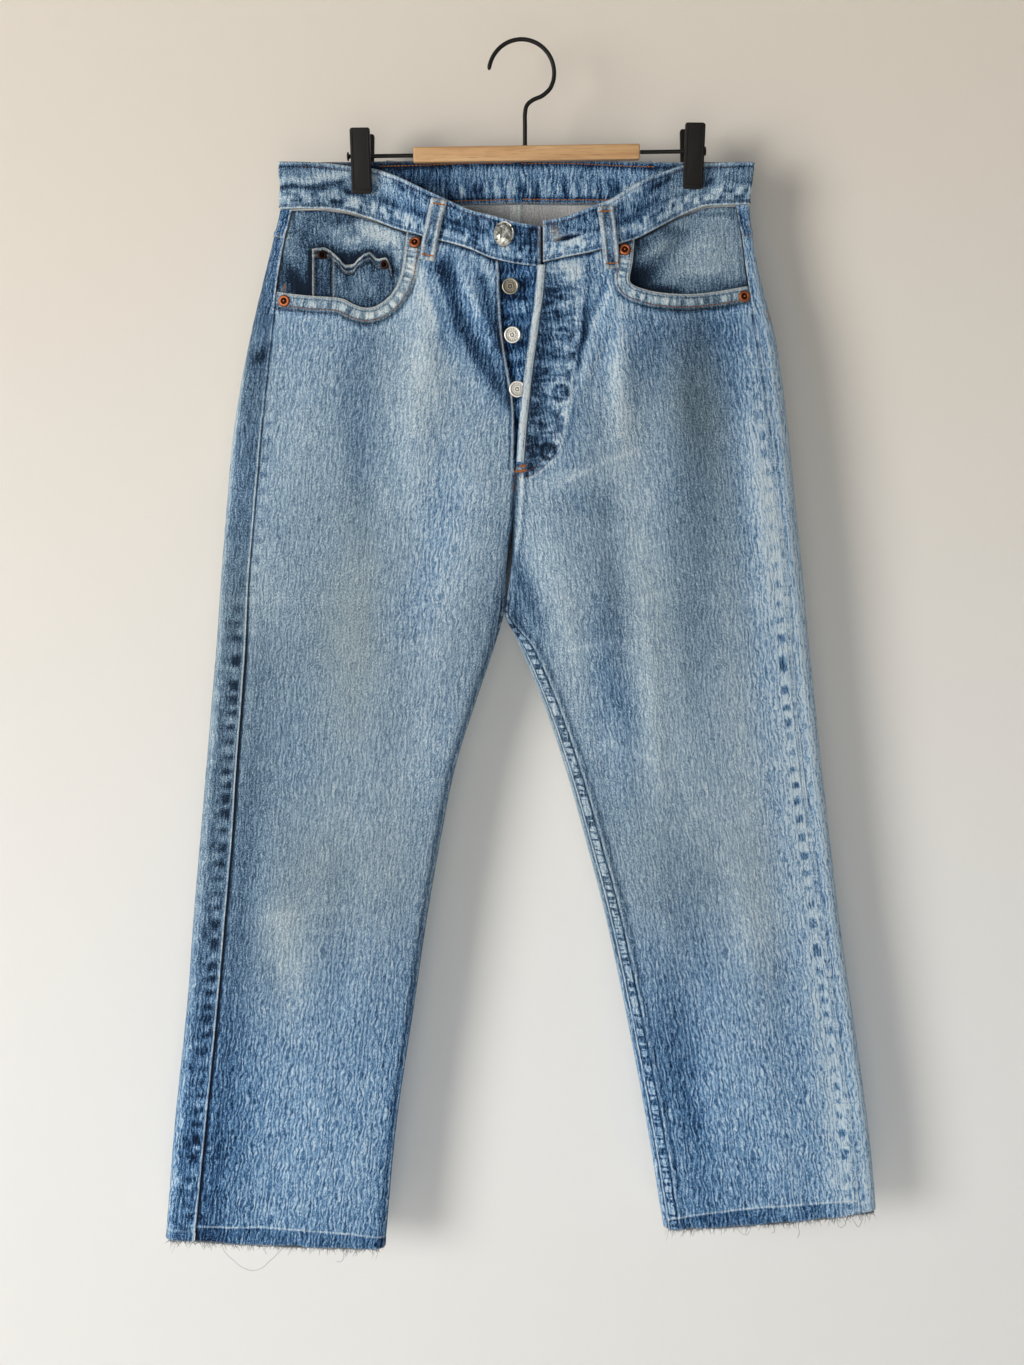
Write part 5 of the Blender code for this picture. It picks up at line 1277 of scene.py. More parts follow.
def makeWaistband():
    share = np.concatenate([np.linspace(0, 0.10, 9)[:-1], np.linspace(0.10, 0.88, 22),
                            np.linspace(0.88, 1, 9)[1:]])
    right = halfBand("right", 0.0235, share)
    left = halfBand("left", 0.0176, share)
    bothHalves = [np.concatenate([a[:, :-1], b[:, ::-1]], axis=1) for a, b in zip(right, left)]
    points, x, z, front, up, down = bothHalves
    isRight = np.arange(x.shape[1])[None] < right[1].shape[1] - 1
    normals = gridNormals(points, -1)
    # the grid runs right round, so each square's normal is turned by where it faces
    outward = np.where(front, -1, 1)
    if (normals[:, 40, 1] * outward[:, 40]).mean() < 0:
        normals = -normals
    run = np.concatenate([np.zeros((len(share), 1)),
                          np.cumsum(np.linalg.norm(np.diff(points, axis=1), axis=2), axis=1)], axis=1)
    run = np.repeat(run[len(share) // 2][None], len(share), axis=0)
    total = run[0, -1]
    flat = up * 0
    byClip = bell(x - clipX["right"], 0.016) + bell(x - clipX["left"], 0.016)
    free = 1 - byClip * 0.85
    rope = lumps(run, flat, 0.0046, 2.1) * 0.65 + lumps(run, flat, 0.010, 5.1) * 0.35
    ropeTop = lumps(run + 0.35 * up, flat, 0.0052, 4.1) * 0.6 + lumps(run, flat, 0.013, 7.1) * 0.4
    lowBars, topBars = stripe(up, 8.5, 5.2), stripe(down, 8, 5)
    atSides = ease(np.abs(x), 0.095, 0.135)
    relief = (free * (0.0008 * lowBars * rope + 0.0007 * topBars * ropeTop * (1 - 0.6 * atSides)
                      + 0.0006 * lumps(run, z, 0.022, 1.4, 1.2)))
    relief += foldHeight(bandFolds, x, z) * front
    relief += -0.0005 * stripe(up, 3.4, 0.9) - 0.0004 * stripe(down, 3.6, 0.9)
    # the underneath end goes in behind the buttonhole end
    tucked = past(x, 14.6, 18) * isRight * front
    relief -= 0.0036 * tucked
    patchy = lumps(run, z, 0.0075, 3.9, 0.7)
    lowZone = 1 - ease(up + 0.0026 * lumps(run, flat, 0.013, 3.3), 0.0130, 0.0175)
    squares = (stripe(up, 6.4, 1.9) * ease(lumps(run, flat, 0.0040, 1.2)
                                           + 0.4 * lumps(run, flat, 0.015, 4.2), 0.0, 0.25))
    squares += (stripe(up, 11.6, 2.1) * ease(lumps(run + 0.002, flat, 0.0045, 7.2)
                                             + 0.4 * lumps(run, flat, 0.018, 6.2), 0.05, 0.3))
    squares += (0.7 * (1 - atSides) * stripe(down, 8.5, 2.8)
                * ease(lumps(run - 0.4 * up, flat, 0.0046, 5.2), 0.1, 0.4))
    wear = (0.47 + 0.27 * lowZone + strokesAt(bandStrokes, x, z) * front - 0.44 * squares
            + 0.14 * lowZone * lumps(run, up, 0.0026, 9.4, 1.3) + (0.12 - 0.04 * atSides) * patchy)
    # the clip creases' tops are lighter and their hollows darker, partly fading and partly painted light
    # and shade
    wear += (0.20 * topBars * ropeTop * (1 - 0.6 * atSides) + 0.10 * lowBars * rope
             + 90 * foldHeight(bandFolds, x, z) * front)
    wear -= (0.15 * bell(up - 0.0178 - 0.002 * lumps(run, flat, 0.012, 2.2), 0.0022)
             * (0.6 + 0.6 * lumps(run, flat, 0.02, 5.5)))
    relief -= free * 0.0005 * squares
    wear += -0.36 * stripe(up, 3.4, 0.8) - 0.30 * stripe(down, 4.2, 0.9) - 0.10 * stripe(up, 16, 3) * front
    wear += -0.40 * stripe(up, 1.9, 0.6) + 0.16 * stripe(down, 1.2, 1.2)
    frayed = 0.7 + 0.3 * lumps(run, flat, 0.005, 1.7)
    cream = 0.95 * stripe(up, 0.1, 0.45) * frayed + 0.60 * stripe(down, 0.1, 0.9) * frayed
    fromStart = total - run  # the buttonhole end
    endLine = np.where(isRight & front, 0.0152 - x, 9.0)  # from the button end's own edge
    wear += (-0.50 * (stripe(endLine, 3.2, 0.6) + stripe(endLine, 7.2, 0.6))
             - 0.14 * ((endLine > 0) & (endLine < 0.022)))
    # painted shade on the underneath end where it goes in behind the buttonhole end
    wear -= 0.9 * past(-endLine, 0.4, 1.6) * (endLine < 1)
    cream = cream * (1 - tucked) + 0.55 * stripe(fromStart, 0, 1.4) + 0.50 * stripe(endLine, 0.4, 0.8)
    relief -= 0.0005 * (stripe(endLine, 3.2, 0.7) + stripe(endLine, 7.2, 0.7))
    # the buttonhole; its slit is painted dark as the shade in the opening
    dx = x - 0.0385
    dz = z + 0.1640 - dx * 0.22
    slit = np.where(front, np.hypot(dx / 0.0098, dz / 0.0011), 9)
    around = np.where(front, np.hypot(dx / 0.0112, dz / 0.0032), 9)
    relief += 0.0007 * bell(around - 1.0, 0.35) - 0.0018 * bell(slit, 0.9)
    wear += -1.1 * bell(slit, 1.0) + 0.18 * bell(around - 1.1, 0.35) - 0.16 * bell(around - 0.7, 0.25)
    cream += 0.25 * bell(around - 0.95, 0.18) * (slit > 1.5)
    patch = np.where(front, np.hypot((x - 0.0275) / 0.0052, (z + 0.1605) / 0.0062), 9)
    cream += 0.95 * bell(patch, 0.9) * (0.6 + 0.4 * lumps(x, z, 0.0016, 8.8))
    relief += 0.0008 * bell(patch, 0.9) * lumps(x, z, 0.002, 4.8)
    ends = np.minimum(np.minimum(up, down), fromStart)
    rounded = 0.0011 * (1 - np.sqrt(1 - (1 - np.clip(ends / 0.0016, 0, 1)) ** 2))
    outer = points + normals * (0.0011 - rounded + relief)[..., None]
    inner = points - normals * (0.0016 - rounded - np.minimum(relief, 0.0004) * 0.4)[..., None]
    inner = np.where((tucked > 0.01)[..., None], outer - normals * 0.0024, inner)
    # inside, the band is ridged by the same pull of its sewing
    pull = lumps(run + 0.15 * up, flat, 0.0034, 6.1) + 0.3 * lumps(run, flat, 0.012, 9.1)
    bars = ease(pull, -0.3, 0.4) - 0.5
    # painted shade on the inside of the band toward the right clip, besides the sewing's bars
    innerTint = (0.37 + (0.50 * bars + 0.12) * stripe(up, 11, 7) - 0.24 * past(-x, 50, 75)
                 + 0.10 * lumps(run, z, 0.010, 2.9, 0.8) + 0.16 * stripe(down, 12, 6))
    innerTint += -0.30 * stripe(down, 5, 2) - 0.25 * stripe(up, 5, 1.2) - 0.35 * stripe(x, -48, 0.8)
    obj = clothWall("waistband", outer, normals, bandThick, (run, z), wear, None, 0.20 + 0.35 * atSides,
                    0.07, cream, inner, 0.0, innerTint=innerTint)
    keepPiece("waistband", obj)


makeWaistband()


def skinAt(face, x, z):
    right = x < shape["rightInner"](z) * mm
    y = np.where(right, skinHeight("right", face, x, z), skinHeight("left", face, x, z))
    return np.stack([x, -y if face == "front" else y, z], axis=-1)


def lay(name, x, z, out, under, wear, face="front", slotName="denim", cloth=None, **looks):
    # a wall over a grid of x and z, between two distances off the skin
    outward = -1 if face == "front" else 1
    points = skinAt(face, x, z)
    normals = gridNormals(points, outward)
    outer = points + normals * np.broadcast_to(out, x.shape)[..., None]
    inner = points + normals * np.broadcast_to(under, x.shape)[..., None]
    obj = clothWall(name, outer, gridNormals(outer, outward), 0, cloth or (x, z), wear, None, inner=inner,
                    **looks)
    keepPiece(name, obj)


def grid(rows, columns):
    down, across = np.meshgrid(np.linspace(0, 1, rows), np.linspace(0, 1, columns), indexing="ij")
    return down, across


def makeUnderlap():
    down, across = grid(120, 40)
    z = (waistSeamCentre + 0.006) + (flyEnd - 0.004 - waistSeamCentre - 0.006) * down
    edge = flyEdge["right"](z) * mm
    x = edge - 0.009 + (flyEdge["left"](z) * mm + 0.0085 - edge + 0.009) * across
    behind = ease(z, waistSeamCentre - 0.003, waistSeamCentre + 0.001)
    under = -0.0018 - 0.0014 * ease(x, edge - 0.004, edge + 0.004) - 0.0006 * behind
    ripple = ((0.0006 * lumps(x, z, 0.014, 2.7) + 0.0004 * lumps(x, z, 0.006, 5.7))
              * ease(x, edge + 0.004, edge + 0.010))
    # painted shade beside the edge of the front that lies over the underlap
    wear = (0.27 + 0.10 * lumps(x, z, 0.010, 1.1) - 0.16 * bell(x - edge - 0.001, 0.003)
            + 0.24 * lumps(x, z, 0.013, 8.1, 0.42))
    for bz, tall, more in ((-0.193, 0.006, 0.30), (-0.224, 0.004, 0.20), (-0.263, 0.005, 0.22),
                           (-0.309, 0.007, 0.18)):
        wear += more * bell(z - bz - 0.002 * lumps(x, x * 0, 0.008, bz * 90), tall) * stripe(x, -4, 12)
    # painted shade in a ring round each button
    for bz in (-0.204, -0.244, -0.289):
        wear -= 0.14 * bell(np.hypot(x + 0.007, z - bz) - 0.0088, 0.002)
    lay("fly_underlap", x, z, under + ripple, under - 0.0014, wear, slotName="dark_denim", marble=0.10,
        grey=0.0)


def makeFlyFold():
    # the thick folded edge of the buttonhole side, a soft roll worn to the white weft
    z = np.linspace(waistSeamCentre - 0.0006, flyEnd + 0.0063, 120)
    turn = np.linspace(0, 2 * math.pi, 21)
    zz, aa = np.meshgrid(z, turn, indexing="ij")
    edge = flyEdge["left"](zz) * mm
    swell = 1 + 0.10 * lumps(zz, aa * 0, 0.011, 3.6) + 0.06 * lumps(zz, aa * 0, 0.004, 6.6)
    middle = edge + flyFoldWide / 2
    x = middle + flyFoldWide / 2 * np.cos(aa) * (1 - 0.04 * swell)
    base = skinAt("front", middle, zz)
    fade = ease(zz, flyEnd - 0.015, flyEnd + 0.05)
    lift = 0.0044 * bell(x - edge, 0.016) * fade + 0.0005 * ease(zz, flyEnd, flyEnd + 0.06)
    y = base[..., 1] - lift - 0.0014 * np.sin(aa) * swell
    points = np.stack([x, y, zz + 0.0003 * lumps(x, zz, 0.004, 1.2)], axis=-1)
    count = len(z)
    index = np.arange(count * 20).reshape(count, 20)
    verts = points[:, :20].reshape(-1, 3)
    a, b = index[:-1], index[1:]
    faces = np.stack([a, np.roll(a, -1, 1), np.roll(b, -1, 1), b], axis=-1).reshape(-1, 4)
    caps = []
    for ring in (index[0], index[-1][::-1]):
        caps += [(ring[k], ring[19 - k], ring[18 - k], ring[k + 1]) for k in range(9)]
    faces = np.vstack([faces, caps])
    c = np.cos(aa[:, :20])
    onEdge = bell(c + 1, 0.35)
    wear = (1.04 + 0.12 * lumps(zz, aa, 0.008, 2.4)[:, :20] - 0.6 * onEdge - 0.30 * bell(c - 0.62, 0.10)
            - 0.25 * bell(c - 1, 0.06))
    cream = (0.34 + 0.30 * lumps(zz, aa * 0.004, 0.006, 7.4)[:, :20]) * bell(c + 0.25, 0.5)
    attributes = {"wear": wear.ravel(), "cream": cream.ravel().clip(0, 1),
                  "grey": np.full(verts.shape[0], 0.45), "marble": np.full(verts.shape[0], 0.10),
                  "inside": np.zeros(verts.shape[0])}
    uv = np.stack([(aa[:, :20] * 0.0028).ravel(), zz[:, :20].ravel()], axis=1)
    mesh = meshFrom("cloth_fly_fold", verts, faces, attributes, uv)
    bm = bmesh.new()
    bm.from_mesh(mesh)
    intoMesh(bm, mesh)
    obj = linkObject("cloth_fly_fold", mesh, denim)
    keepPiece("fly_fold", obj)


def pocketHeight(side, x):
    outline = np.array(pocketOpening[side][4 if side == "right" else 5:]) * mm
    order = np.argsort(outline[:, 0])
    return np.interp(x, outline[order, 0], outline[order, 1])


coinTop = np.array(((-177, -171), (-166, -170), (-156, -177), (-149, -184), (-142, -183), (-135, -177),
                    (-128, -174), (-122, -179), (-114, -179), (-109.5, -190))) * mm


def makeFacing(side):
    down, across = grid(66, 88)
    outward = outwardX[side]
    inwardEnd = (pocketOpening[side][1][0] - 8 * outward) * mm
    x = seamX(side, -0.138) + (inwardEnd - seamX(side, -0.138)) * across
    z = np.full(x.shape, -0.15)
    for _ in range(4):
        way = wayAt(side, x, -0.15)
        top = frontHeight(side, way, np.zeros(x.shape)) - gap
        foot = pocketHeight(side, x) - 0.016
        z = top + (foot - top) * down
        atSeam = seamX(side, z) - outward * 0.0005
        x = atSeam + (inwardEnd - atSeam) * across
    fromTop = top - z
    fromSeam = np.abs(x - atSeam)
    away = past(fromTop, 2, 20)
    pucker = lumps(x, z * 0, 0.0042, 2.6) * 0.6 + lumps(x, z * 0, 0.009, 5.6) * 0.4

    def spot(sx, sz, wide, tall, lean=0.0):
        # a soft patch at a place, leaning
        dz = z - sz * mm
        return bell(np.hypot((x - sx * mm - lean * dz) / (wide * mm), dz / (tall * mm)), 1.0)

    def crease(*ends):
        return foldHeight(((*ends, 1.0),), x, z) / mm

    ripple = 0.0008 * lumps(x, z, 0.020, 3.5, 1.4) * away + 0.0006 * pucker * stripe(fromTop, 4, 6)
    if side == "right":
        ripple += (-0.0016 * spot(-190, -200, 8, 16, -0.3) + 0.0014 * spot(-196, -178, 5, 26, -0.15)
                   - 0.0012 * spot(-186, -162, 7, 16, 0.2))
        # the tint mixes the cloth's fading with painted light and shade: the dark spots low at the left are
        # painted shade deep in the pocket, and the one at -146, -178 is painted shadow above the coin
        # pocket
        wear = (0.51 + 0.20 * spot(-202, -160, 6, 14) + 0.22 * spot(-142, -164, 14, 6)
                + 0.34 * spot(-122, -156, 15, 11, -0.6) + 0.2 * spot(-104, -178, 4, 18)
                + 0.24 * spot(-112, -163, 12, 14, -0.6) + 0.14 * spot(-160, -152, 16, 9))
        wear += (0.16 * spot(-194, -182, 4, 24, -0.12) - 0.20 * spot(-183, -160, 6, 14, 0.25)
                 - 0.40 * spot(-195, -192, 7, 12) - 0.14 * spot(-170, -160, 5, 9))
        wear += (-0.65 * spot(-186, -205, 8, 13, -0.45) - 0.42 * spot(-179, -196, 4, 20)
                 - 0.44 * spot(-146, -178, 12, 5.5))
        wear += -0.12 * spot(-119, -174, 8, 3) - 0.26 * spot(-152, -146, 16, 5)
        marble, grey = 0.22, 0.60
    else:
        bag = spot(99, -197, 15, 15, 0.5)
        ripple += -0.0045 * bag + 0.0030 * crease(97, -186, 136, -150, 7)
        ripple += -0.0022 * crease(110, -192, 150, -152, 7) + 0.0010 * spot(160, -175, 24, 22)
        # the tint mixes fading with painted light and shade: painted shade deep in the bag's hollow and low
        # by the pocket's edge, painted light on the crease's ridge and shade in the valley beside it, and
        # painted shade in a dashed line under the band
        wear = (0.56 + 0.10 * spot(160, -178, 30, 22) - 0.26 * spot(101, -165, 8, 12)
                - 0.28 * spot(124, -156, 14, 6, -0.5) - 0.75 * bag - 0.50 * spot(118, -206, 16, 5))
        wear += 0.12 * crease(97, -184, 124, -166, 4) - 0.12 * crease(108, -194, 150, -150, 5)
        wear -= 0.30 * crease(132, -143, 186, -140, 2.2) * (0.6 + 0.6 * pucker)
        wear += -0.16 * spot(160, -198, 28, 7, 0) + 0.10 * spot(150, -190, 20, 4, 0.5)
        marble, grey = 0.03, 0.70
    # painted shadow in a thin line under the band's edge, a darker line by the seam and lighter puckers
    wear += (-0.30 * stripe(fromTop, 0, 1.4) - 0.10 * stripe(fromSeam, 3, 2.5)
             + 0.14 * pucker * stripe(fromTop, 6, 6))
    # painted shadow cast into the opening by the pocket's hem
    toHem, _ = alongCurve(x, z, pocketLine[side])
    wear -= (0.16 if side == "right" else 0.34) * stripe(toHem, 0, 5.5)
    if side == "right":
        # painted shadow round the coin pocket's curled top and beside its left edge, and the facing a
        # little darker overall
        toCoin, _ = alongCurve(x, z, curveThrough(coinTop))
        wear += -0.10 - 0.42 * stripe(toCoin, 0, 4.5) - 0.5 * stripe(x, -179.5, 2) * (z < -0.172)
    relief = ripple - 0.0004 * stripe(fromTop, 0, 1.5)
    lay("facing_" + side, x, z, -0.0018 + relief, -0.0029 + relief, wear, marble=marble, grey=grey,
        cloth=(x * 0.97 + z * 0.03, z))


def makeCoinPocket():
    # set in the wearer's right pocket; its mouth has stretched and curls over
    down, across = grid(54, 112)
    down = down ** 1.6
    line = curveThrough(coinTop)
    x = -0.177 + 0.0675 * across
    top = (np.interp(x, line[:, 0], line[:, 1]) + 0.0007 * lumps(x, x * 0, 0.0042, 5.5)
           + 0.0003 * lumps(x, x * 0, 0.0016, 3.5))
    foot = pocketHeight("right", x) + 0.0006
    z = top + (foot - top) * down
    fromTop, fromOuter = top - z, x + 0.177
    flat = x * 0
    roll = stripe(fromTop, 1.6, 1.5)
    second = bell(fromTop - 0.0052 - 0.0010 * np.sin(across * 17), 0.0011)
    twists = 0.5 + 0.5 * lumps(x + 0.6 * fromTop, flat, 0.0042, 4.4)
    relief = (0.0030 * roll * (0.55 + 0.45 * np.sin(across * 21)) + 0.0014 * second * twists
              - 0.0008 * stripe(fromTop, 3.6, 1))
    relief += -0.0006 * stripe(fromTop, 7.8, 1.4) + 0.0005 * stripe(fromOuter, 0, 1.2)
    sideLines = stripe(fromOuter, 16.5, 0.8) + stripe(fromOuter, 2.2, 0.8)
    relief += (0.0005 * (1 - past(fromOuter, 15.8, 17.2)) - 0.0003 * sideLines
               + 0.0005 * lumps(x, z, 0.012, 4.1))
    relief = relief * (1 - 0.8 * bell(down - 1, 0.1))
    cream = (1.3 * stripe(fromTop, 0.3, 0.9) + 0.85 * stripe(fromOuter, 0.2, 0.9)
             + 0.30 * stripe(fromOuter, 17.8, 0.7))
    cream += 0.35 * second * twists + 0.2 * roll * twists
    # the rolls of the curled top are worn lighter, with painted shadow under each of them
    wear = (0.33 + 0.34 * roll - 0.60 * stripe(fromTop, 3.4, 0.9) + 0.22 * second * twists
            - 0.55 * stripe(fromTop, 7.6, 1.2))
    wear += (-0.30 * stripe(fromOuter, 2.6, 1) - 0.34 * stripe(fromOuter, 15.8, 0.9)
             - 0.08 * (fromOuter < 0.0165))
    wear += 0.14 * lumps(x, z, 0.007, 6.6, 1.4) + 0.08 * stripe(fromOuter, 35, 16) * stripe(fromTop, 22, 12)
    # painted shade at the foot, where the coin pocket goes under the pocket's edge, and darker toward its
    # right end
    wear += -0.25 * bell(foot - z, 0.0022) - 0.05 * past(fromOuter, 50, 62)
    lay("coin_pocket", x, z, -0.0006 + relief, -0.0015 + relief * 0.9, wear, marble=0.05, grey=0.60,
        cream=cream)


def makeBackPocket(side):
    outward = outwardX[side]
    down, across = grid(52, 48)
    across = across * 2 - 1
    foot = 0.128 + 0.028 * (1 - np.abs(across))
    drop = foot * down
    narrow = np.clip(drop / 0.128, 0, 1)
    width = 0.148 - 0.022 * narrow
    localX, localZ = across * width / 2, -drop
    lean = 0.035 * outward
    x = 0.107 * outward + localX - localZ * lean
    z = -0.214 + localZ + localX * lean
    edge = np.minimum(np.minimum(width / 2 - np.abs(localX), foot - drop), 0.05)
    fromTop = drop
    twoRows = stripe(edge, 2, 0.7) + stripe(edge, 8.5, 0.7)
    mouth = stripe(fromTop, 13, 0.8)
    pucker = lumps(x + z, x - z, 0.006, 2.2)
    relief = (-0.0003 * twoRows - 0.0004 * mouth + 0.0004 * (1 - past(edge, 9, 11))
              + 0.0004 * (fromTop < 0.013))
    relief += 0.0006 * lumps(x, z, 0.018, 5.2) * past(edge, 0, 20) + 0.0003 * pucker * stripe(edge, 5, 4)
    cream = 0.75 * stripe(edge, 0, 1.2) + 0.80 * stripe(fromTop, 0, 1.4)
    wear = (0.60 + 0.16 * bell(np.hypot(localX / 0.045, (localZ + 0.07) / 0.05), 1.0) - 0.25 * twoRows
            - 0.25 * mouth)
    wear += 0.22 * pucker * stripe(edge, 5, 5) - 0.10 * stripe(edge, 13, 3)
    lay("pocket_" + side, x, z, 0.0017 + relief, 0.0005 + relief * 0.5, wear, face="back",
        slotName="pocket_denim", marble=0.18, grey=0.30, cream=cream, cloth=(localX, localZ))


beltLoops = (
    ("loop_front_right", "front", -68.5, -131.5, -79.5, -182.0, -163.0),
    ("loop_front_left", "front", 70.0, -137.5, 76.0, -189.0, -166.0),
    ("loop_back_right", "back", -108.0, -96.0, -110.0, -150.0, -131.0),
    ("loop_back_centre", "back", -3.0, -95.0, -3.5, -150.0, -131.0),
    ("loop_back_left", "back", 104.0, -96.0, 106.0, -150.0, -131.0),
)


def makeLoop(name, face, xTop, zTop, xFoot, zFoot, zSeam):
    down, across = grid(64, 19)
    top, foot = np.array((xTop, zTop)) * mm, np.array((xFoot, zFoot)) * mm
    along = foot - top
    sideways = np.array((-along[1], along[0])) / np.linalg.norm(along)
    length = np.linalg.norm(along)
    run, flat = down * length, across * 0
    ragged = 0.0006 * lumps(run, flat, 0.003, xTop * 0.1) + 0.0004 * lumps(run, flat, 0.0012, xTop * 0.2)
    half = across - 0.5
    x = top[0] + along[0] * down + sideways[0] * half * (loopWide + ragged)
    z = top[1] + along[1] * down + sideways[1] * half * (loopWide + ragged)
    onBand = ease(z, zSeam * mm - 0.011, zSeam * mm - 0.001)
    under = 0.0006 + 0.0012 * onBand + 0.0018 * np.sin(np.pi * down) ** 2
    fromEdge = loopWide * (0.5 - np.abs(half))
    fromEnd = np.minimum(down, 1 - down) * length
    cords = stripe(fromEdge, 2.2, 1.6)
    relief = (0.0008 * cords - 0.0004 * stripe(fromEdge, 4.4, 0.7) - 0.0010 * stripe(fromEdge, 0, 0.8)
              - 0.0009 * stripe(fromEnd, 0, 1))
    relief += (0.0005 * stripe(fromEnd, 2.2, 1.4) - 0.0005 * stripe(fromEnd, 4.6, 1)
               + 0.0003 * lumps(x, z, 0.003, 2.8))
    wisps = 0.5 + 0.5 * lumps(x, z, 0.0022, 3.8, 2.0)
    cream = ((0.72 * cords * wisps + 0.50 * stripe(fromEdge, 0, 0.8))
             + 0.95 * stripe(fromEnd, 0.8, 1.5) * wisps)
    wear = (0.57 + 0.14 * lumps(x, z, 0.004, xTop * 0.3, 2.0) + 0.24 * cords
            - 0.20 * stripe(fromEdge, 4.2, 0.6) - 0.10 * bell(half, 0.12))
    wear -= 0.12 * ease(down, 0.55, 0.8) * (1 - cords) * (face == "front")
    lay(name, x, z, under + 0.0016 + relief, under, wear, face=face, marble=0.12, grey=0.40, cream=cream,
        cloth=(across * 0.013 + xTop, down * length))


def makeFell():
    # inside, the centre back seam's felled edges, seen through the open waist
    down, across = grid(60, 15)
    z = -0.1315 + (crotch + 0.012 + 0.1315) * down ** 1.8
    half = across - 0.5
    x = -0.0042 + (innerX("right", z) + 0.0042) * past(-z, 150, 200) + half * 0.0105
    thick = (0.0009 - 0.0006 * bell(np.abs(half) - 0.5, 0.06) - 0.0004 * bell(half - 0.08, 0.07)
             + 0.0002 * lumps(z, half, 0.004, 3.0))
    points = skinAt("back", x, z)
    outer = points - np.array((0, 1, 0)) * (0.0014 + thick)[..., None]
    inner = points - np.array((0, 1, 0)) * 0.0013
    wear = (0.92 - 0.6 * bell(half - 0.36, 0.05) - 0.35 * bell(half + 0.38, 0.05)
            - 0.3 * bell(half - 0.08, 0.04))
    obj = clothWall("rise_fell", outer, gridNormals(outer, -1), 0, (x, z), wear, None, 0.9, 0.10, 0.60,
                    inner)
    finishPiece(obj)
    panels["rise_fell"] = obj


makeUnderlap()
makeFlyFold()
for side in ("right", "left"):
    makeFacing(side)
    makeBackPocket(side)
makeCoinPocket()
for row in beltLoops:
    makeLoop(*row)
makeFell()
print("small cloth pieces ready")


def threadMaterial():
    material, tree, shader = newMaterial("thread")
    place = addNode(tree, "UVMap", uv_map="cloth").outputs[0]
    tone = ramp(tree, attributeOf(tree, "wear"), ((0.0, srgb(216, 214, 204)), (0.33, srgb(130, 146, 160)),
                                                  (0.66, srgb(166, 112, 72)), (1.0, srgb(226, 142, 50))))
    shade = mixColour(tree, noiseAt(tree, place, 700, 700, 2, 0.6, 4.1), srgb(150, 140, 130),
                      srgb(255, 255, 250))
    twist = addNode(tree, "TexWave", {"Scale": 500, "Vector": place}, bands_direction="DIAGONAL")
    dress(tree, shader, {"Base Color": mixColour(tree, 1.0, tone, shade, "MULTIPLY"), "Roughness": 0.75,
                         "Specular IOR Level": 0.25}, (twist.outputs["Fac"], 0.5, 0.0002))
    return material


thread = threadMaterial()


class ThreadWork:
    # gathers many short tubes on one piece, then makes a single mesh of them
    def __init__(self, name):
        self.name = name
        self.verts, self.faces, self.dye, self.uv = [], [], [], []

    def tube(self, points, radii, dye, sides=5, turn=0.0):
        points = np.asarray(points, float)
        tangents = np.gradient(points, axis=0)
        tangents /= np.linalg.norm(tangents, axis=1, keepdims=True) + 1e-12
        helper = np.array((0.31, 0.85, 0.42))
        first = np.cross(tangents, helper)
        first /= np.linalg.norm(first, axis=1, keepdims=True) + 1e-12
        second = np.cross(tangents, first)
        angle = np.linspace(0, 2 * math.pi, sides, endpoint=False) + turn
        ring = (first[:, None] * np.cos(angle)[None, :, None]
                + second[:, None] * np.sin(angle)[None, :, None])
        verts = points[:, None] + ring * np.asarray(radii, float).reshape(-1, 1, 1)
        base = sum(len(v) for v in self.verts)
        count = len(points)
        index = base + np.arange(count * sides).reshape(count, sides)
        a, b = index[:-1], index[1:]
        self.faces.append(np.stack([a, np.roll(a, -1, 1), np.roll(b, -1, 1), b], axis=-1).reshape(-1, 4))
        if sides == 4:
            self.faces.append(index[[0, -1]][:, ::-1])
        self.verts.append(verts.reshape(-1, 3))
        self.dye.append(np.full(count * sides, dye))
        run = np.linspace(0, 0.01, count)
        self.uv.append(np.stack([np.repeat(run, sides) + dye,
                                 np.tile(np.linspace(0, 0.002, sides), count)], axis=1))

    def make(self, slotName):
        mesh = meshFrom(self.name, np.vstack(self.verts), np.vstack(self.faces),
                        {"wear": np.concatenate(self.dye)}, np.vstack(self.uv))
        obj = linkObject(self.name, mesh, thread)
        finishPiece(obj)
        return obj


threadWorks = {}


def workOn(owner):
    if owner not in threadWorks:
        threadWorks[owner] = ThreadWork("thread_" + owner)
    return threadWorks[owner]


def spotOn(owners, x, z, face="front"):
    # the outermost cloth of several owners
    outward = -1 if face == "front" else 1
    best = None
    for owner in owners:
        hit, normal = dropOn(surfaces[owner], x, z, face)
        if hit is not None and (best is None or (hit.y - best[0].y) * outward > 0):
            best = (hit, normal)
    return best


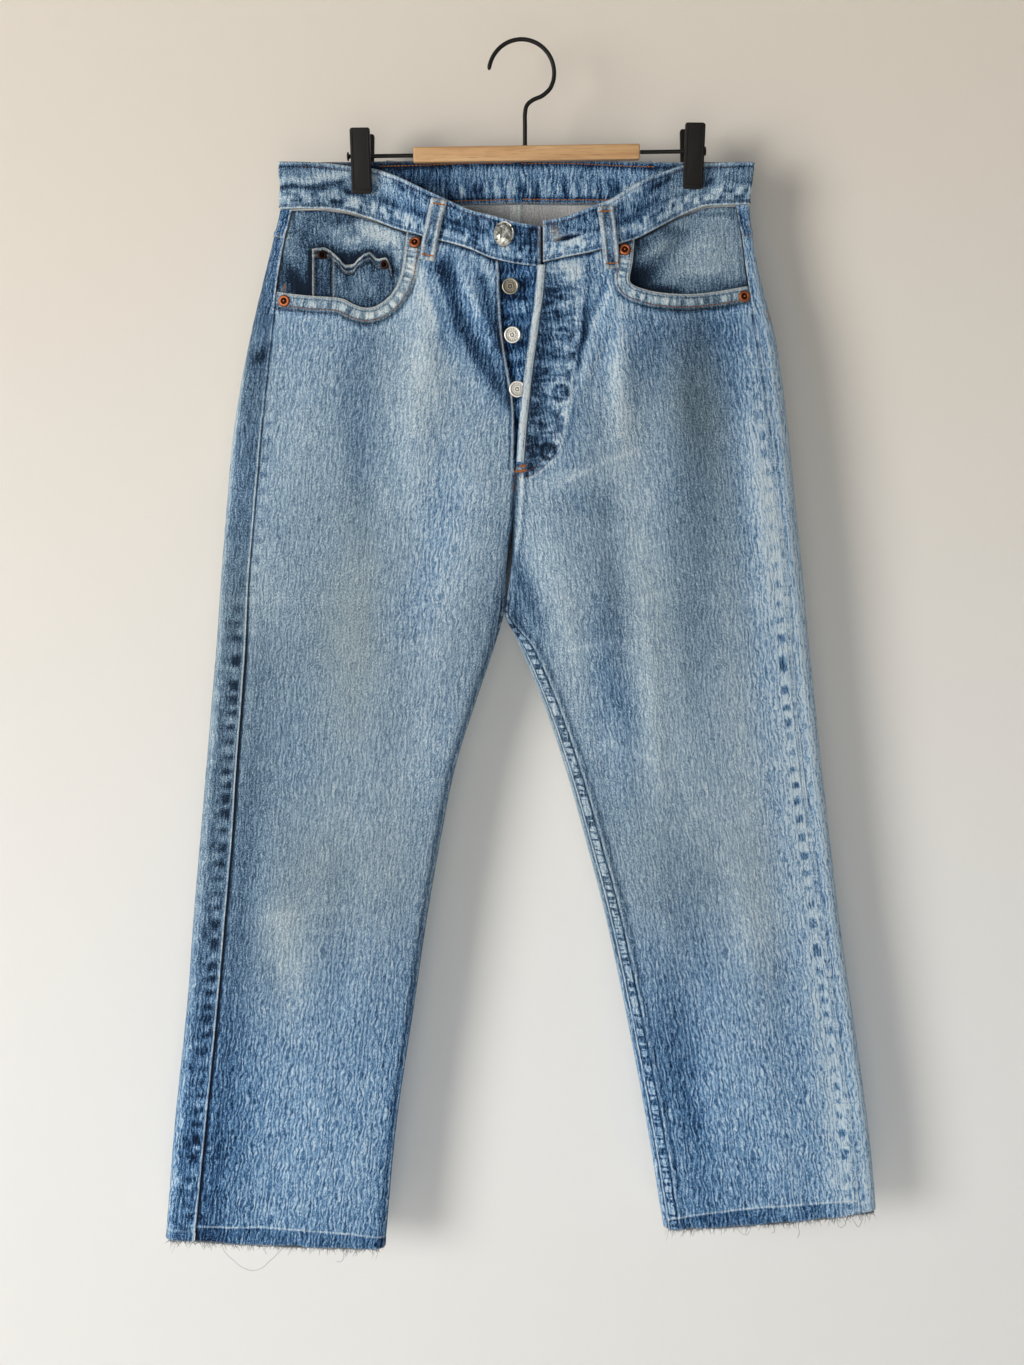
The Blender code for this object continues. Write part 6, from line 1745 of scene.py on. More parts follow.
def sewAlong(owners, line, pitch, dye, radius=0.00032, share=0.66, face="front", skip=0.06, seed=1.0):
    # a row of stitches, each a little bead of thread whose ends go down into the cloth
    line = curveThrough(line, 0.0005) if len(line) < 40 else np.asarray(line)
    run = runAlong(line)
    work = workOn(owners[0])
    at = pitch * 0.5
    k = 0
    while at < run[-1]:
        k += 1
        wobble = hashed(k, seed, 3.0)
        if wobble > skip:
            half = pitch * share * (0.46 + 0.08 * hashed(k, seed, 7.0))
            marks = np.array((-1.0, -0.55, 0.0, 0.55, 1.0)) * half + at
            xs, zs = np.interp(marks, run, line[:, 0]), np.interp(marks, run, line[:, 1])
            middle = spotOn(owners, xs[2], zs[2], face)
            if middle is not None:
                hit, normal = middle
                side = np.array((xs - xs[2], np.zeros(5), zs - zs[2])).T
                normal = np.array(normal)
                side = side - (side @ normal)[:, None] * normal
                lift = np.array((-0.9, 0.45, 0.75, 0.45, -0.9))[:, None] * radius * normal
                thick = radius * np.array((0.7, 1.0, 1.08, 1.0, 0.7)) * (0.9 + 0.2 * hashed(k, seed, 9.0))
                work.tube(np.array(hit) + side + lift, thick, dye + 0.04 * (wobble - 0.5), 4, math.pi / 4)
        at += pitch


def barTack(owners, centre, along, width, tall, dye, rows=1, face="front", seed=1.0):
    # close zigzag stitches over a short bar
    centre, along = np.array(centre) * mm, np.array(along, float) / np.linalg.norm(along)
    across = np.array((-along[1], along[0]))
    count = int(width / 0.00055)
    work = workOn(owners[0])
    for row in range(rows):
        for k in range(count):
            at = (k / (count - 1) - 0.5) * width
            shift = (row - (rows - 1) / 2) * tall * 1.5 + 0.00012 * (hashed(k, row, seed) - 0.5)
            lean = 0.18 * (1 if k % 2 else -1)
            ends = [centre + along * (at + lean * tall * t)
                    + across * (shift + t * tall / 2 * (0.9 + 0.2 * hashed(k, seed, 5.0)))
                    for t in (-1, 0, 1)]
            spot = spotOn(owners, *ends[1], face)
            if spot is None:
                continue
            hit, normal = np.array(spot[0]), np.array(spot[1])
            side = np.array([(e[0] - ends[1][0], 0, e[1] - ends[1][1]) for e in ends])
            side = side - (side @ normal)[:, None] * normal
            work.tube(hit + side + normal * np.array((-0.0001, 0.00035, -0.0001))[:, None],
                      (0.00022, 0.00030, 0.00022), dye + 0.06 * (hashed(k, seed, 2.0) - 0.5), 4)


def sewFronts():
    for side in ("right", "left"):
        owners = ["front_" + side, "pocket_hem_" + side]
        away = -outwardX[side]
        line = pocketLine[side]
        sewAlong(owners, offsetLine(line, 0.0100 * away)[18:-6], 0.0029, 0.72, 0.00040, share=0.92,
                 skip=0.03, seed=3.0)
        sewAlong(owners, offsetLine(line, 0.0026 * away)[14:-6], 0.0024, 0.30, 0.00020, share=0.5,
                 skip=0.35, seed=2.0)
    owners = ["front_left", "fly_placket"]
    for by in (0.0002, -0.0048):
        sewAlong(owners, offsetLine(jStitch, by)[10:150], 0.0029, 0.16, 0.00024, skip=0.30, seed=4.0)
        sewAlong(owners, offsetLine(jStitch, by)[150:], 0.0029, 0.70, 0.00026, skip=0.12, seed=4.5)
    # double stitching below the fly, and its tack
    for by in (-1.6, 2.4):
        line = np.array(((-2.5 + by, -359), (-4 + by, -366), (-6 + by, -374))) * mm
        sewAlong(["front_left", "front_right", "fly_placket"], line, 0.0028, 0.9 if by < 0 else 0.75,
                 0.00034, skip=0.05, seed=5.0)
    barTack(["front_left", "front_right", "fly_fold", "fly_placket"], (-1.2, -355.4), (1, 0.08), 0.0100,
            0.0026, 1.0, 2, seed=5.0)
    barTack(["front_left", "back_left"], (210.5, -226), (0.12, -1), 0.0090, 0.0016, 0.96, 1, seed=6.0)
    barTack(["facing_right"], (-201.5, -203), (-0.2, -1), 0.0050, 0.0014, 0.9, 1, seed=7.0)
    barTack(["waistband"], (-3.0, -91.5), (1, 0), 0.0150, 0.0020, 0.8, 1, "back", seed=8.0)


def sewLoops():
    for name, face, xTop, zTop, xFoot, zFoot, _ in beltLoops:
        top, foot = np.array((xTop, zTop)), np.array((xFoot, zFoot))
        length = np.linalg.norm(foot - top)
        along = (foot - top) / length
        across = np.array((-along[1], along[0]))
        for sideways in (-2.6, 2.6):
            line = [(top + along * t * length + across * sideways) * mm for t in (0.11, 0.4, 0.7, 0.89)]
            sewAlong([name], line, 0.0027, 0.38 if sideways < 0 else 0.62, 0.00022, skip=0.25, face=face,
                     seed=xTop)
        barTack([name], top + along * 4.2, across, 0.0098, 0.0019, 0.94, 1, face, seed=xTop)
        barTack([name], foot - along * 4.4, across, 0.0098, 0.0019, 1.0, 1, face, seed=xTop + 1)
        # frayed ends and edges
        for corner, way in ((top, -along), (foot, along)):
            inner = corner - way * 0.6
            ends = [spotOn([name], *((inner + across * t) * mm), face) for t in (-5.5, -3, 0, 3, 5.5)]
            if all(ends):
                frayAlong(name, [e[0] for e in ends], (way[0], 0, way[1]), 2600, 0.0011, 0.05, 0.7,
                          seed=xTop, radius=0.00011)


def sewCoinPocket():
    line = curveThrough(coinTop) + np.array((0, -0.0078))
    sewAlong(["coin_pocket"], line[4:-2], 0.0028, 0.34, 0.00024, skip=0.1, seed=8.0)
    for dx in (0.0022, 0.0165):
        sewAlong(["coin_pocket"], np.array(((-0.177 + dx, -0.181), (-0.177 + dx, -0.208))), 0.0028, 0.34,
                 0.00024, skip=0.1, seed=9.0)


def sewBack():
    for side in ("right", "left"):
        outward = outwardX[side]
        lean = 0.035 * outward

        def place(localX, localZ):
            return (0.107 * outward + localX - localZ * lean, -0.214 + localZ + localX * lean)

        for inset in (0.0020, 0.0085):
            half, low = 0.074 - inset, 0.063 - inset
            path = [place(-half, -0.002), place(-low, -0.128 + inset * 0.6),
                    place(0, -0.156 + inset * 1.05), place(low, -0.128 + inset * 0.6), place(half, -0.002)]
            for a, b in zip(path, path[1:]):
                sewAlong(["pocket_" + side], np.linspace(a, b, 60), 0.0031, 0.86, 0.00034, face="back",
                         seed=inset * 9000)
        sewAlong(["pocket_" + side], np.linspace(place(-0.072, -0.013), place(0.072, -0.013), 60), 0.0031,
                 0.86, 0.00034, face="back", seed=3.3)
        way = np.linspace(0.03, 0.97, 80)
        for up in (0.0020, 0.0085):
            x = xAt(side, way, -0.19)
            z = yokeHeight(side, way, 1.0) + up
            sewAlong(["yoke_" + side], np.stack([x, z], axis=1), 0.0031, 0.84, 0.00034, face="back",
                     seed=up * 5000)
            short = np.linspace(seamX(side, -0.155) + outward * 0.0014,
                                foldX(side, -0.155) - outward * 0.0010, 40)
            sewAlong(["yoke_" + side], np.stack([short, np.full(40, -0.1600 + up)], axis=1), 0.0028, 0.66,
                     0.00030, seed=up * 3000)
        for away in (0.0020, 0.0078):
            z = np.linspace(-0.212, crotch + 0.012, 60)
            x = innerX(side, z) + outward * away
            sewAlong(["back_" + side], np.stack([x, z], axis=1), 0.0031, 0.84, 0.00034, face="back",
                     seed=away * 4000)
        # rows along the waistband, before and behind
        for front, share in ((True, "front"), (False, "back")):
            for top in (True, False):
                way = np.linspace(0.06, 0.93, 70)
                edges = bandEdges(side, np.full(70, front), way)
                z = edges[0] - 0.0040 if top else edges[1] + 0.0032
                x = xAt(side, way, z)
                dye = (0.62 if top else 0.30) if front else 0.82
                thick, skip = (0.00022, 0.30) if front else (0.00032, 0.05)
                sewAlong(["waistband"], np.stack([x, z], axis=1), 0.0030, dye, thick, skip=skip,
                         face=share, seed=share.count("a") + top)


def sewInsideBand():
    # what the open waist shows: the back half of the band from inside, with its orange rows
    band = surfaces["waistband"]
    for side in ("right", "left"):
        way = np.linspace(0.42, 0.985, 70)
        edges = bandEdges(side, np.zeros(70, bool), way)
        for z, dye, thick in ((edges[0] - 0.0042, 0.90, 0.00040), (edges[1] + 0.0036, 0.95, 0.00052),
                              (edges[1] + 0.0010, 0.05, 0.00034)):
            x = xAt(side, way, z)
            line = np.stack([x, z], axis=1)
            run = runAlong(line)
            work = workOn("waistband")
            for at in np.arange(0.001, run[-1], 0.0030):
                marks = np.array((-1.1, -0.5, 0.0, 0.5, 1.1)) * mm + at
                xs, zs = np.interp(marks, run, x), np.interp(marks, run, z)
                hits = [band.ray_cast(Vector((a, 0.0, b)), Vector((0, 1, 0))) for a, b in zip(xs, zs)]
                if any(h[0] is None for h in hits):
                    continue
                points = np.array([h[0] for h in hits])
                points[:, 1] -= np.array((-0.0002, 0.0002, 0.0003, 0.0002, -0.0002))
                work.tube(points, np.array((0.7, 1, 1.1, 1, 0.7)) * thick, dye, 4)


def frayAlong(owner, roots, outward, density, length, dye, spread=0.5, seed=1.0, radius=0.00011, curl=0.4):
    # loose fibre ends from an edge. roots is a line of points, outward the way they point
    roots = np.asarray(roots)
    run = runAlong(roots)
    work = workOn(owner)
    count = int(run[-1] * density)
    for k in range(count):
        at = run[-1] * (k + hashed(k, seed, 1.0)) / count
        root = np.array([np.interp(at, run, roots[:, c]) for c in range(3)])
        scatter = np.array([hashed(k, seed, c) for c in (2.0, 3.0, 4.0)]) - 0.5
        way = np.array(outward) + spread * scatter * 2
        way /= np.linalg.norm(way)
        bend = curl * (np.array([hashed(k, seed, c) for c in (5.0, 6.0, 7.0)]) - 0.5) * 2
        reach = length * (0.35 + 1.1 * hashed(k, seed, 8.0) ** 2)
        t = np.linspace(0, 1, 4)[:, None]
        points = root - way * 0.0006 + way * t * reach + bend * t * t * reach
        work.tube(points, radius * np.array((1.1, 1.0, 0.8, 0.4)), dye, 3)


def hemFray():
    for name in ("front_right", "front_left", "back_right", "back_left"):
        side = name.split("_")[1]
        front = name.startswith("front")
        way = np.linspace(0.02, 0.98, 120)
        heights = frontHeight(side, way, np.full(120, 2.0))
        x = xAt(side, way, heights)
        points = skinPoints(side, np.full(120, front), x, heights)
        points[:, 1] += 0.0006 if front else -0.0006
        frayAlong(name, points, (0, 0, -1), 3600, 0.0042, 0.40, 0.9, seed=1.0 + front, radius=0.00026,
                  curl=0.7)
        frayAlong(name, points, (0, -0.2 if front else 0.2, -1), 700, 0.0040, 0.26, 0.9, seed=6.0 + front,
                  radius=0.00013, curl=0.9)
        for end in (points[:6], points[-6:]):  # the corners have opened into tufts
            frayAlong(name, end, (0, 0, -1), 3200, 0.0052, 0.30, 0.9, seed=3.0, radius=0.00015, curl=0.9)
        # loose weft threads that run along the hem
        for k in range(9):
            start = hashed(k, len(name), 4.0) * 0.7
            ways = np.linspace(start, start + 0.12 + 0.18 * hashed(k, 3.0, 5.0), 26)
            z = frontHeight(side, np.clip(ways, 0, 1), np.full(26, 2.0))
            xs = xAt(side, ways, z)
            line = skinPoints(side, np.full(26, front), xs, z)
            line[:, 2] -= (0.0002 + 0.0016 * np.abs(lumps(ways * 0.2, ways * 0, 0.008, k + 1.5))
                           * np.sin(np.linspace(0, np.pi, 26)))
            line[:, 1] += (0.0008 if front else -0.0008) * lumps(ways * 0.2, ways * 0, 0.005, k + 7.5)
            workOn(name).tube(line, np.full(26, 0.00018), 0.28, 4)


looseThreads = {
    "front_right": (
        ((-274, -1053), (-270, -1065), (-259, -1076), (-250, -1081.5), (-243, -1082.5), (-235, -1079.5),
         (-229, -1073), (-224, -1069), (-214, -1058.5), (-209, -1054)),
        ((-162.5, -1055), (-161.5, -1067), (-163.5, -1074), (-168, -1075.5)),
        ((-233, -1056), (-233.5, -1062), (-232.5, -1068)),
    ),
    "front_left": (
        ((197, -1038), (200, -1046), (206, -1048.5), (209, -1046)),
        ((229, -1036), (231, -1045), (229, -1048)), ((252, -1035), (253.5, -1046), (252.5, -1052.5)),
        ((285, -1030), (290, -1040.5), (295, -1039), (297, -1034)),
        ((300, -1030), (307, -1040.5), (312, -1033)),
    ),
}


def hangLooseThreads():
    for owner, strands in looseThreads.items():
        for k, strand in enumerate(strands):
            line = curveThrough(np.array(strand) * mm, 0.0012)
            t = np.linspace(0, 1, len(line))
            x = line[:, 0] + 0.0004 * lumps(t, t * 0, 0.09, k + 2.2)
            points = np.stack([x, -0.0125 - 0.003 * np.sin(np.pi * t)
                               + 0.0006 * lumps(t, t * 0, 0.14, k + 5.2), line[:, 1]], axis=1)
            workOn(owner).tube(points, np.full(len(line), 0.00017), 0.36, 4)


sewFronts()
sewLoops()
sewCoinPocket()
sewBack()
sewInsideBand()
hemFray()
hangLooseThreads()
print("thread ready")
threads = {owner: work.make("worn_edge") for owner, work in threadWorks.items()}

# what shows of each cut piece, laid flat: width, length, area where it isn't a rectangle, and what holds it
cuts = {
    "waistband": (0.852, 0.039, None, ("clip_right_front_jaw", "clip_right_back_jaw",
                                       "clip_left_front_jaw", "clip_left_back_jaw")),
    "front_right": (0.233, 0.927, 0.178, ("waistband",)),
    "front_left": (0.258, 0.910, 0.173, ("waistband",)),
    "back_right": (0.313, 0.907, 0.235, ("yoke_right",)),
    "back_left": (0.316, 0.880, 0.231, ("yoke_left",)),
    "yoke_right": (0.233, 0.076, 0.0110, ("waistband",)),
    "yoke_left": (0.225, 0.076, 0.0110, ("waistband",)),
    "fly_underlap": (0.050, 0.181, 0.0062, ("front_right",)),
    "facing_right": (0.129, 0.092, 0.0102, ("waistband",)),
    "facing_left": (0.112, 0.089, 0.0084, ("waistband",)),
    "coin_pocket": (0.076, 0.049, 0.0030, ("facing_right",)),
    "pocket_right": (0.150, 0.158, 0.0202, ("back_right",)),
    "pocket_left": (0.150, 0.158, 0.0202, ("back_left",)),
    "loop_front_right": (0.016, 0.054, None, ("waistband",)),
    "loop_front_left": (0.016, 0.054, None, ("waistband",)),
    "loop_back_right": (0.016, 0.056, None, ("waistband",)),
    "loop_back_centre": (0.016, 0.057, None, ("waistband",)),
    "loop_back_left": (0.016, 0.056, None, ("waistband",)),
}
folded = {"front_right": ("pocket_hem_right",),
          "front_left": ("pocket_hem_left", "fly_placket", "fly_fold"), "back_right": ("rise_fell",)}
for name, (width, length, area, holders) in cuts.items():
    parts = [panels[part] for part in folded.get(name, ())]
    parts += [threads[part] for part in (name, *folded.get(name, ())) if part in threads]
print("sheets declared", len(cuts), "thread pieces", sorted(threads))


def metalMaterial(name, bright, dark, roughness, scale=900.0, metallic=1.0):
    # worn metal: tarnish in the hollows, rubbed brighter on the high parts
    material, tree, shader = newMaterial(name)
    noise = objectNoise(tree, {"Scale": scale, "Detail": 4})
    share = (attributeOf(tree, "wornAndGlint") + (noise - 0.5) * 0.9).clamped()
    dress(tree, shader, {"Base Color": mixColour(tree, share, dark, bright), "Metallic": metallic,
                         "Roughness": roughness + 0.22 - share * 0.22}, (noise, 0.25, 0.0002))
    return material


copper = metalMaterial("copper", srgb(186, 106, 66), srgb(54, 28, 16), 0.42, metallic=0.85)
darkCopper = metalMaterial("darkCopper", srgb(58, 36, 28), srgb(12, 9, 9), 0.40)
silver = metalMaterial("silver", srgb(250, 245, 234), srgb(104, 98, 88), 0.34, metallic=0.7)
dullSilver = metalMaterial("dullSilver", srgb(176, 168, 150), srgb(56, 52, 46), 0.40)
steel = metalMaterial("steel", srgb(206, 204, 198), srgb(110, 108, 104), 0.26, 400)


def turnedPiece(name, profile, material, steps=48, stretch=1.0, ripple=None):
    # profile rows: radius, height, how worn. ripple changes the height by angle and radius
    profile = np.array(profile, float)
    angle = np.linspace(0, 2 * math.pi, steps, endpoint=False)
    radius, height, wornAndGlint = profile[:, 0], profile[:, 1], profile[:, 2]
    rr, aa = np.meshgrid(radius, angle, indexing="ij")
    hh = np.repeat(height[:, None], steps, axis=1)
    if ripple is not None:
        hh = hh + ripple(rr, aa)
    verts = np.stack([rr * np.cos(aa), rr * np.sin(aa) * stretch, hh], axis=-1).reshape(-1, 3) * mm
    index = np.arange(len(profile) * steps).reshape(-1, steps)
    a, b = index[:-1], index[1:]
    faces = np.stack([a, b, np.roll(b, -1, 1), np.roll(a, -1, 1)], axis=-1).reshape(-1, 4)
    mesh = meshFrom(name, verts, faces, {"wornAndGlint": np.repeat(wornAndGlint, steps)})
    bm = bmesh.new()
    bm.from_mesh(mesh)
    bmesh.ops.remove_doubles(bm, verts=bm.verts, dist=0.000002)
    intoMesh(bm, mesh, 50)
    return linkObject(name, mesh, material)


def seat(obj, owners, x, z, sink=0.0, spin=0.0, radius=0.004):
    # on the highest cloth under its foot, turned to the cloth
    normals, points = [], []
    for dx, dz in ((0, 0), (1, 0), (-1, 0), (0, 1), (0, -1)):
        spot = spotOn(owners, x + dx * radius, z + dz * radius)
        if spot:
            points.append(np.array(spot[0]))
            normals.append(np.array(spot[1]))
    normal = np.mean(normals, axis=0)
    normal = Vector(normal / np.linalg.norm(normal))
    centre = Vector(points[0])
    rise = max((Vector(point) - centre).dot(normal) for point in points)
    sideways = (Vector((1, 0, 0)) - normal * normal.x).normalized()
    turn = Matrix((sideways, normal.cross(sideways), normal)).transposed().to_4x4()
    obj.matrix_world = (Matrix.Translation(centre + normal * (rise - sink)) @ turn
                        @ Matrix.Rotation(spin, 4, "Z"))
    return obj


rivetProfile = (
    (0, 2.2, 1.3), (0.5, 2.1, 1.1), (0.9, 1.7, 0.3), (1.15, 1.0, -0.4), (1.5, 0.45, -0.5), (2.1, 0.4, -0.5),
    (2.4, 0.9, 0.1), (2.7, 1.35, 0.8), (3.4, 1.45, 0.9), (4.1, 1.3, 0.85), (4.6, 0.95, 0.6),
    (4.95, 0.4, 0.2), (5.0, -0.3, 0), (4.6, -0.5, 0), (0, -0.5, 0),
)


def makeRivets():
    def ring(r, a):
        # a plain beaded ring, pressed in
        return 0.10 * np.cos(a * 22) * bell(r - 3.4, 0.8)

    for name, owners, x, z in (("rivet_1", ("front_right", "pocket_hem_right"), -89.5, -167),
                               ("rivet_2", ("front_right", "pocket_hem_right"), -201, -214.5),
                               ("rivet_3", ("front_left", "pocket_hem_left"), 87, -173),
                               ("rivet_4", ("front_left", "pocket_hem_left"), 189, -210.5)):
        obj = turnedPiece(name + "_cap", rivetProfile, copper, 66, ripple=ring)
        finishPiece(seat(obj, owners, x * mm, z * mm, 0.0002, radius=0.0042), [name])
    small = [(r * 0.8, h * 0.75, w * 0.8) for r, h, w in rivetProfile]
    for name, x, z in (("coin_rivet_1", -168.5, -176), ("coin_rivet_2", -115.5, -184.5)):
        obj = turnedPiece(name + "_cap", small, darkCopper, 48)
        finishPiece(seat(obj, ("coin_pocket", "facing_right"), x * mm, z * mm, 0.0002, radius=0.003),
                    [name])


def makeButtons():
    profile = [(0, 4.75, 0.7), (0.8, 4.72, 0.6), (1.2, 4.5, 0.1), (1.7, 4.5, 0.2), (2.2, 4.8, 0.8),
               (2.7, 4.75, 0.7), (3.0, 4.62, 0.3), (3.5, 4.64, 0.5), (4.1, 4.70, 0.6), (4.7, 4.66, 0.4),
               (5.2, 4.68, 0.4), (5.6, 5.05, 0.8), (6.2, 5.25, 1.0), (6.7, 5.05, 0.9), (7.0, 4.6, 0.5),
               (7.0, 4.1, 0.2), (6.4, 3.7, 0.1), (2.6, 3.3, 0.1), (2.5, 0.2, 0.1), (2.9, -0.2, 0.1),
               (0, -0.2, 0)]

    def leaves(r, a):
        return ((0.16 * np.cos(a * 14) + 0.07 * np.cos(a * 28 + r * 3)) * bell(r - 4.2, 0.75)
                + 0.05 * np.cos(a * 36) * bell(r - 1.9, 0.4))

    for name, x, z, material in (("fly_button_1", -9.5, -204, dullSilver),
                                 ("fly_button_2", -7.5, -244, silver),
                                 ("fly_button_3", -3.5, -289, silver)):
        obj = turnedPiece(name + "_cap", profile, material, 84, ripple=leaves)
        finishPiece(seat(obj, ("fly_underlap",), x * mm, z * mm, 0.0006, spin=x, radius=0.002),
                    [name])


def crystalMaterial():
    material, tree, shader = newMaterial("crystal")
    # painted reflections: the facets' brightness and small cells stand for the room mirrored in the stone
    cells = addNode(tree, "TexVoronoi", {"Scale": 330, "Vector": objectPlace(tree)})
    split = addNode(tree, "SeparateColor", {0: cells.outputs["Color"]})
    value = (attributeOf(tree, "wornAndGlint") * 0.65 + Value(tree, split.outputs[0]) * 0.42).clamped()
    tone = ramp(tree, value, ((0.0, srgb(36, 36, 34)), (0.35, srgb(96, 96, 90)), (0.6, srgb(176, 174, 162)),
                              (0.8, srgb(236, 233, 220)), (1.0, srgb(255, 254, 248))))
    dress(tree, shader, {"Base Color": tone, "Metallic": 0.35, "Roughness": 0.08, "Coat Weight": 1.0,
                         "Coat Roughness": 0.02})
    return material


def makeCrystal():
    # an oval stone cut in facets, foil-backed, in a claw setting
    rings = ((0.0, 5.9, 1), (3.6, 5.9, 8), (5.4, 5.0, 16), (6.9, 3.8, 16), (7.4, 2.9, 32), (7.4, 2.4, 32),
             (5.0, 1.4, 16), (0.0, 1.2, 1))
    bm = bmesh.new()
    for k, (radius, height, count) in enumerate(rings):
        for i in range(count):
            angle = 2 * math.pi * (i + 0.5 * (k % 2)) / count
            bm.verts.new((radius * math.cos(angle) * mm, 1.27 * radius * math.sin(angle) * mm, height * mm))
    hull = bmesh.ops.convex_hull(bm, input=bm.verts)
    bmesh.ops.delete(bm, geom=list(set(hull["geom_interior"])), context="VERTS")
    mesh = bpy.data.meshes.new("crystal_stone")
    intoMesh(bm, mesh)
    layer = mesh.attributes.new("wornAndGlint", "FLOAT", "FACE")
    # painted reflections: each facet gets a random brightness, raised where it faces up and lowered where
    # it faces the right
    for i, face in enumerate(mesh.polygons):
        layer.data[i].value = hashed(i, 3.0, 4.0) * 0.8 + 0.25 * face.normal.z - 0.1 * face.normal.x
    stone = linkObject("crystal_stone", mesh, crystalMaterial())
    profile = [(0, 1.2, 0.2), (6.6, 1.3, 0.3), (7.2, 2.2, 0.6), (7.5, 3.1, 0.9), (7.95, 3.3, 1.0),
               (8.15, 2.8, 0.8), (8.1, 1.2, 0.4), (7.2, 0.5, 0.2), (3.2, 0.3, 0.1), (3.0, 0.0, 0.1),
               (0, 0, 0)]

    def milled(r, a):
        return 0.18 * np.cos(a * 30) * bell(r - 8, 0.6)

    cup = turnedPiece("crystal_setting", profile, silver, 72, 1.26, ripple=milled)
    bm = bmesh.new()
    bm.from_mesh(cup.data)
    for angle in (38, 142, 218, 322, 270):
        a = math.radians(angle)
        tall = 4.9 if angle != 270 else 2.6
        made = bmesh.ops.create_uvsphere(bm, u_segments=12, v_segments=8, radius=1.0 * mm)
        bmesh.ops.scale(bm, vec=(1.1, 0.8, 1.0), verts=made["verts"])
        reach = 1.0 if angle != 270 else 1.12
        bmesh.ops.translate(bm, vec=(7.3 * math.cos(a) * mm * reach,
                                     7.3 * 1.26 * math.sin(a) * mm * reach, (tall - 0.9) * mm),
                            verts=made["verts"])
        if angle == 270:
            bmesh.ops.scale(bm, vec=(2.6, 1.0, 0.8), space=Matrix.Translation((0, 9.2 * 1.12 * mm, 0)),
                            verts=made["verts"])
    bm.to_mesh(cup.data)
    bm.free()
    for obj in (stone, cup):
        seat(obj, ("waistband",), -0.0150, -0.1612, 0.0004, radius=0.003)
        obj.matrix_world = obj.matrix_world @ Matrix.Rotation(math.radians(-4), 4, "Z")
    finishPiece(stone)
    finishPiece(cup, ["button_waist"])


makeRivets()
makeButtons()
makeCrystal()


def blackMaterial(name, tone, roughness, scale, relief):
    material, tree, shader = newMaterial(name)
    noise = objectNoise(tree, {"Scale": scale, "Detail": 5})
    colour = mixColour(tree, noise, tuple(0.6 * c for c in tone), tuple(1.5 * c for c in tone))
    dress(tree, shader, {"Base Color": colour, "Roughness": roughness - 0.1 + noise * 0.2,
                         "Specular IOR Level": 0.20}, (noise, relief, 0.0003))
    return material


def woodMaterial():
    material, tree, shader = newMaterial("beech")

    def streaks(stretch, sockets):
        mapping = addNode(tree, "Mapping", {"Scale": stretch, "Vector": objectPlace(tree)})
        return Value(tree, addNode(tree, "TexNoise",
                                   {"Vector": mapping.outputs[0], **sockets}).outputs["Fac"])

    grain = streaks((5, 90, 90), {"Scale": 2.2, "Detail": 6, "Roughness": 0.62, "Distortion": 0.7})
    fleck = streaks((70, 1300, 1300), {"Scale": 1.0, "Detail": 3})
    tone = ramp(tree, grain, ((0.25, srgb(170, 122, 76)), (0.5, srgb(200, 157, 109)),
                              (0.75, srgb(216, 177, 130))))
    dark = ((fleck - 0.52) * 2.4).clamped()
    dress(tree, shader, {"Base Color": mixColour(tree, dark, tone, srgb(150, 104, 62)), "Roughness": 0.45,
                         "Coat Weight": 0.15}, (fleck, 0.15, 0.0003))
    return material


hanger = {"barLeft": -0.0913, "barRight": 0.1000, "barZ": -0.0914, "tilt": 0.0147, "barTall": 0.0127,
          "barDeep": 0.0100, "wire": 0.0018, "arc": 0.0275, "stemX": 0.003, "rod": 0.0017}


def onBar(x):
    return hanger["barZ"] + (x - (hanger["barLeft"] + hanger["barRight"]) / 2) * hanger["tilt"]


def roundedBox(bm, size, bevel, segments=3):
    made = bmesh.ops.create_cube(bm, size=1.0)
    bmesh.ops.scale(bm, vec=size, verts=made["verts"])
    bmesh.ops.bevel(bm, geom=[e for e in bm.edges if e.verts[0] in made["verts"]], offset=bevel,
                    segments=segments, profile=0.5, affect="EDGES")


def makeBar():
    bm = bmesh.new()
    length = hanger["barRight"] - hanger["barLeft"]
    roundedBox(bm, (length, hanger["barDeep"], hanger["barTall"]), 0.0014, 4)
    mesh = bpy.data.meshes.new("wood_bar")
    bm.to_mesh(mesh)
    bm.free()
    mesh.shade_smooth()
    mesh.set_sharp_from_angle(angle=math.radians(35))
    bar = linkObject("wood_bar", mesh, woodMaterial())
    bar.location = ((hanger["barLeft"] + hanger["barRight"]) / 2, 0, hanger["barZ"])
    bar.rotation_euler = (0, -math.atan(hanger["tilt"]), 0)
    finishPiece(bar, ["hanger_bar"])


def sweptWire(name, points, radius, material):
    work = ThreadWork(name)
    radii = np.full(len(points), radius)
    radii[0], radii[1] = radius * 0.35, radius * 0.86
    work.tube(points, radii, 0.5, 16)
    mesh = meshFrom(name, np.vstack(work.verts), np.vstack(work.faces))
    bm = bmesh.new()
    bm.from_mesh(mesh)
    bmesh.ops.holes_fill(bm, edges=bm.edges, sides=0)
    intoMesh(bm, mesh)
    mesh.shade_smooth()
    return linkObject(name, mesh, material)


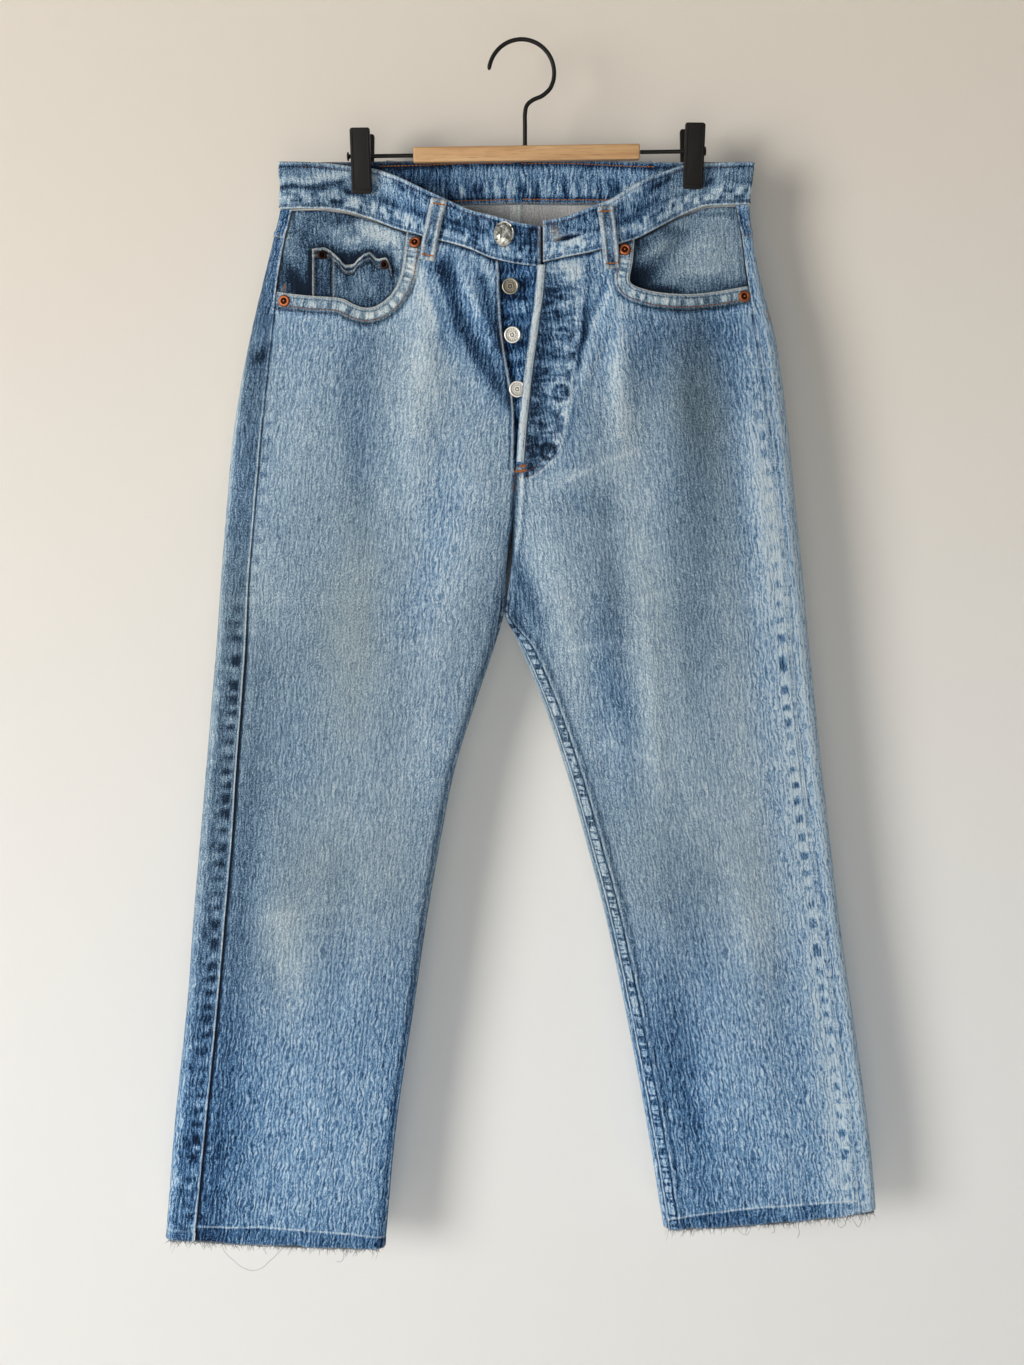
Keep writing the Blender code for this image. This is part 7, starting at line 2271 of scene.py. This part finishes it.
def makeHook():
    centre = hanger["wire"] - hanger["arc"]
    angle = np.radians(np.linspace(172, -14, 48))
    arc = np.stack([hanger["arc"] * np.cos(angle), 0 * angle, centre + hanger["arc"] * np.sin(angle)],
                   axis=1)
    foot = onBar(hanger["stemX"]) + hanger["barTall"] / 2 + 0.0003
    neck = np.array([arc[-1], (0.0238, 0, -0.0385), (0.0175, 0, -0.0440), (0.0095, 0, -0.0475),
                     (0.0045, 0, -0.0520), (hanger["stemX"], 0, -0.0590), (hanger["stemX"], 0, -0.068),
                     (hanger["stemX"], 0, foot)])
    line = np.vstack([arc[:-1], curveThrough(neck, 0.0012)])
    start = arc[0] + (arc[0] - arc[1]) / np.linalg.norm(arc[0] - arc[1]) * 0.0012
    obj = sweptWire("hook_wire", np.vstack([start, line]), hanger["wire"], blackMetal)
    finishPiece(obj, ["hanger_hook"])
    # the small collar where the hook goes into the wood
    collar = turnedPiece("hook_collar", ((0, 1.2, 0.5), (2.0, 1.2, 0.5), (2.6, 1.0, 0.6), (2.9, 0.5, 0.6),
                                         (3.0, 0.0, 0.3), (0, 0.0, 0.2)), blackMetal, 32)
    collar.location = (hanger["stemX"], 0, foot - 0.0006)
    finishPiece(collar)


def makeRods():
    for side, start, end in (("right", hanger["barLeft"], -0.1476), ("left", hanger["barRight"], 0.1562)):
        outward = outwardX[side]
        length = abs(end - start) / mm - 0.45
        profile = ((0, length + 0.2, 0.5), (1.6, length + 0.1, 0.5), (3.0, length - 0.1, 0.6),
                   (3.7, length - 0.5, 0.7), (3.9, length - 0.9, 0.7), (3.6, length - 1.3, 0.4),
                   (2.6, length - 1.6, 0.2), (1.9, length - 1.9, 0.2), (1.7, length - 2.6, 0.3),
                   (1.7, 0.0, 0.4), (0, 0, 0))
        rod = turnedPiece("rod_" + side, profile, blackMetal, 28)
        slope = Vector((outward, 0, outward * hanger["tilt"])).normalized()
        rod.matrix_world = (Matrix.Translation((start + outward * 0.00045, 0, onBar(start)))
                            @ slope.to_track_quat("Z", "Y").to_matrix().to_4x4())
        finishPiece(rod, ["hanger_rod_" + side])


jaw = {"width": 0.0168, "height": 0.0535, "thickness": 0.0040, "top": 0.0212, "footGap": 0.0033,
       "flare": 0.0117, "toeIn": 2.6}


def makeClip(side):
    outward = outwardX[side]
    x = clipX[side]
    home = Matrix.Translation((x, 0, onBar(x)))
    toe = Matrix.Rotation(outward * math.radians(jaw["toeIn"]), 4, "Z")
    lean = math.atan(jaw["flare"] / jaw["height"])
    for face in ("front", "back"):
        facing = -1 if face == "front" else 1
        bm = bmesh.new()
        bmesh.ops.create_cube(bm, size=1.0)
        bmesh.ops.scale(bm, vec=(jaw["width"], jaw["thickness"], jaw["height"]), verts=bm.verts)
        upright = [e for e in bm.edges if abs(e.verts[0].co.y - e.verts[1].co.y) > 0.001]
        bmesh.ops.bevel(bm, geom=upright, offset=0.0022, segments=6, profile=0.5, affect="EDGES")
        rim = [e for e in bm.edges if abs(e.verts[0].co.y - e.verts[1].co.y) < 0.0001
               and len(e.link_faces) == 2 and e.link_faces[0].normal.angle(e.link_faces[1].normal) > 1.0]
        bmesh.ops.bevel(bm, geom=rim, offset=0.0006, segments=3, profile=0.5, affect="EDGES")
        # a shallow rib down each edge and a lip at the foot, on the outer face
        for dx, dz, wide, tall in ((-0.0068, 0, 0.0012, 0.046), (0.0068, 0, 0.0012, 0.046),
                                   (0, -0.0238, 0.0130, 0.0012)):
            before = set(bm.verts)
            rib = bmesh.ops.create_cube(bm, size=1.0)
            bmesh.ops.scale(bm, vec=(wide, 0.0010, tall), verts=rib["verts"])
            bmesh.ops.translate(bm, vec=(dx, facing * (jaw["thickness"] / 2 + 0.00005), dz),
                                verts=rib["verts"])
            edges = [e for e in bm.edges if e.verts[0] not in before]
            bmesh.ops.bevel(bm, geom=edges, offset=0.0003, segments=2, profile=0.5, affect="EDGES")
        mesh = bpy.data.meshes.new(f"clip_{side}_{face}")
        intoMesh(bm, mesh, 40)
        obj = linkObject(f"clip_{side}_{face}", mesh, blackPlastic)
        middle = jaw["footGap"] + jaw["thickness"] / 2 + jaw["flare"] / 2
        obj.matrix_world = (home @ toe @ Matrix.Translation((0, facing * middle,
                                                             jaw["top"] - jaw["height"] / 2))
                            @ Matrix.Rotation(-facing * lean, 4, "X"))
        finishPiece(obj, [f"clip_{side}_{face}_jaw"])
    materials = bpy.data.objects["clip_" + side + "_spring"].data.materials
    materials.clear()
    materials.append(steel)


blackMetal = blackMaterial("blackMetal", srgb(24, 23, 21), 0.42, 500, 0.1)
blackPlastic = blackMaterial("blackPlastic", srgb(25, 22, 19), 0.55, 1400, 0.3)
makeBar()
makeHook()
makeRods()
for side in ("right", "left"):
    makeClip(side)
print("hardware ready")


def makeBackdrop():
    material, tree, shader = newMaterial("paleWall")
    # painted light: the wall is a little warmer and darker toward the top, standing in for how the lamps
    # light it
    height = addNode(tree, "SeparateXYZ", {0: objectPlace(tree)})
    share = addNode(tree, "MapRange", {"From Min": -1.0, "From Max": 0.15, "Value": height.outputs["Z"]},
                    interpolation_type="SMOOTHSTEP")
    low = mixColour(tree, objectNoise(tree, {"Scale": 1.3}), srgb(233, 232, 229), srgb(229, 228, 225))
    # seen from behind, and by the lights, the wall isn't there
    behind = Value(tree, addNode(tree, "NewGeometry").outputs["Backfacing"])
    shadow = Value(tree, addNode(tree, "LightPath").outputs["Is Shadow Ray"])
    dress(tree, shader, {"Base Color": mixColour(tree, share.outputs[0], low, srgb(222, 212, 198)),
                         "Roughness": 0.92, "Alpha": 1.0 - behind.math("MAXIMUM", behind, shadow)})
    wallY, floorZ, bend = 0.062, -1.55, 0.35
    line = [(wallY, 1.6), (wallY, floorZ + bend)]
    line += [(wallY - bend + bend * math.cos(a), floorZ + bend - bend * math.sin(a))
             for a in np.linspace(0, math.pi / 2, 12)[1:]]
    line.append((-4.5, floorZ))
    verts = [(x, y, z) for y, z in line for x in (-3.5, 3.5)]
    faces = [(2 * i, 2 * i + 1, 2 * i + 3, 2 * i + 2) for i in range(len(line) - 1)]
    mesh = meshFrom("backdrop", verts, faces)
    mesh.flip_normals()
    obj = linkObject("backdrop", mesh, material)


makeBackdrop()
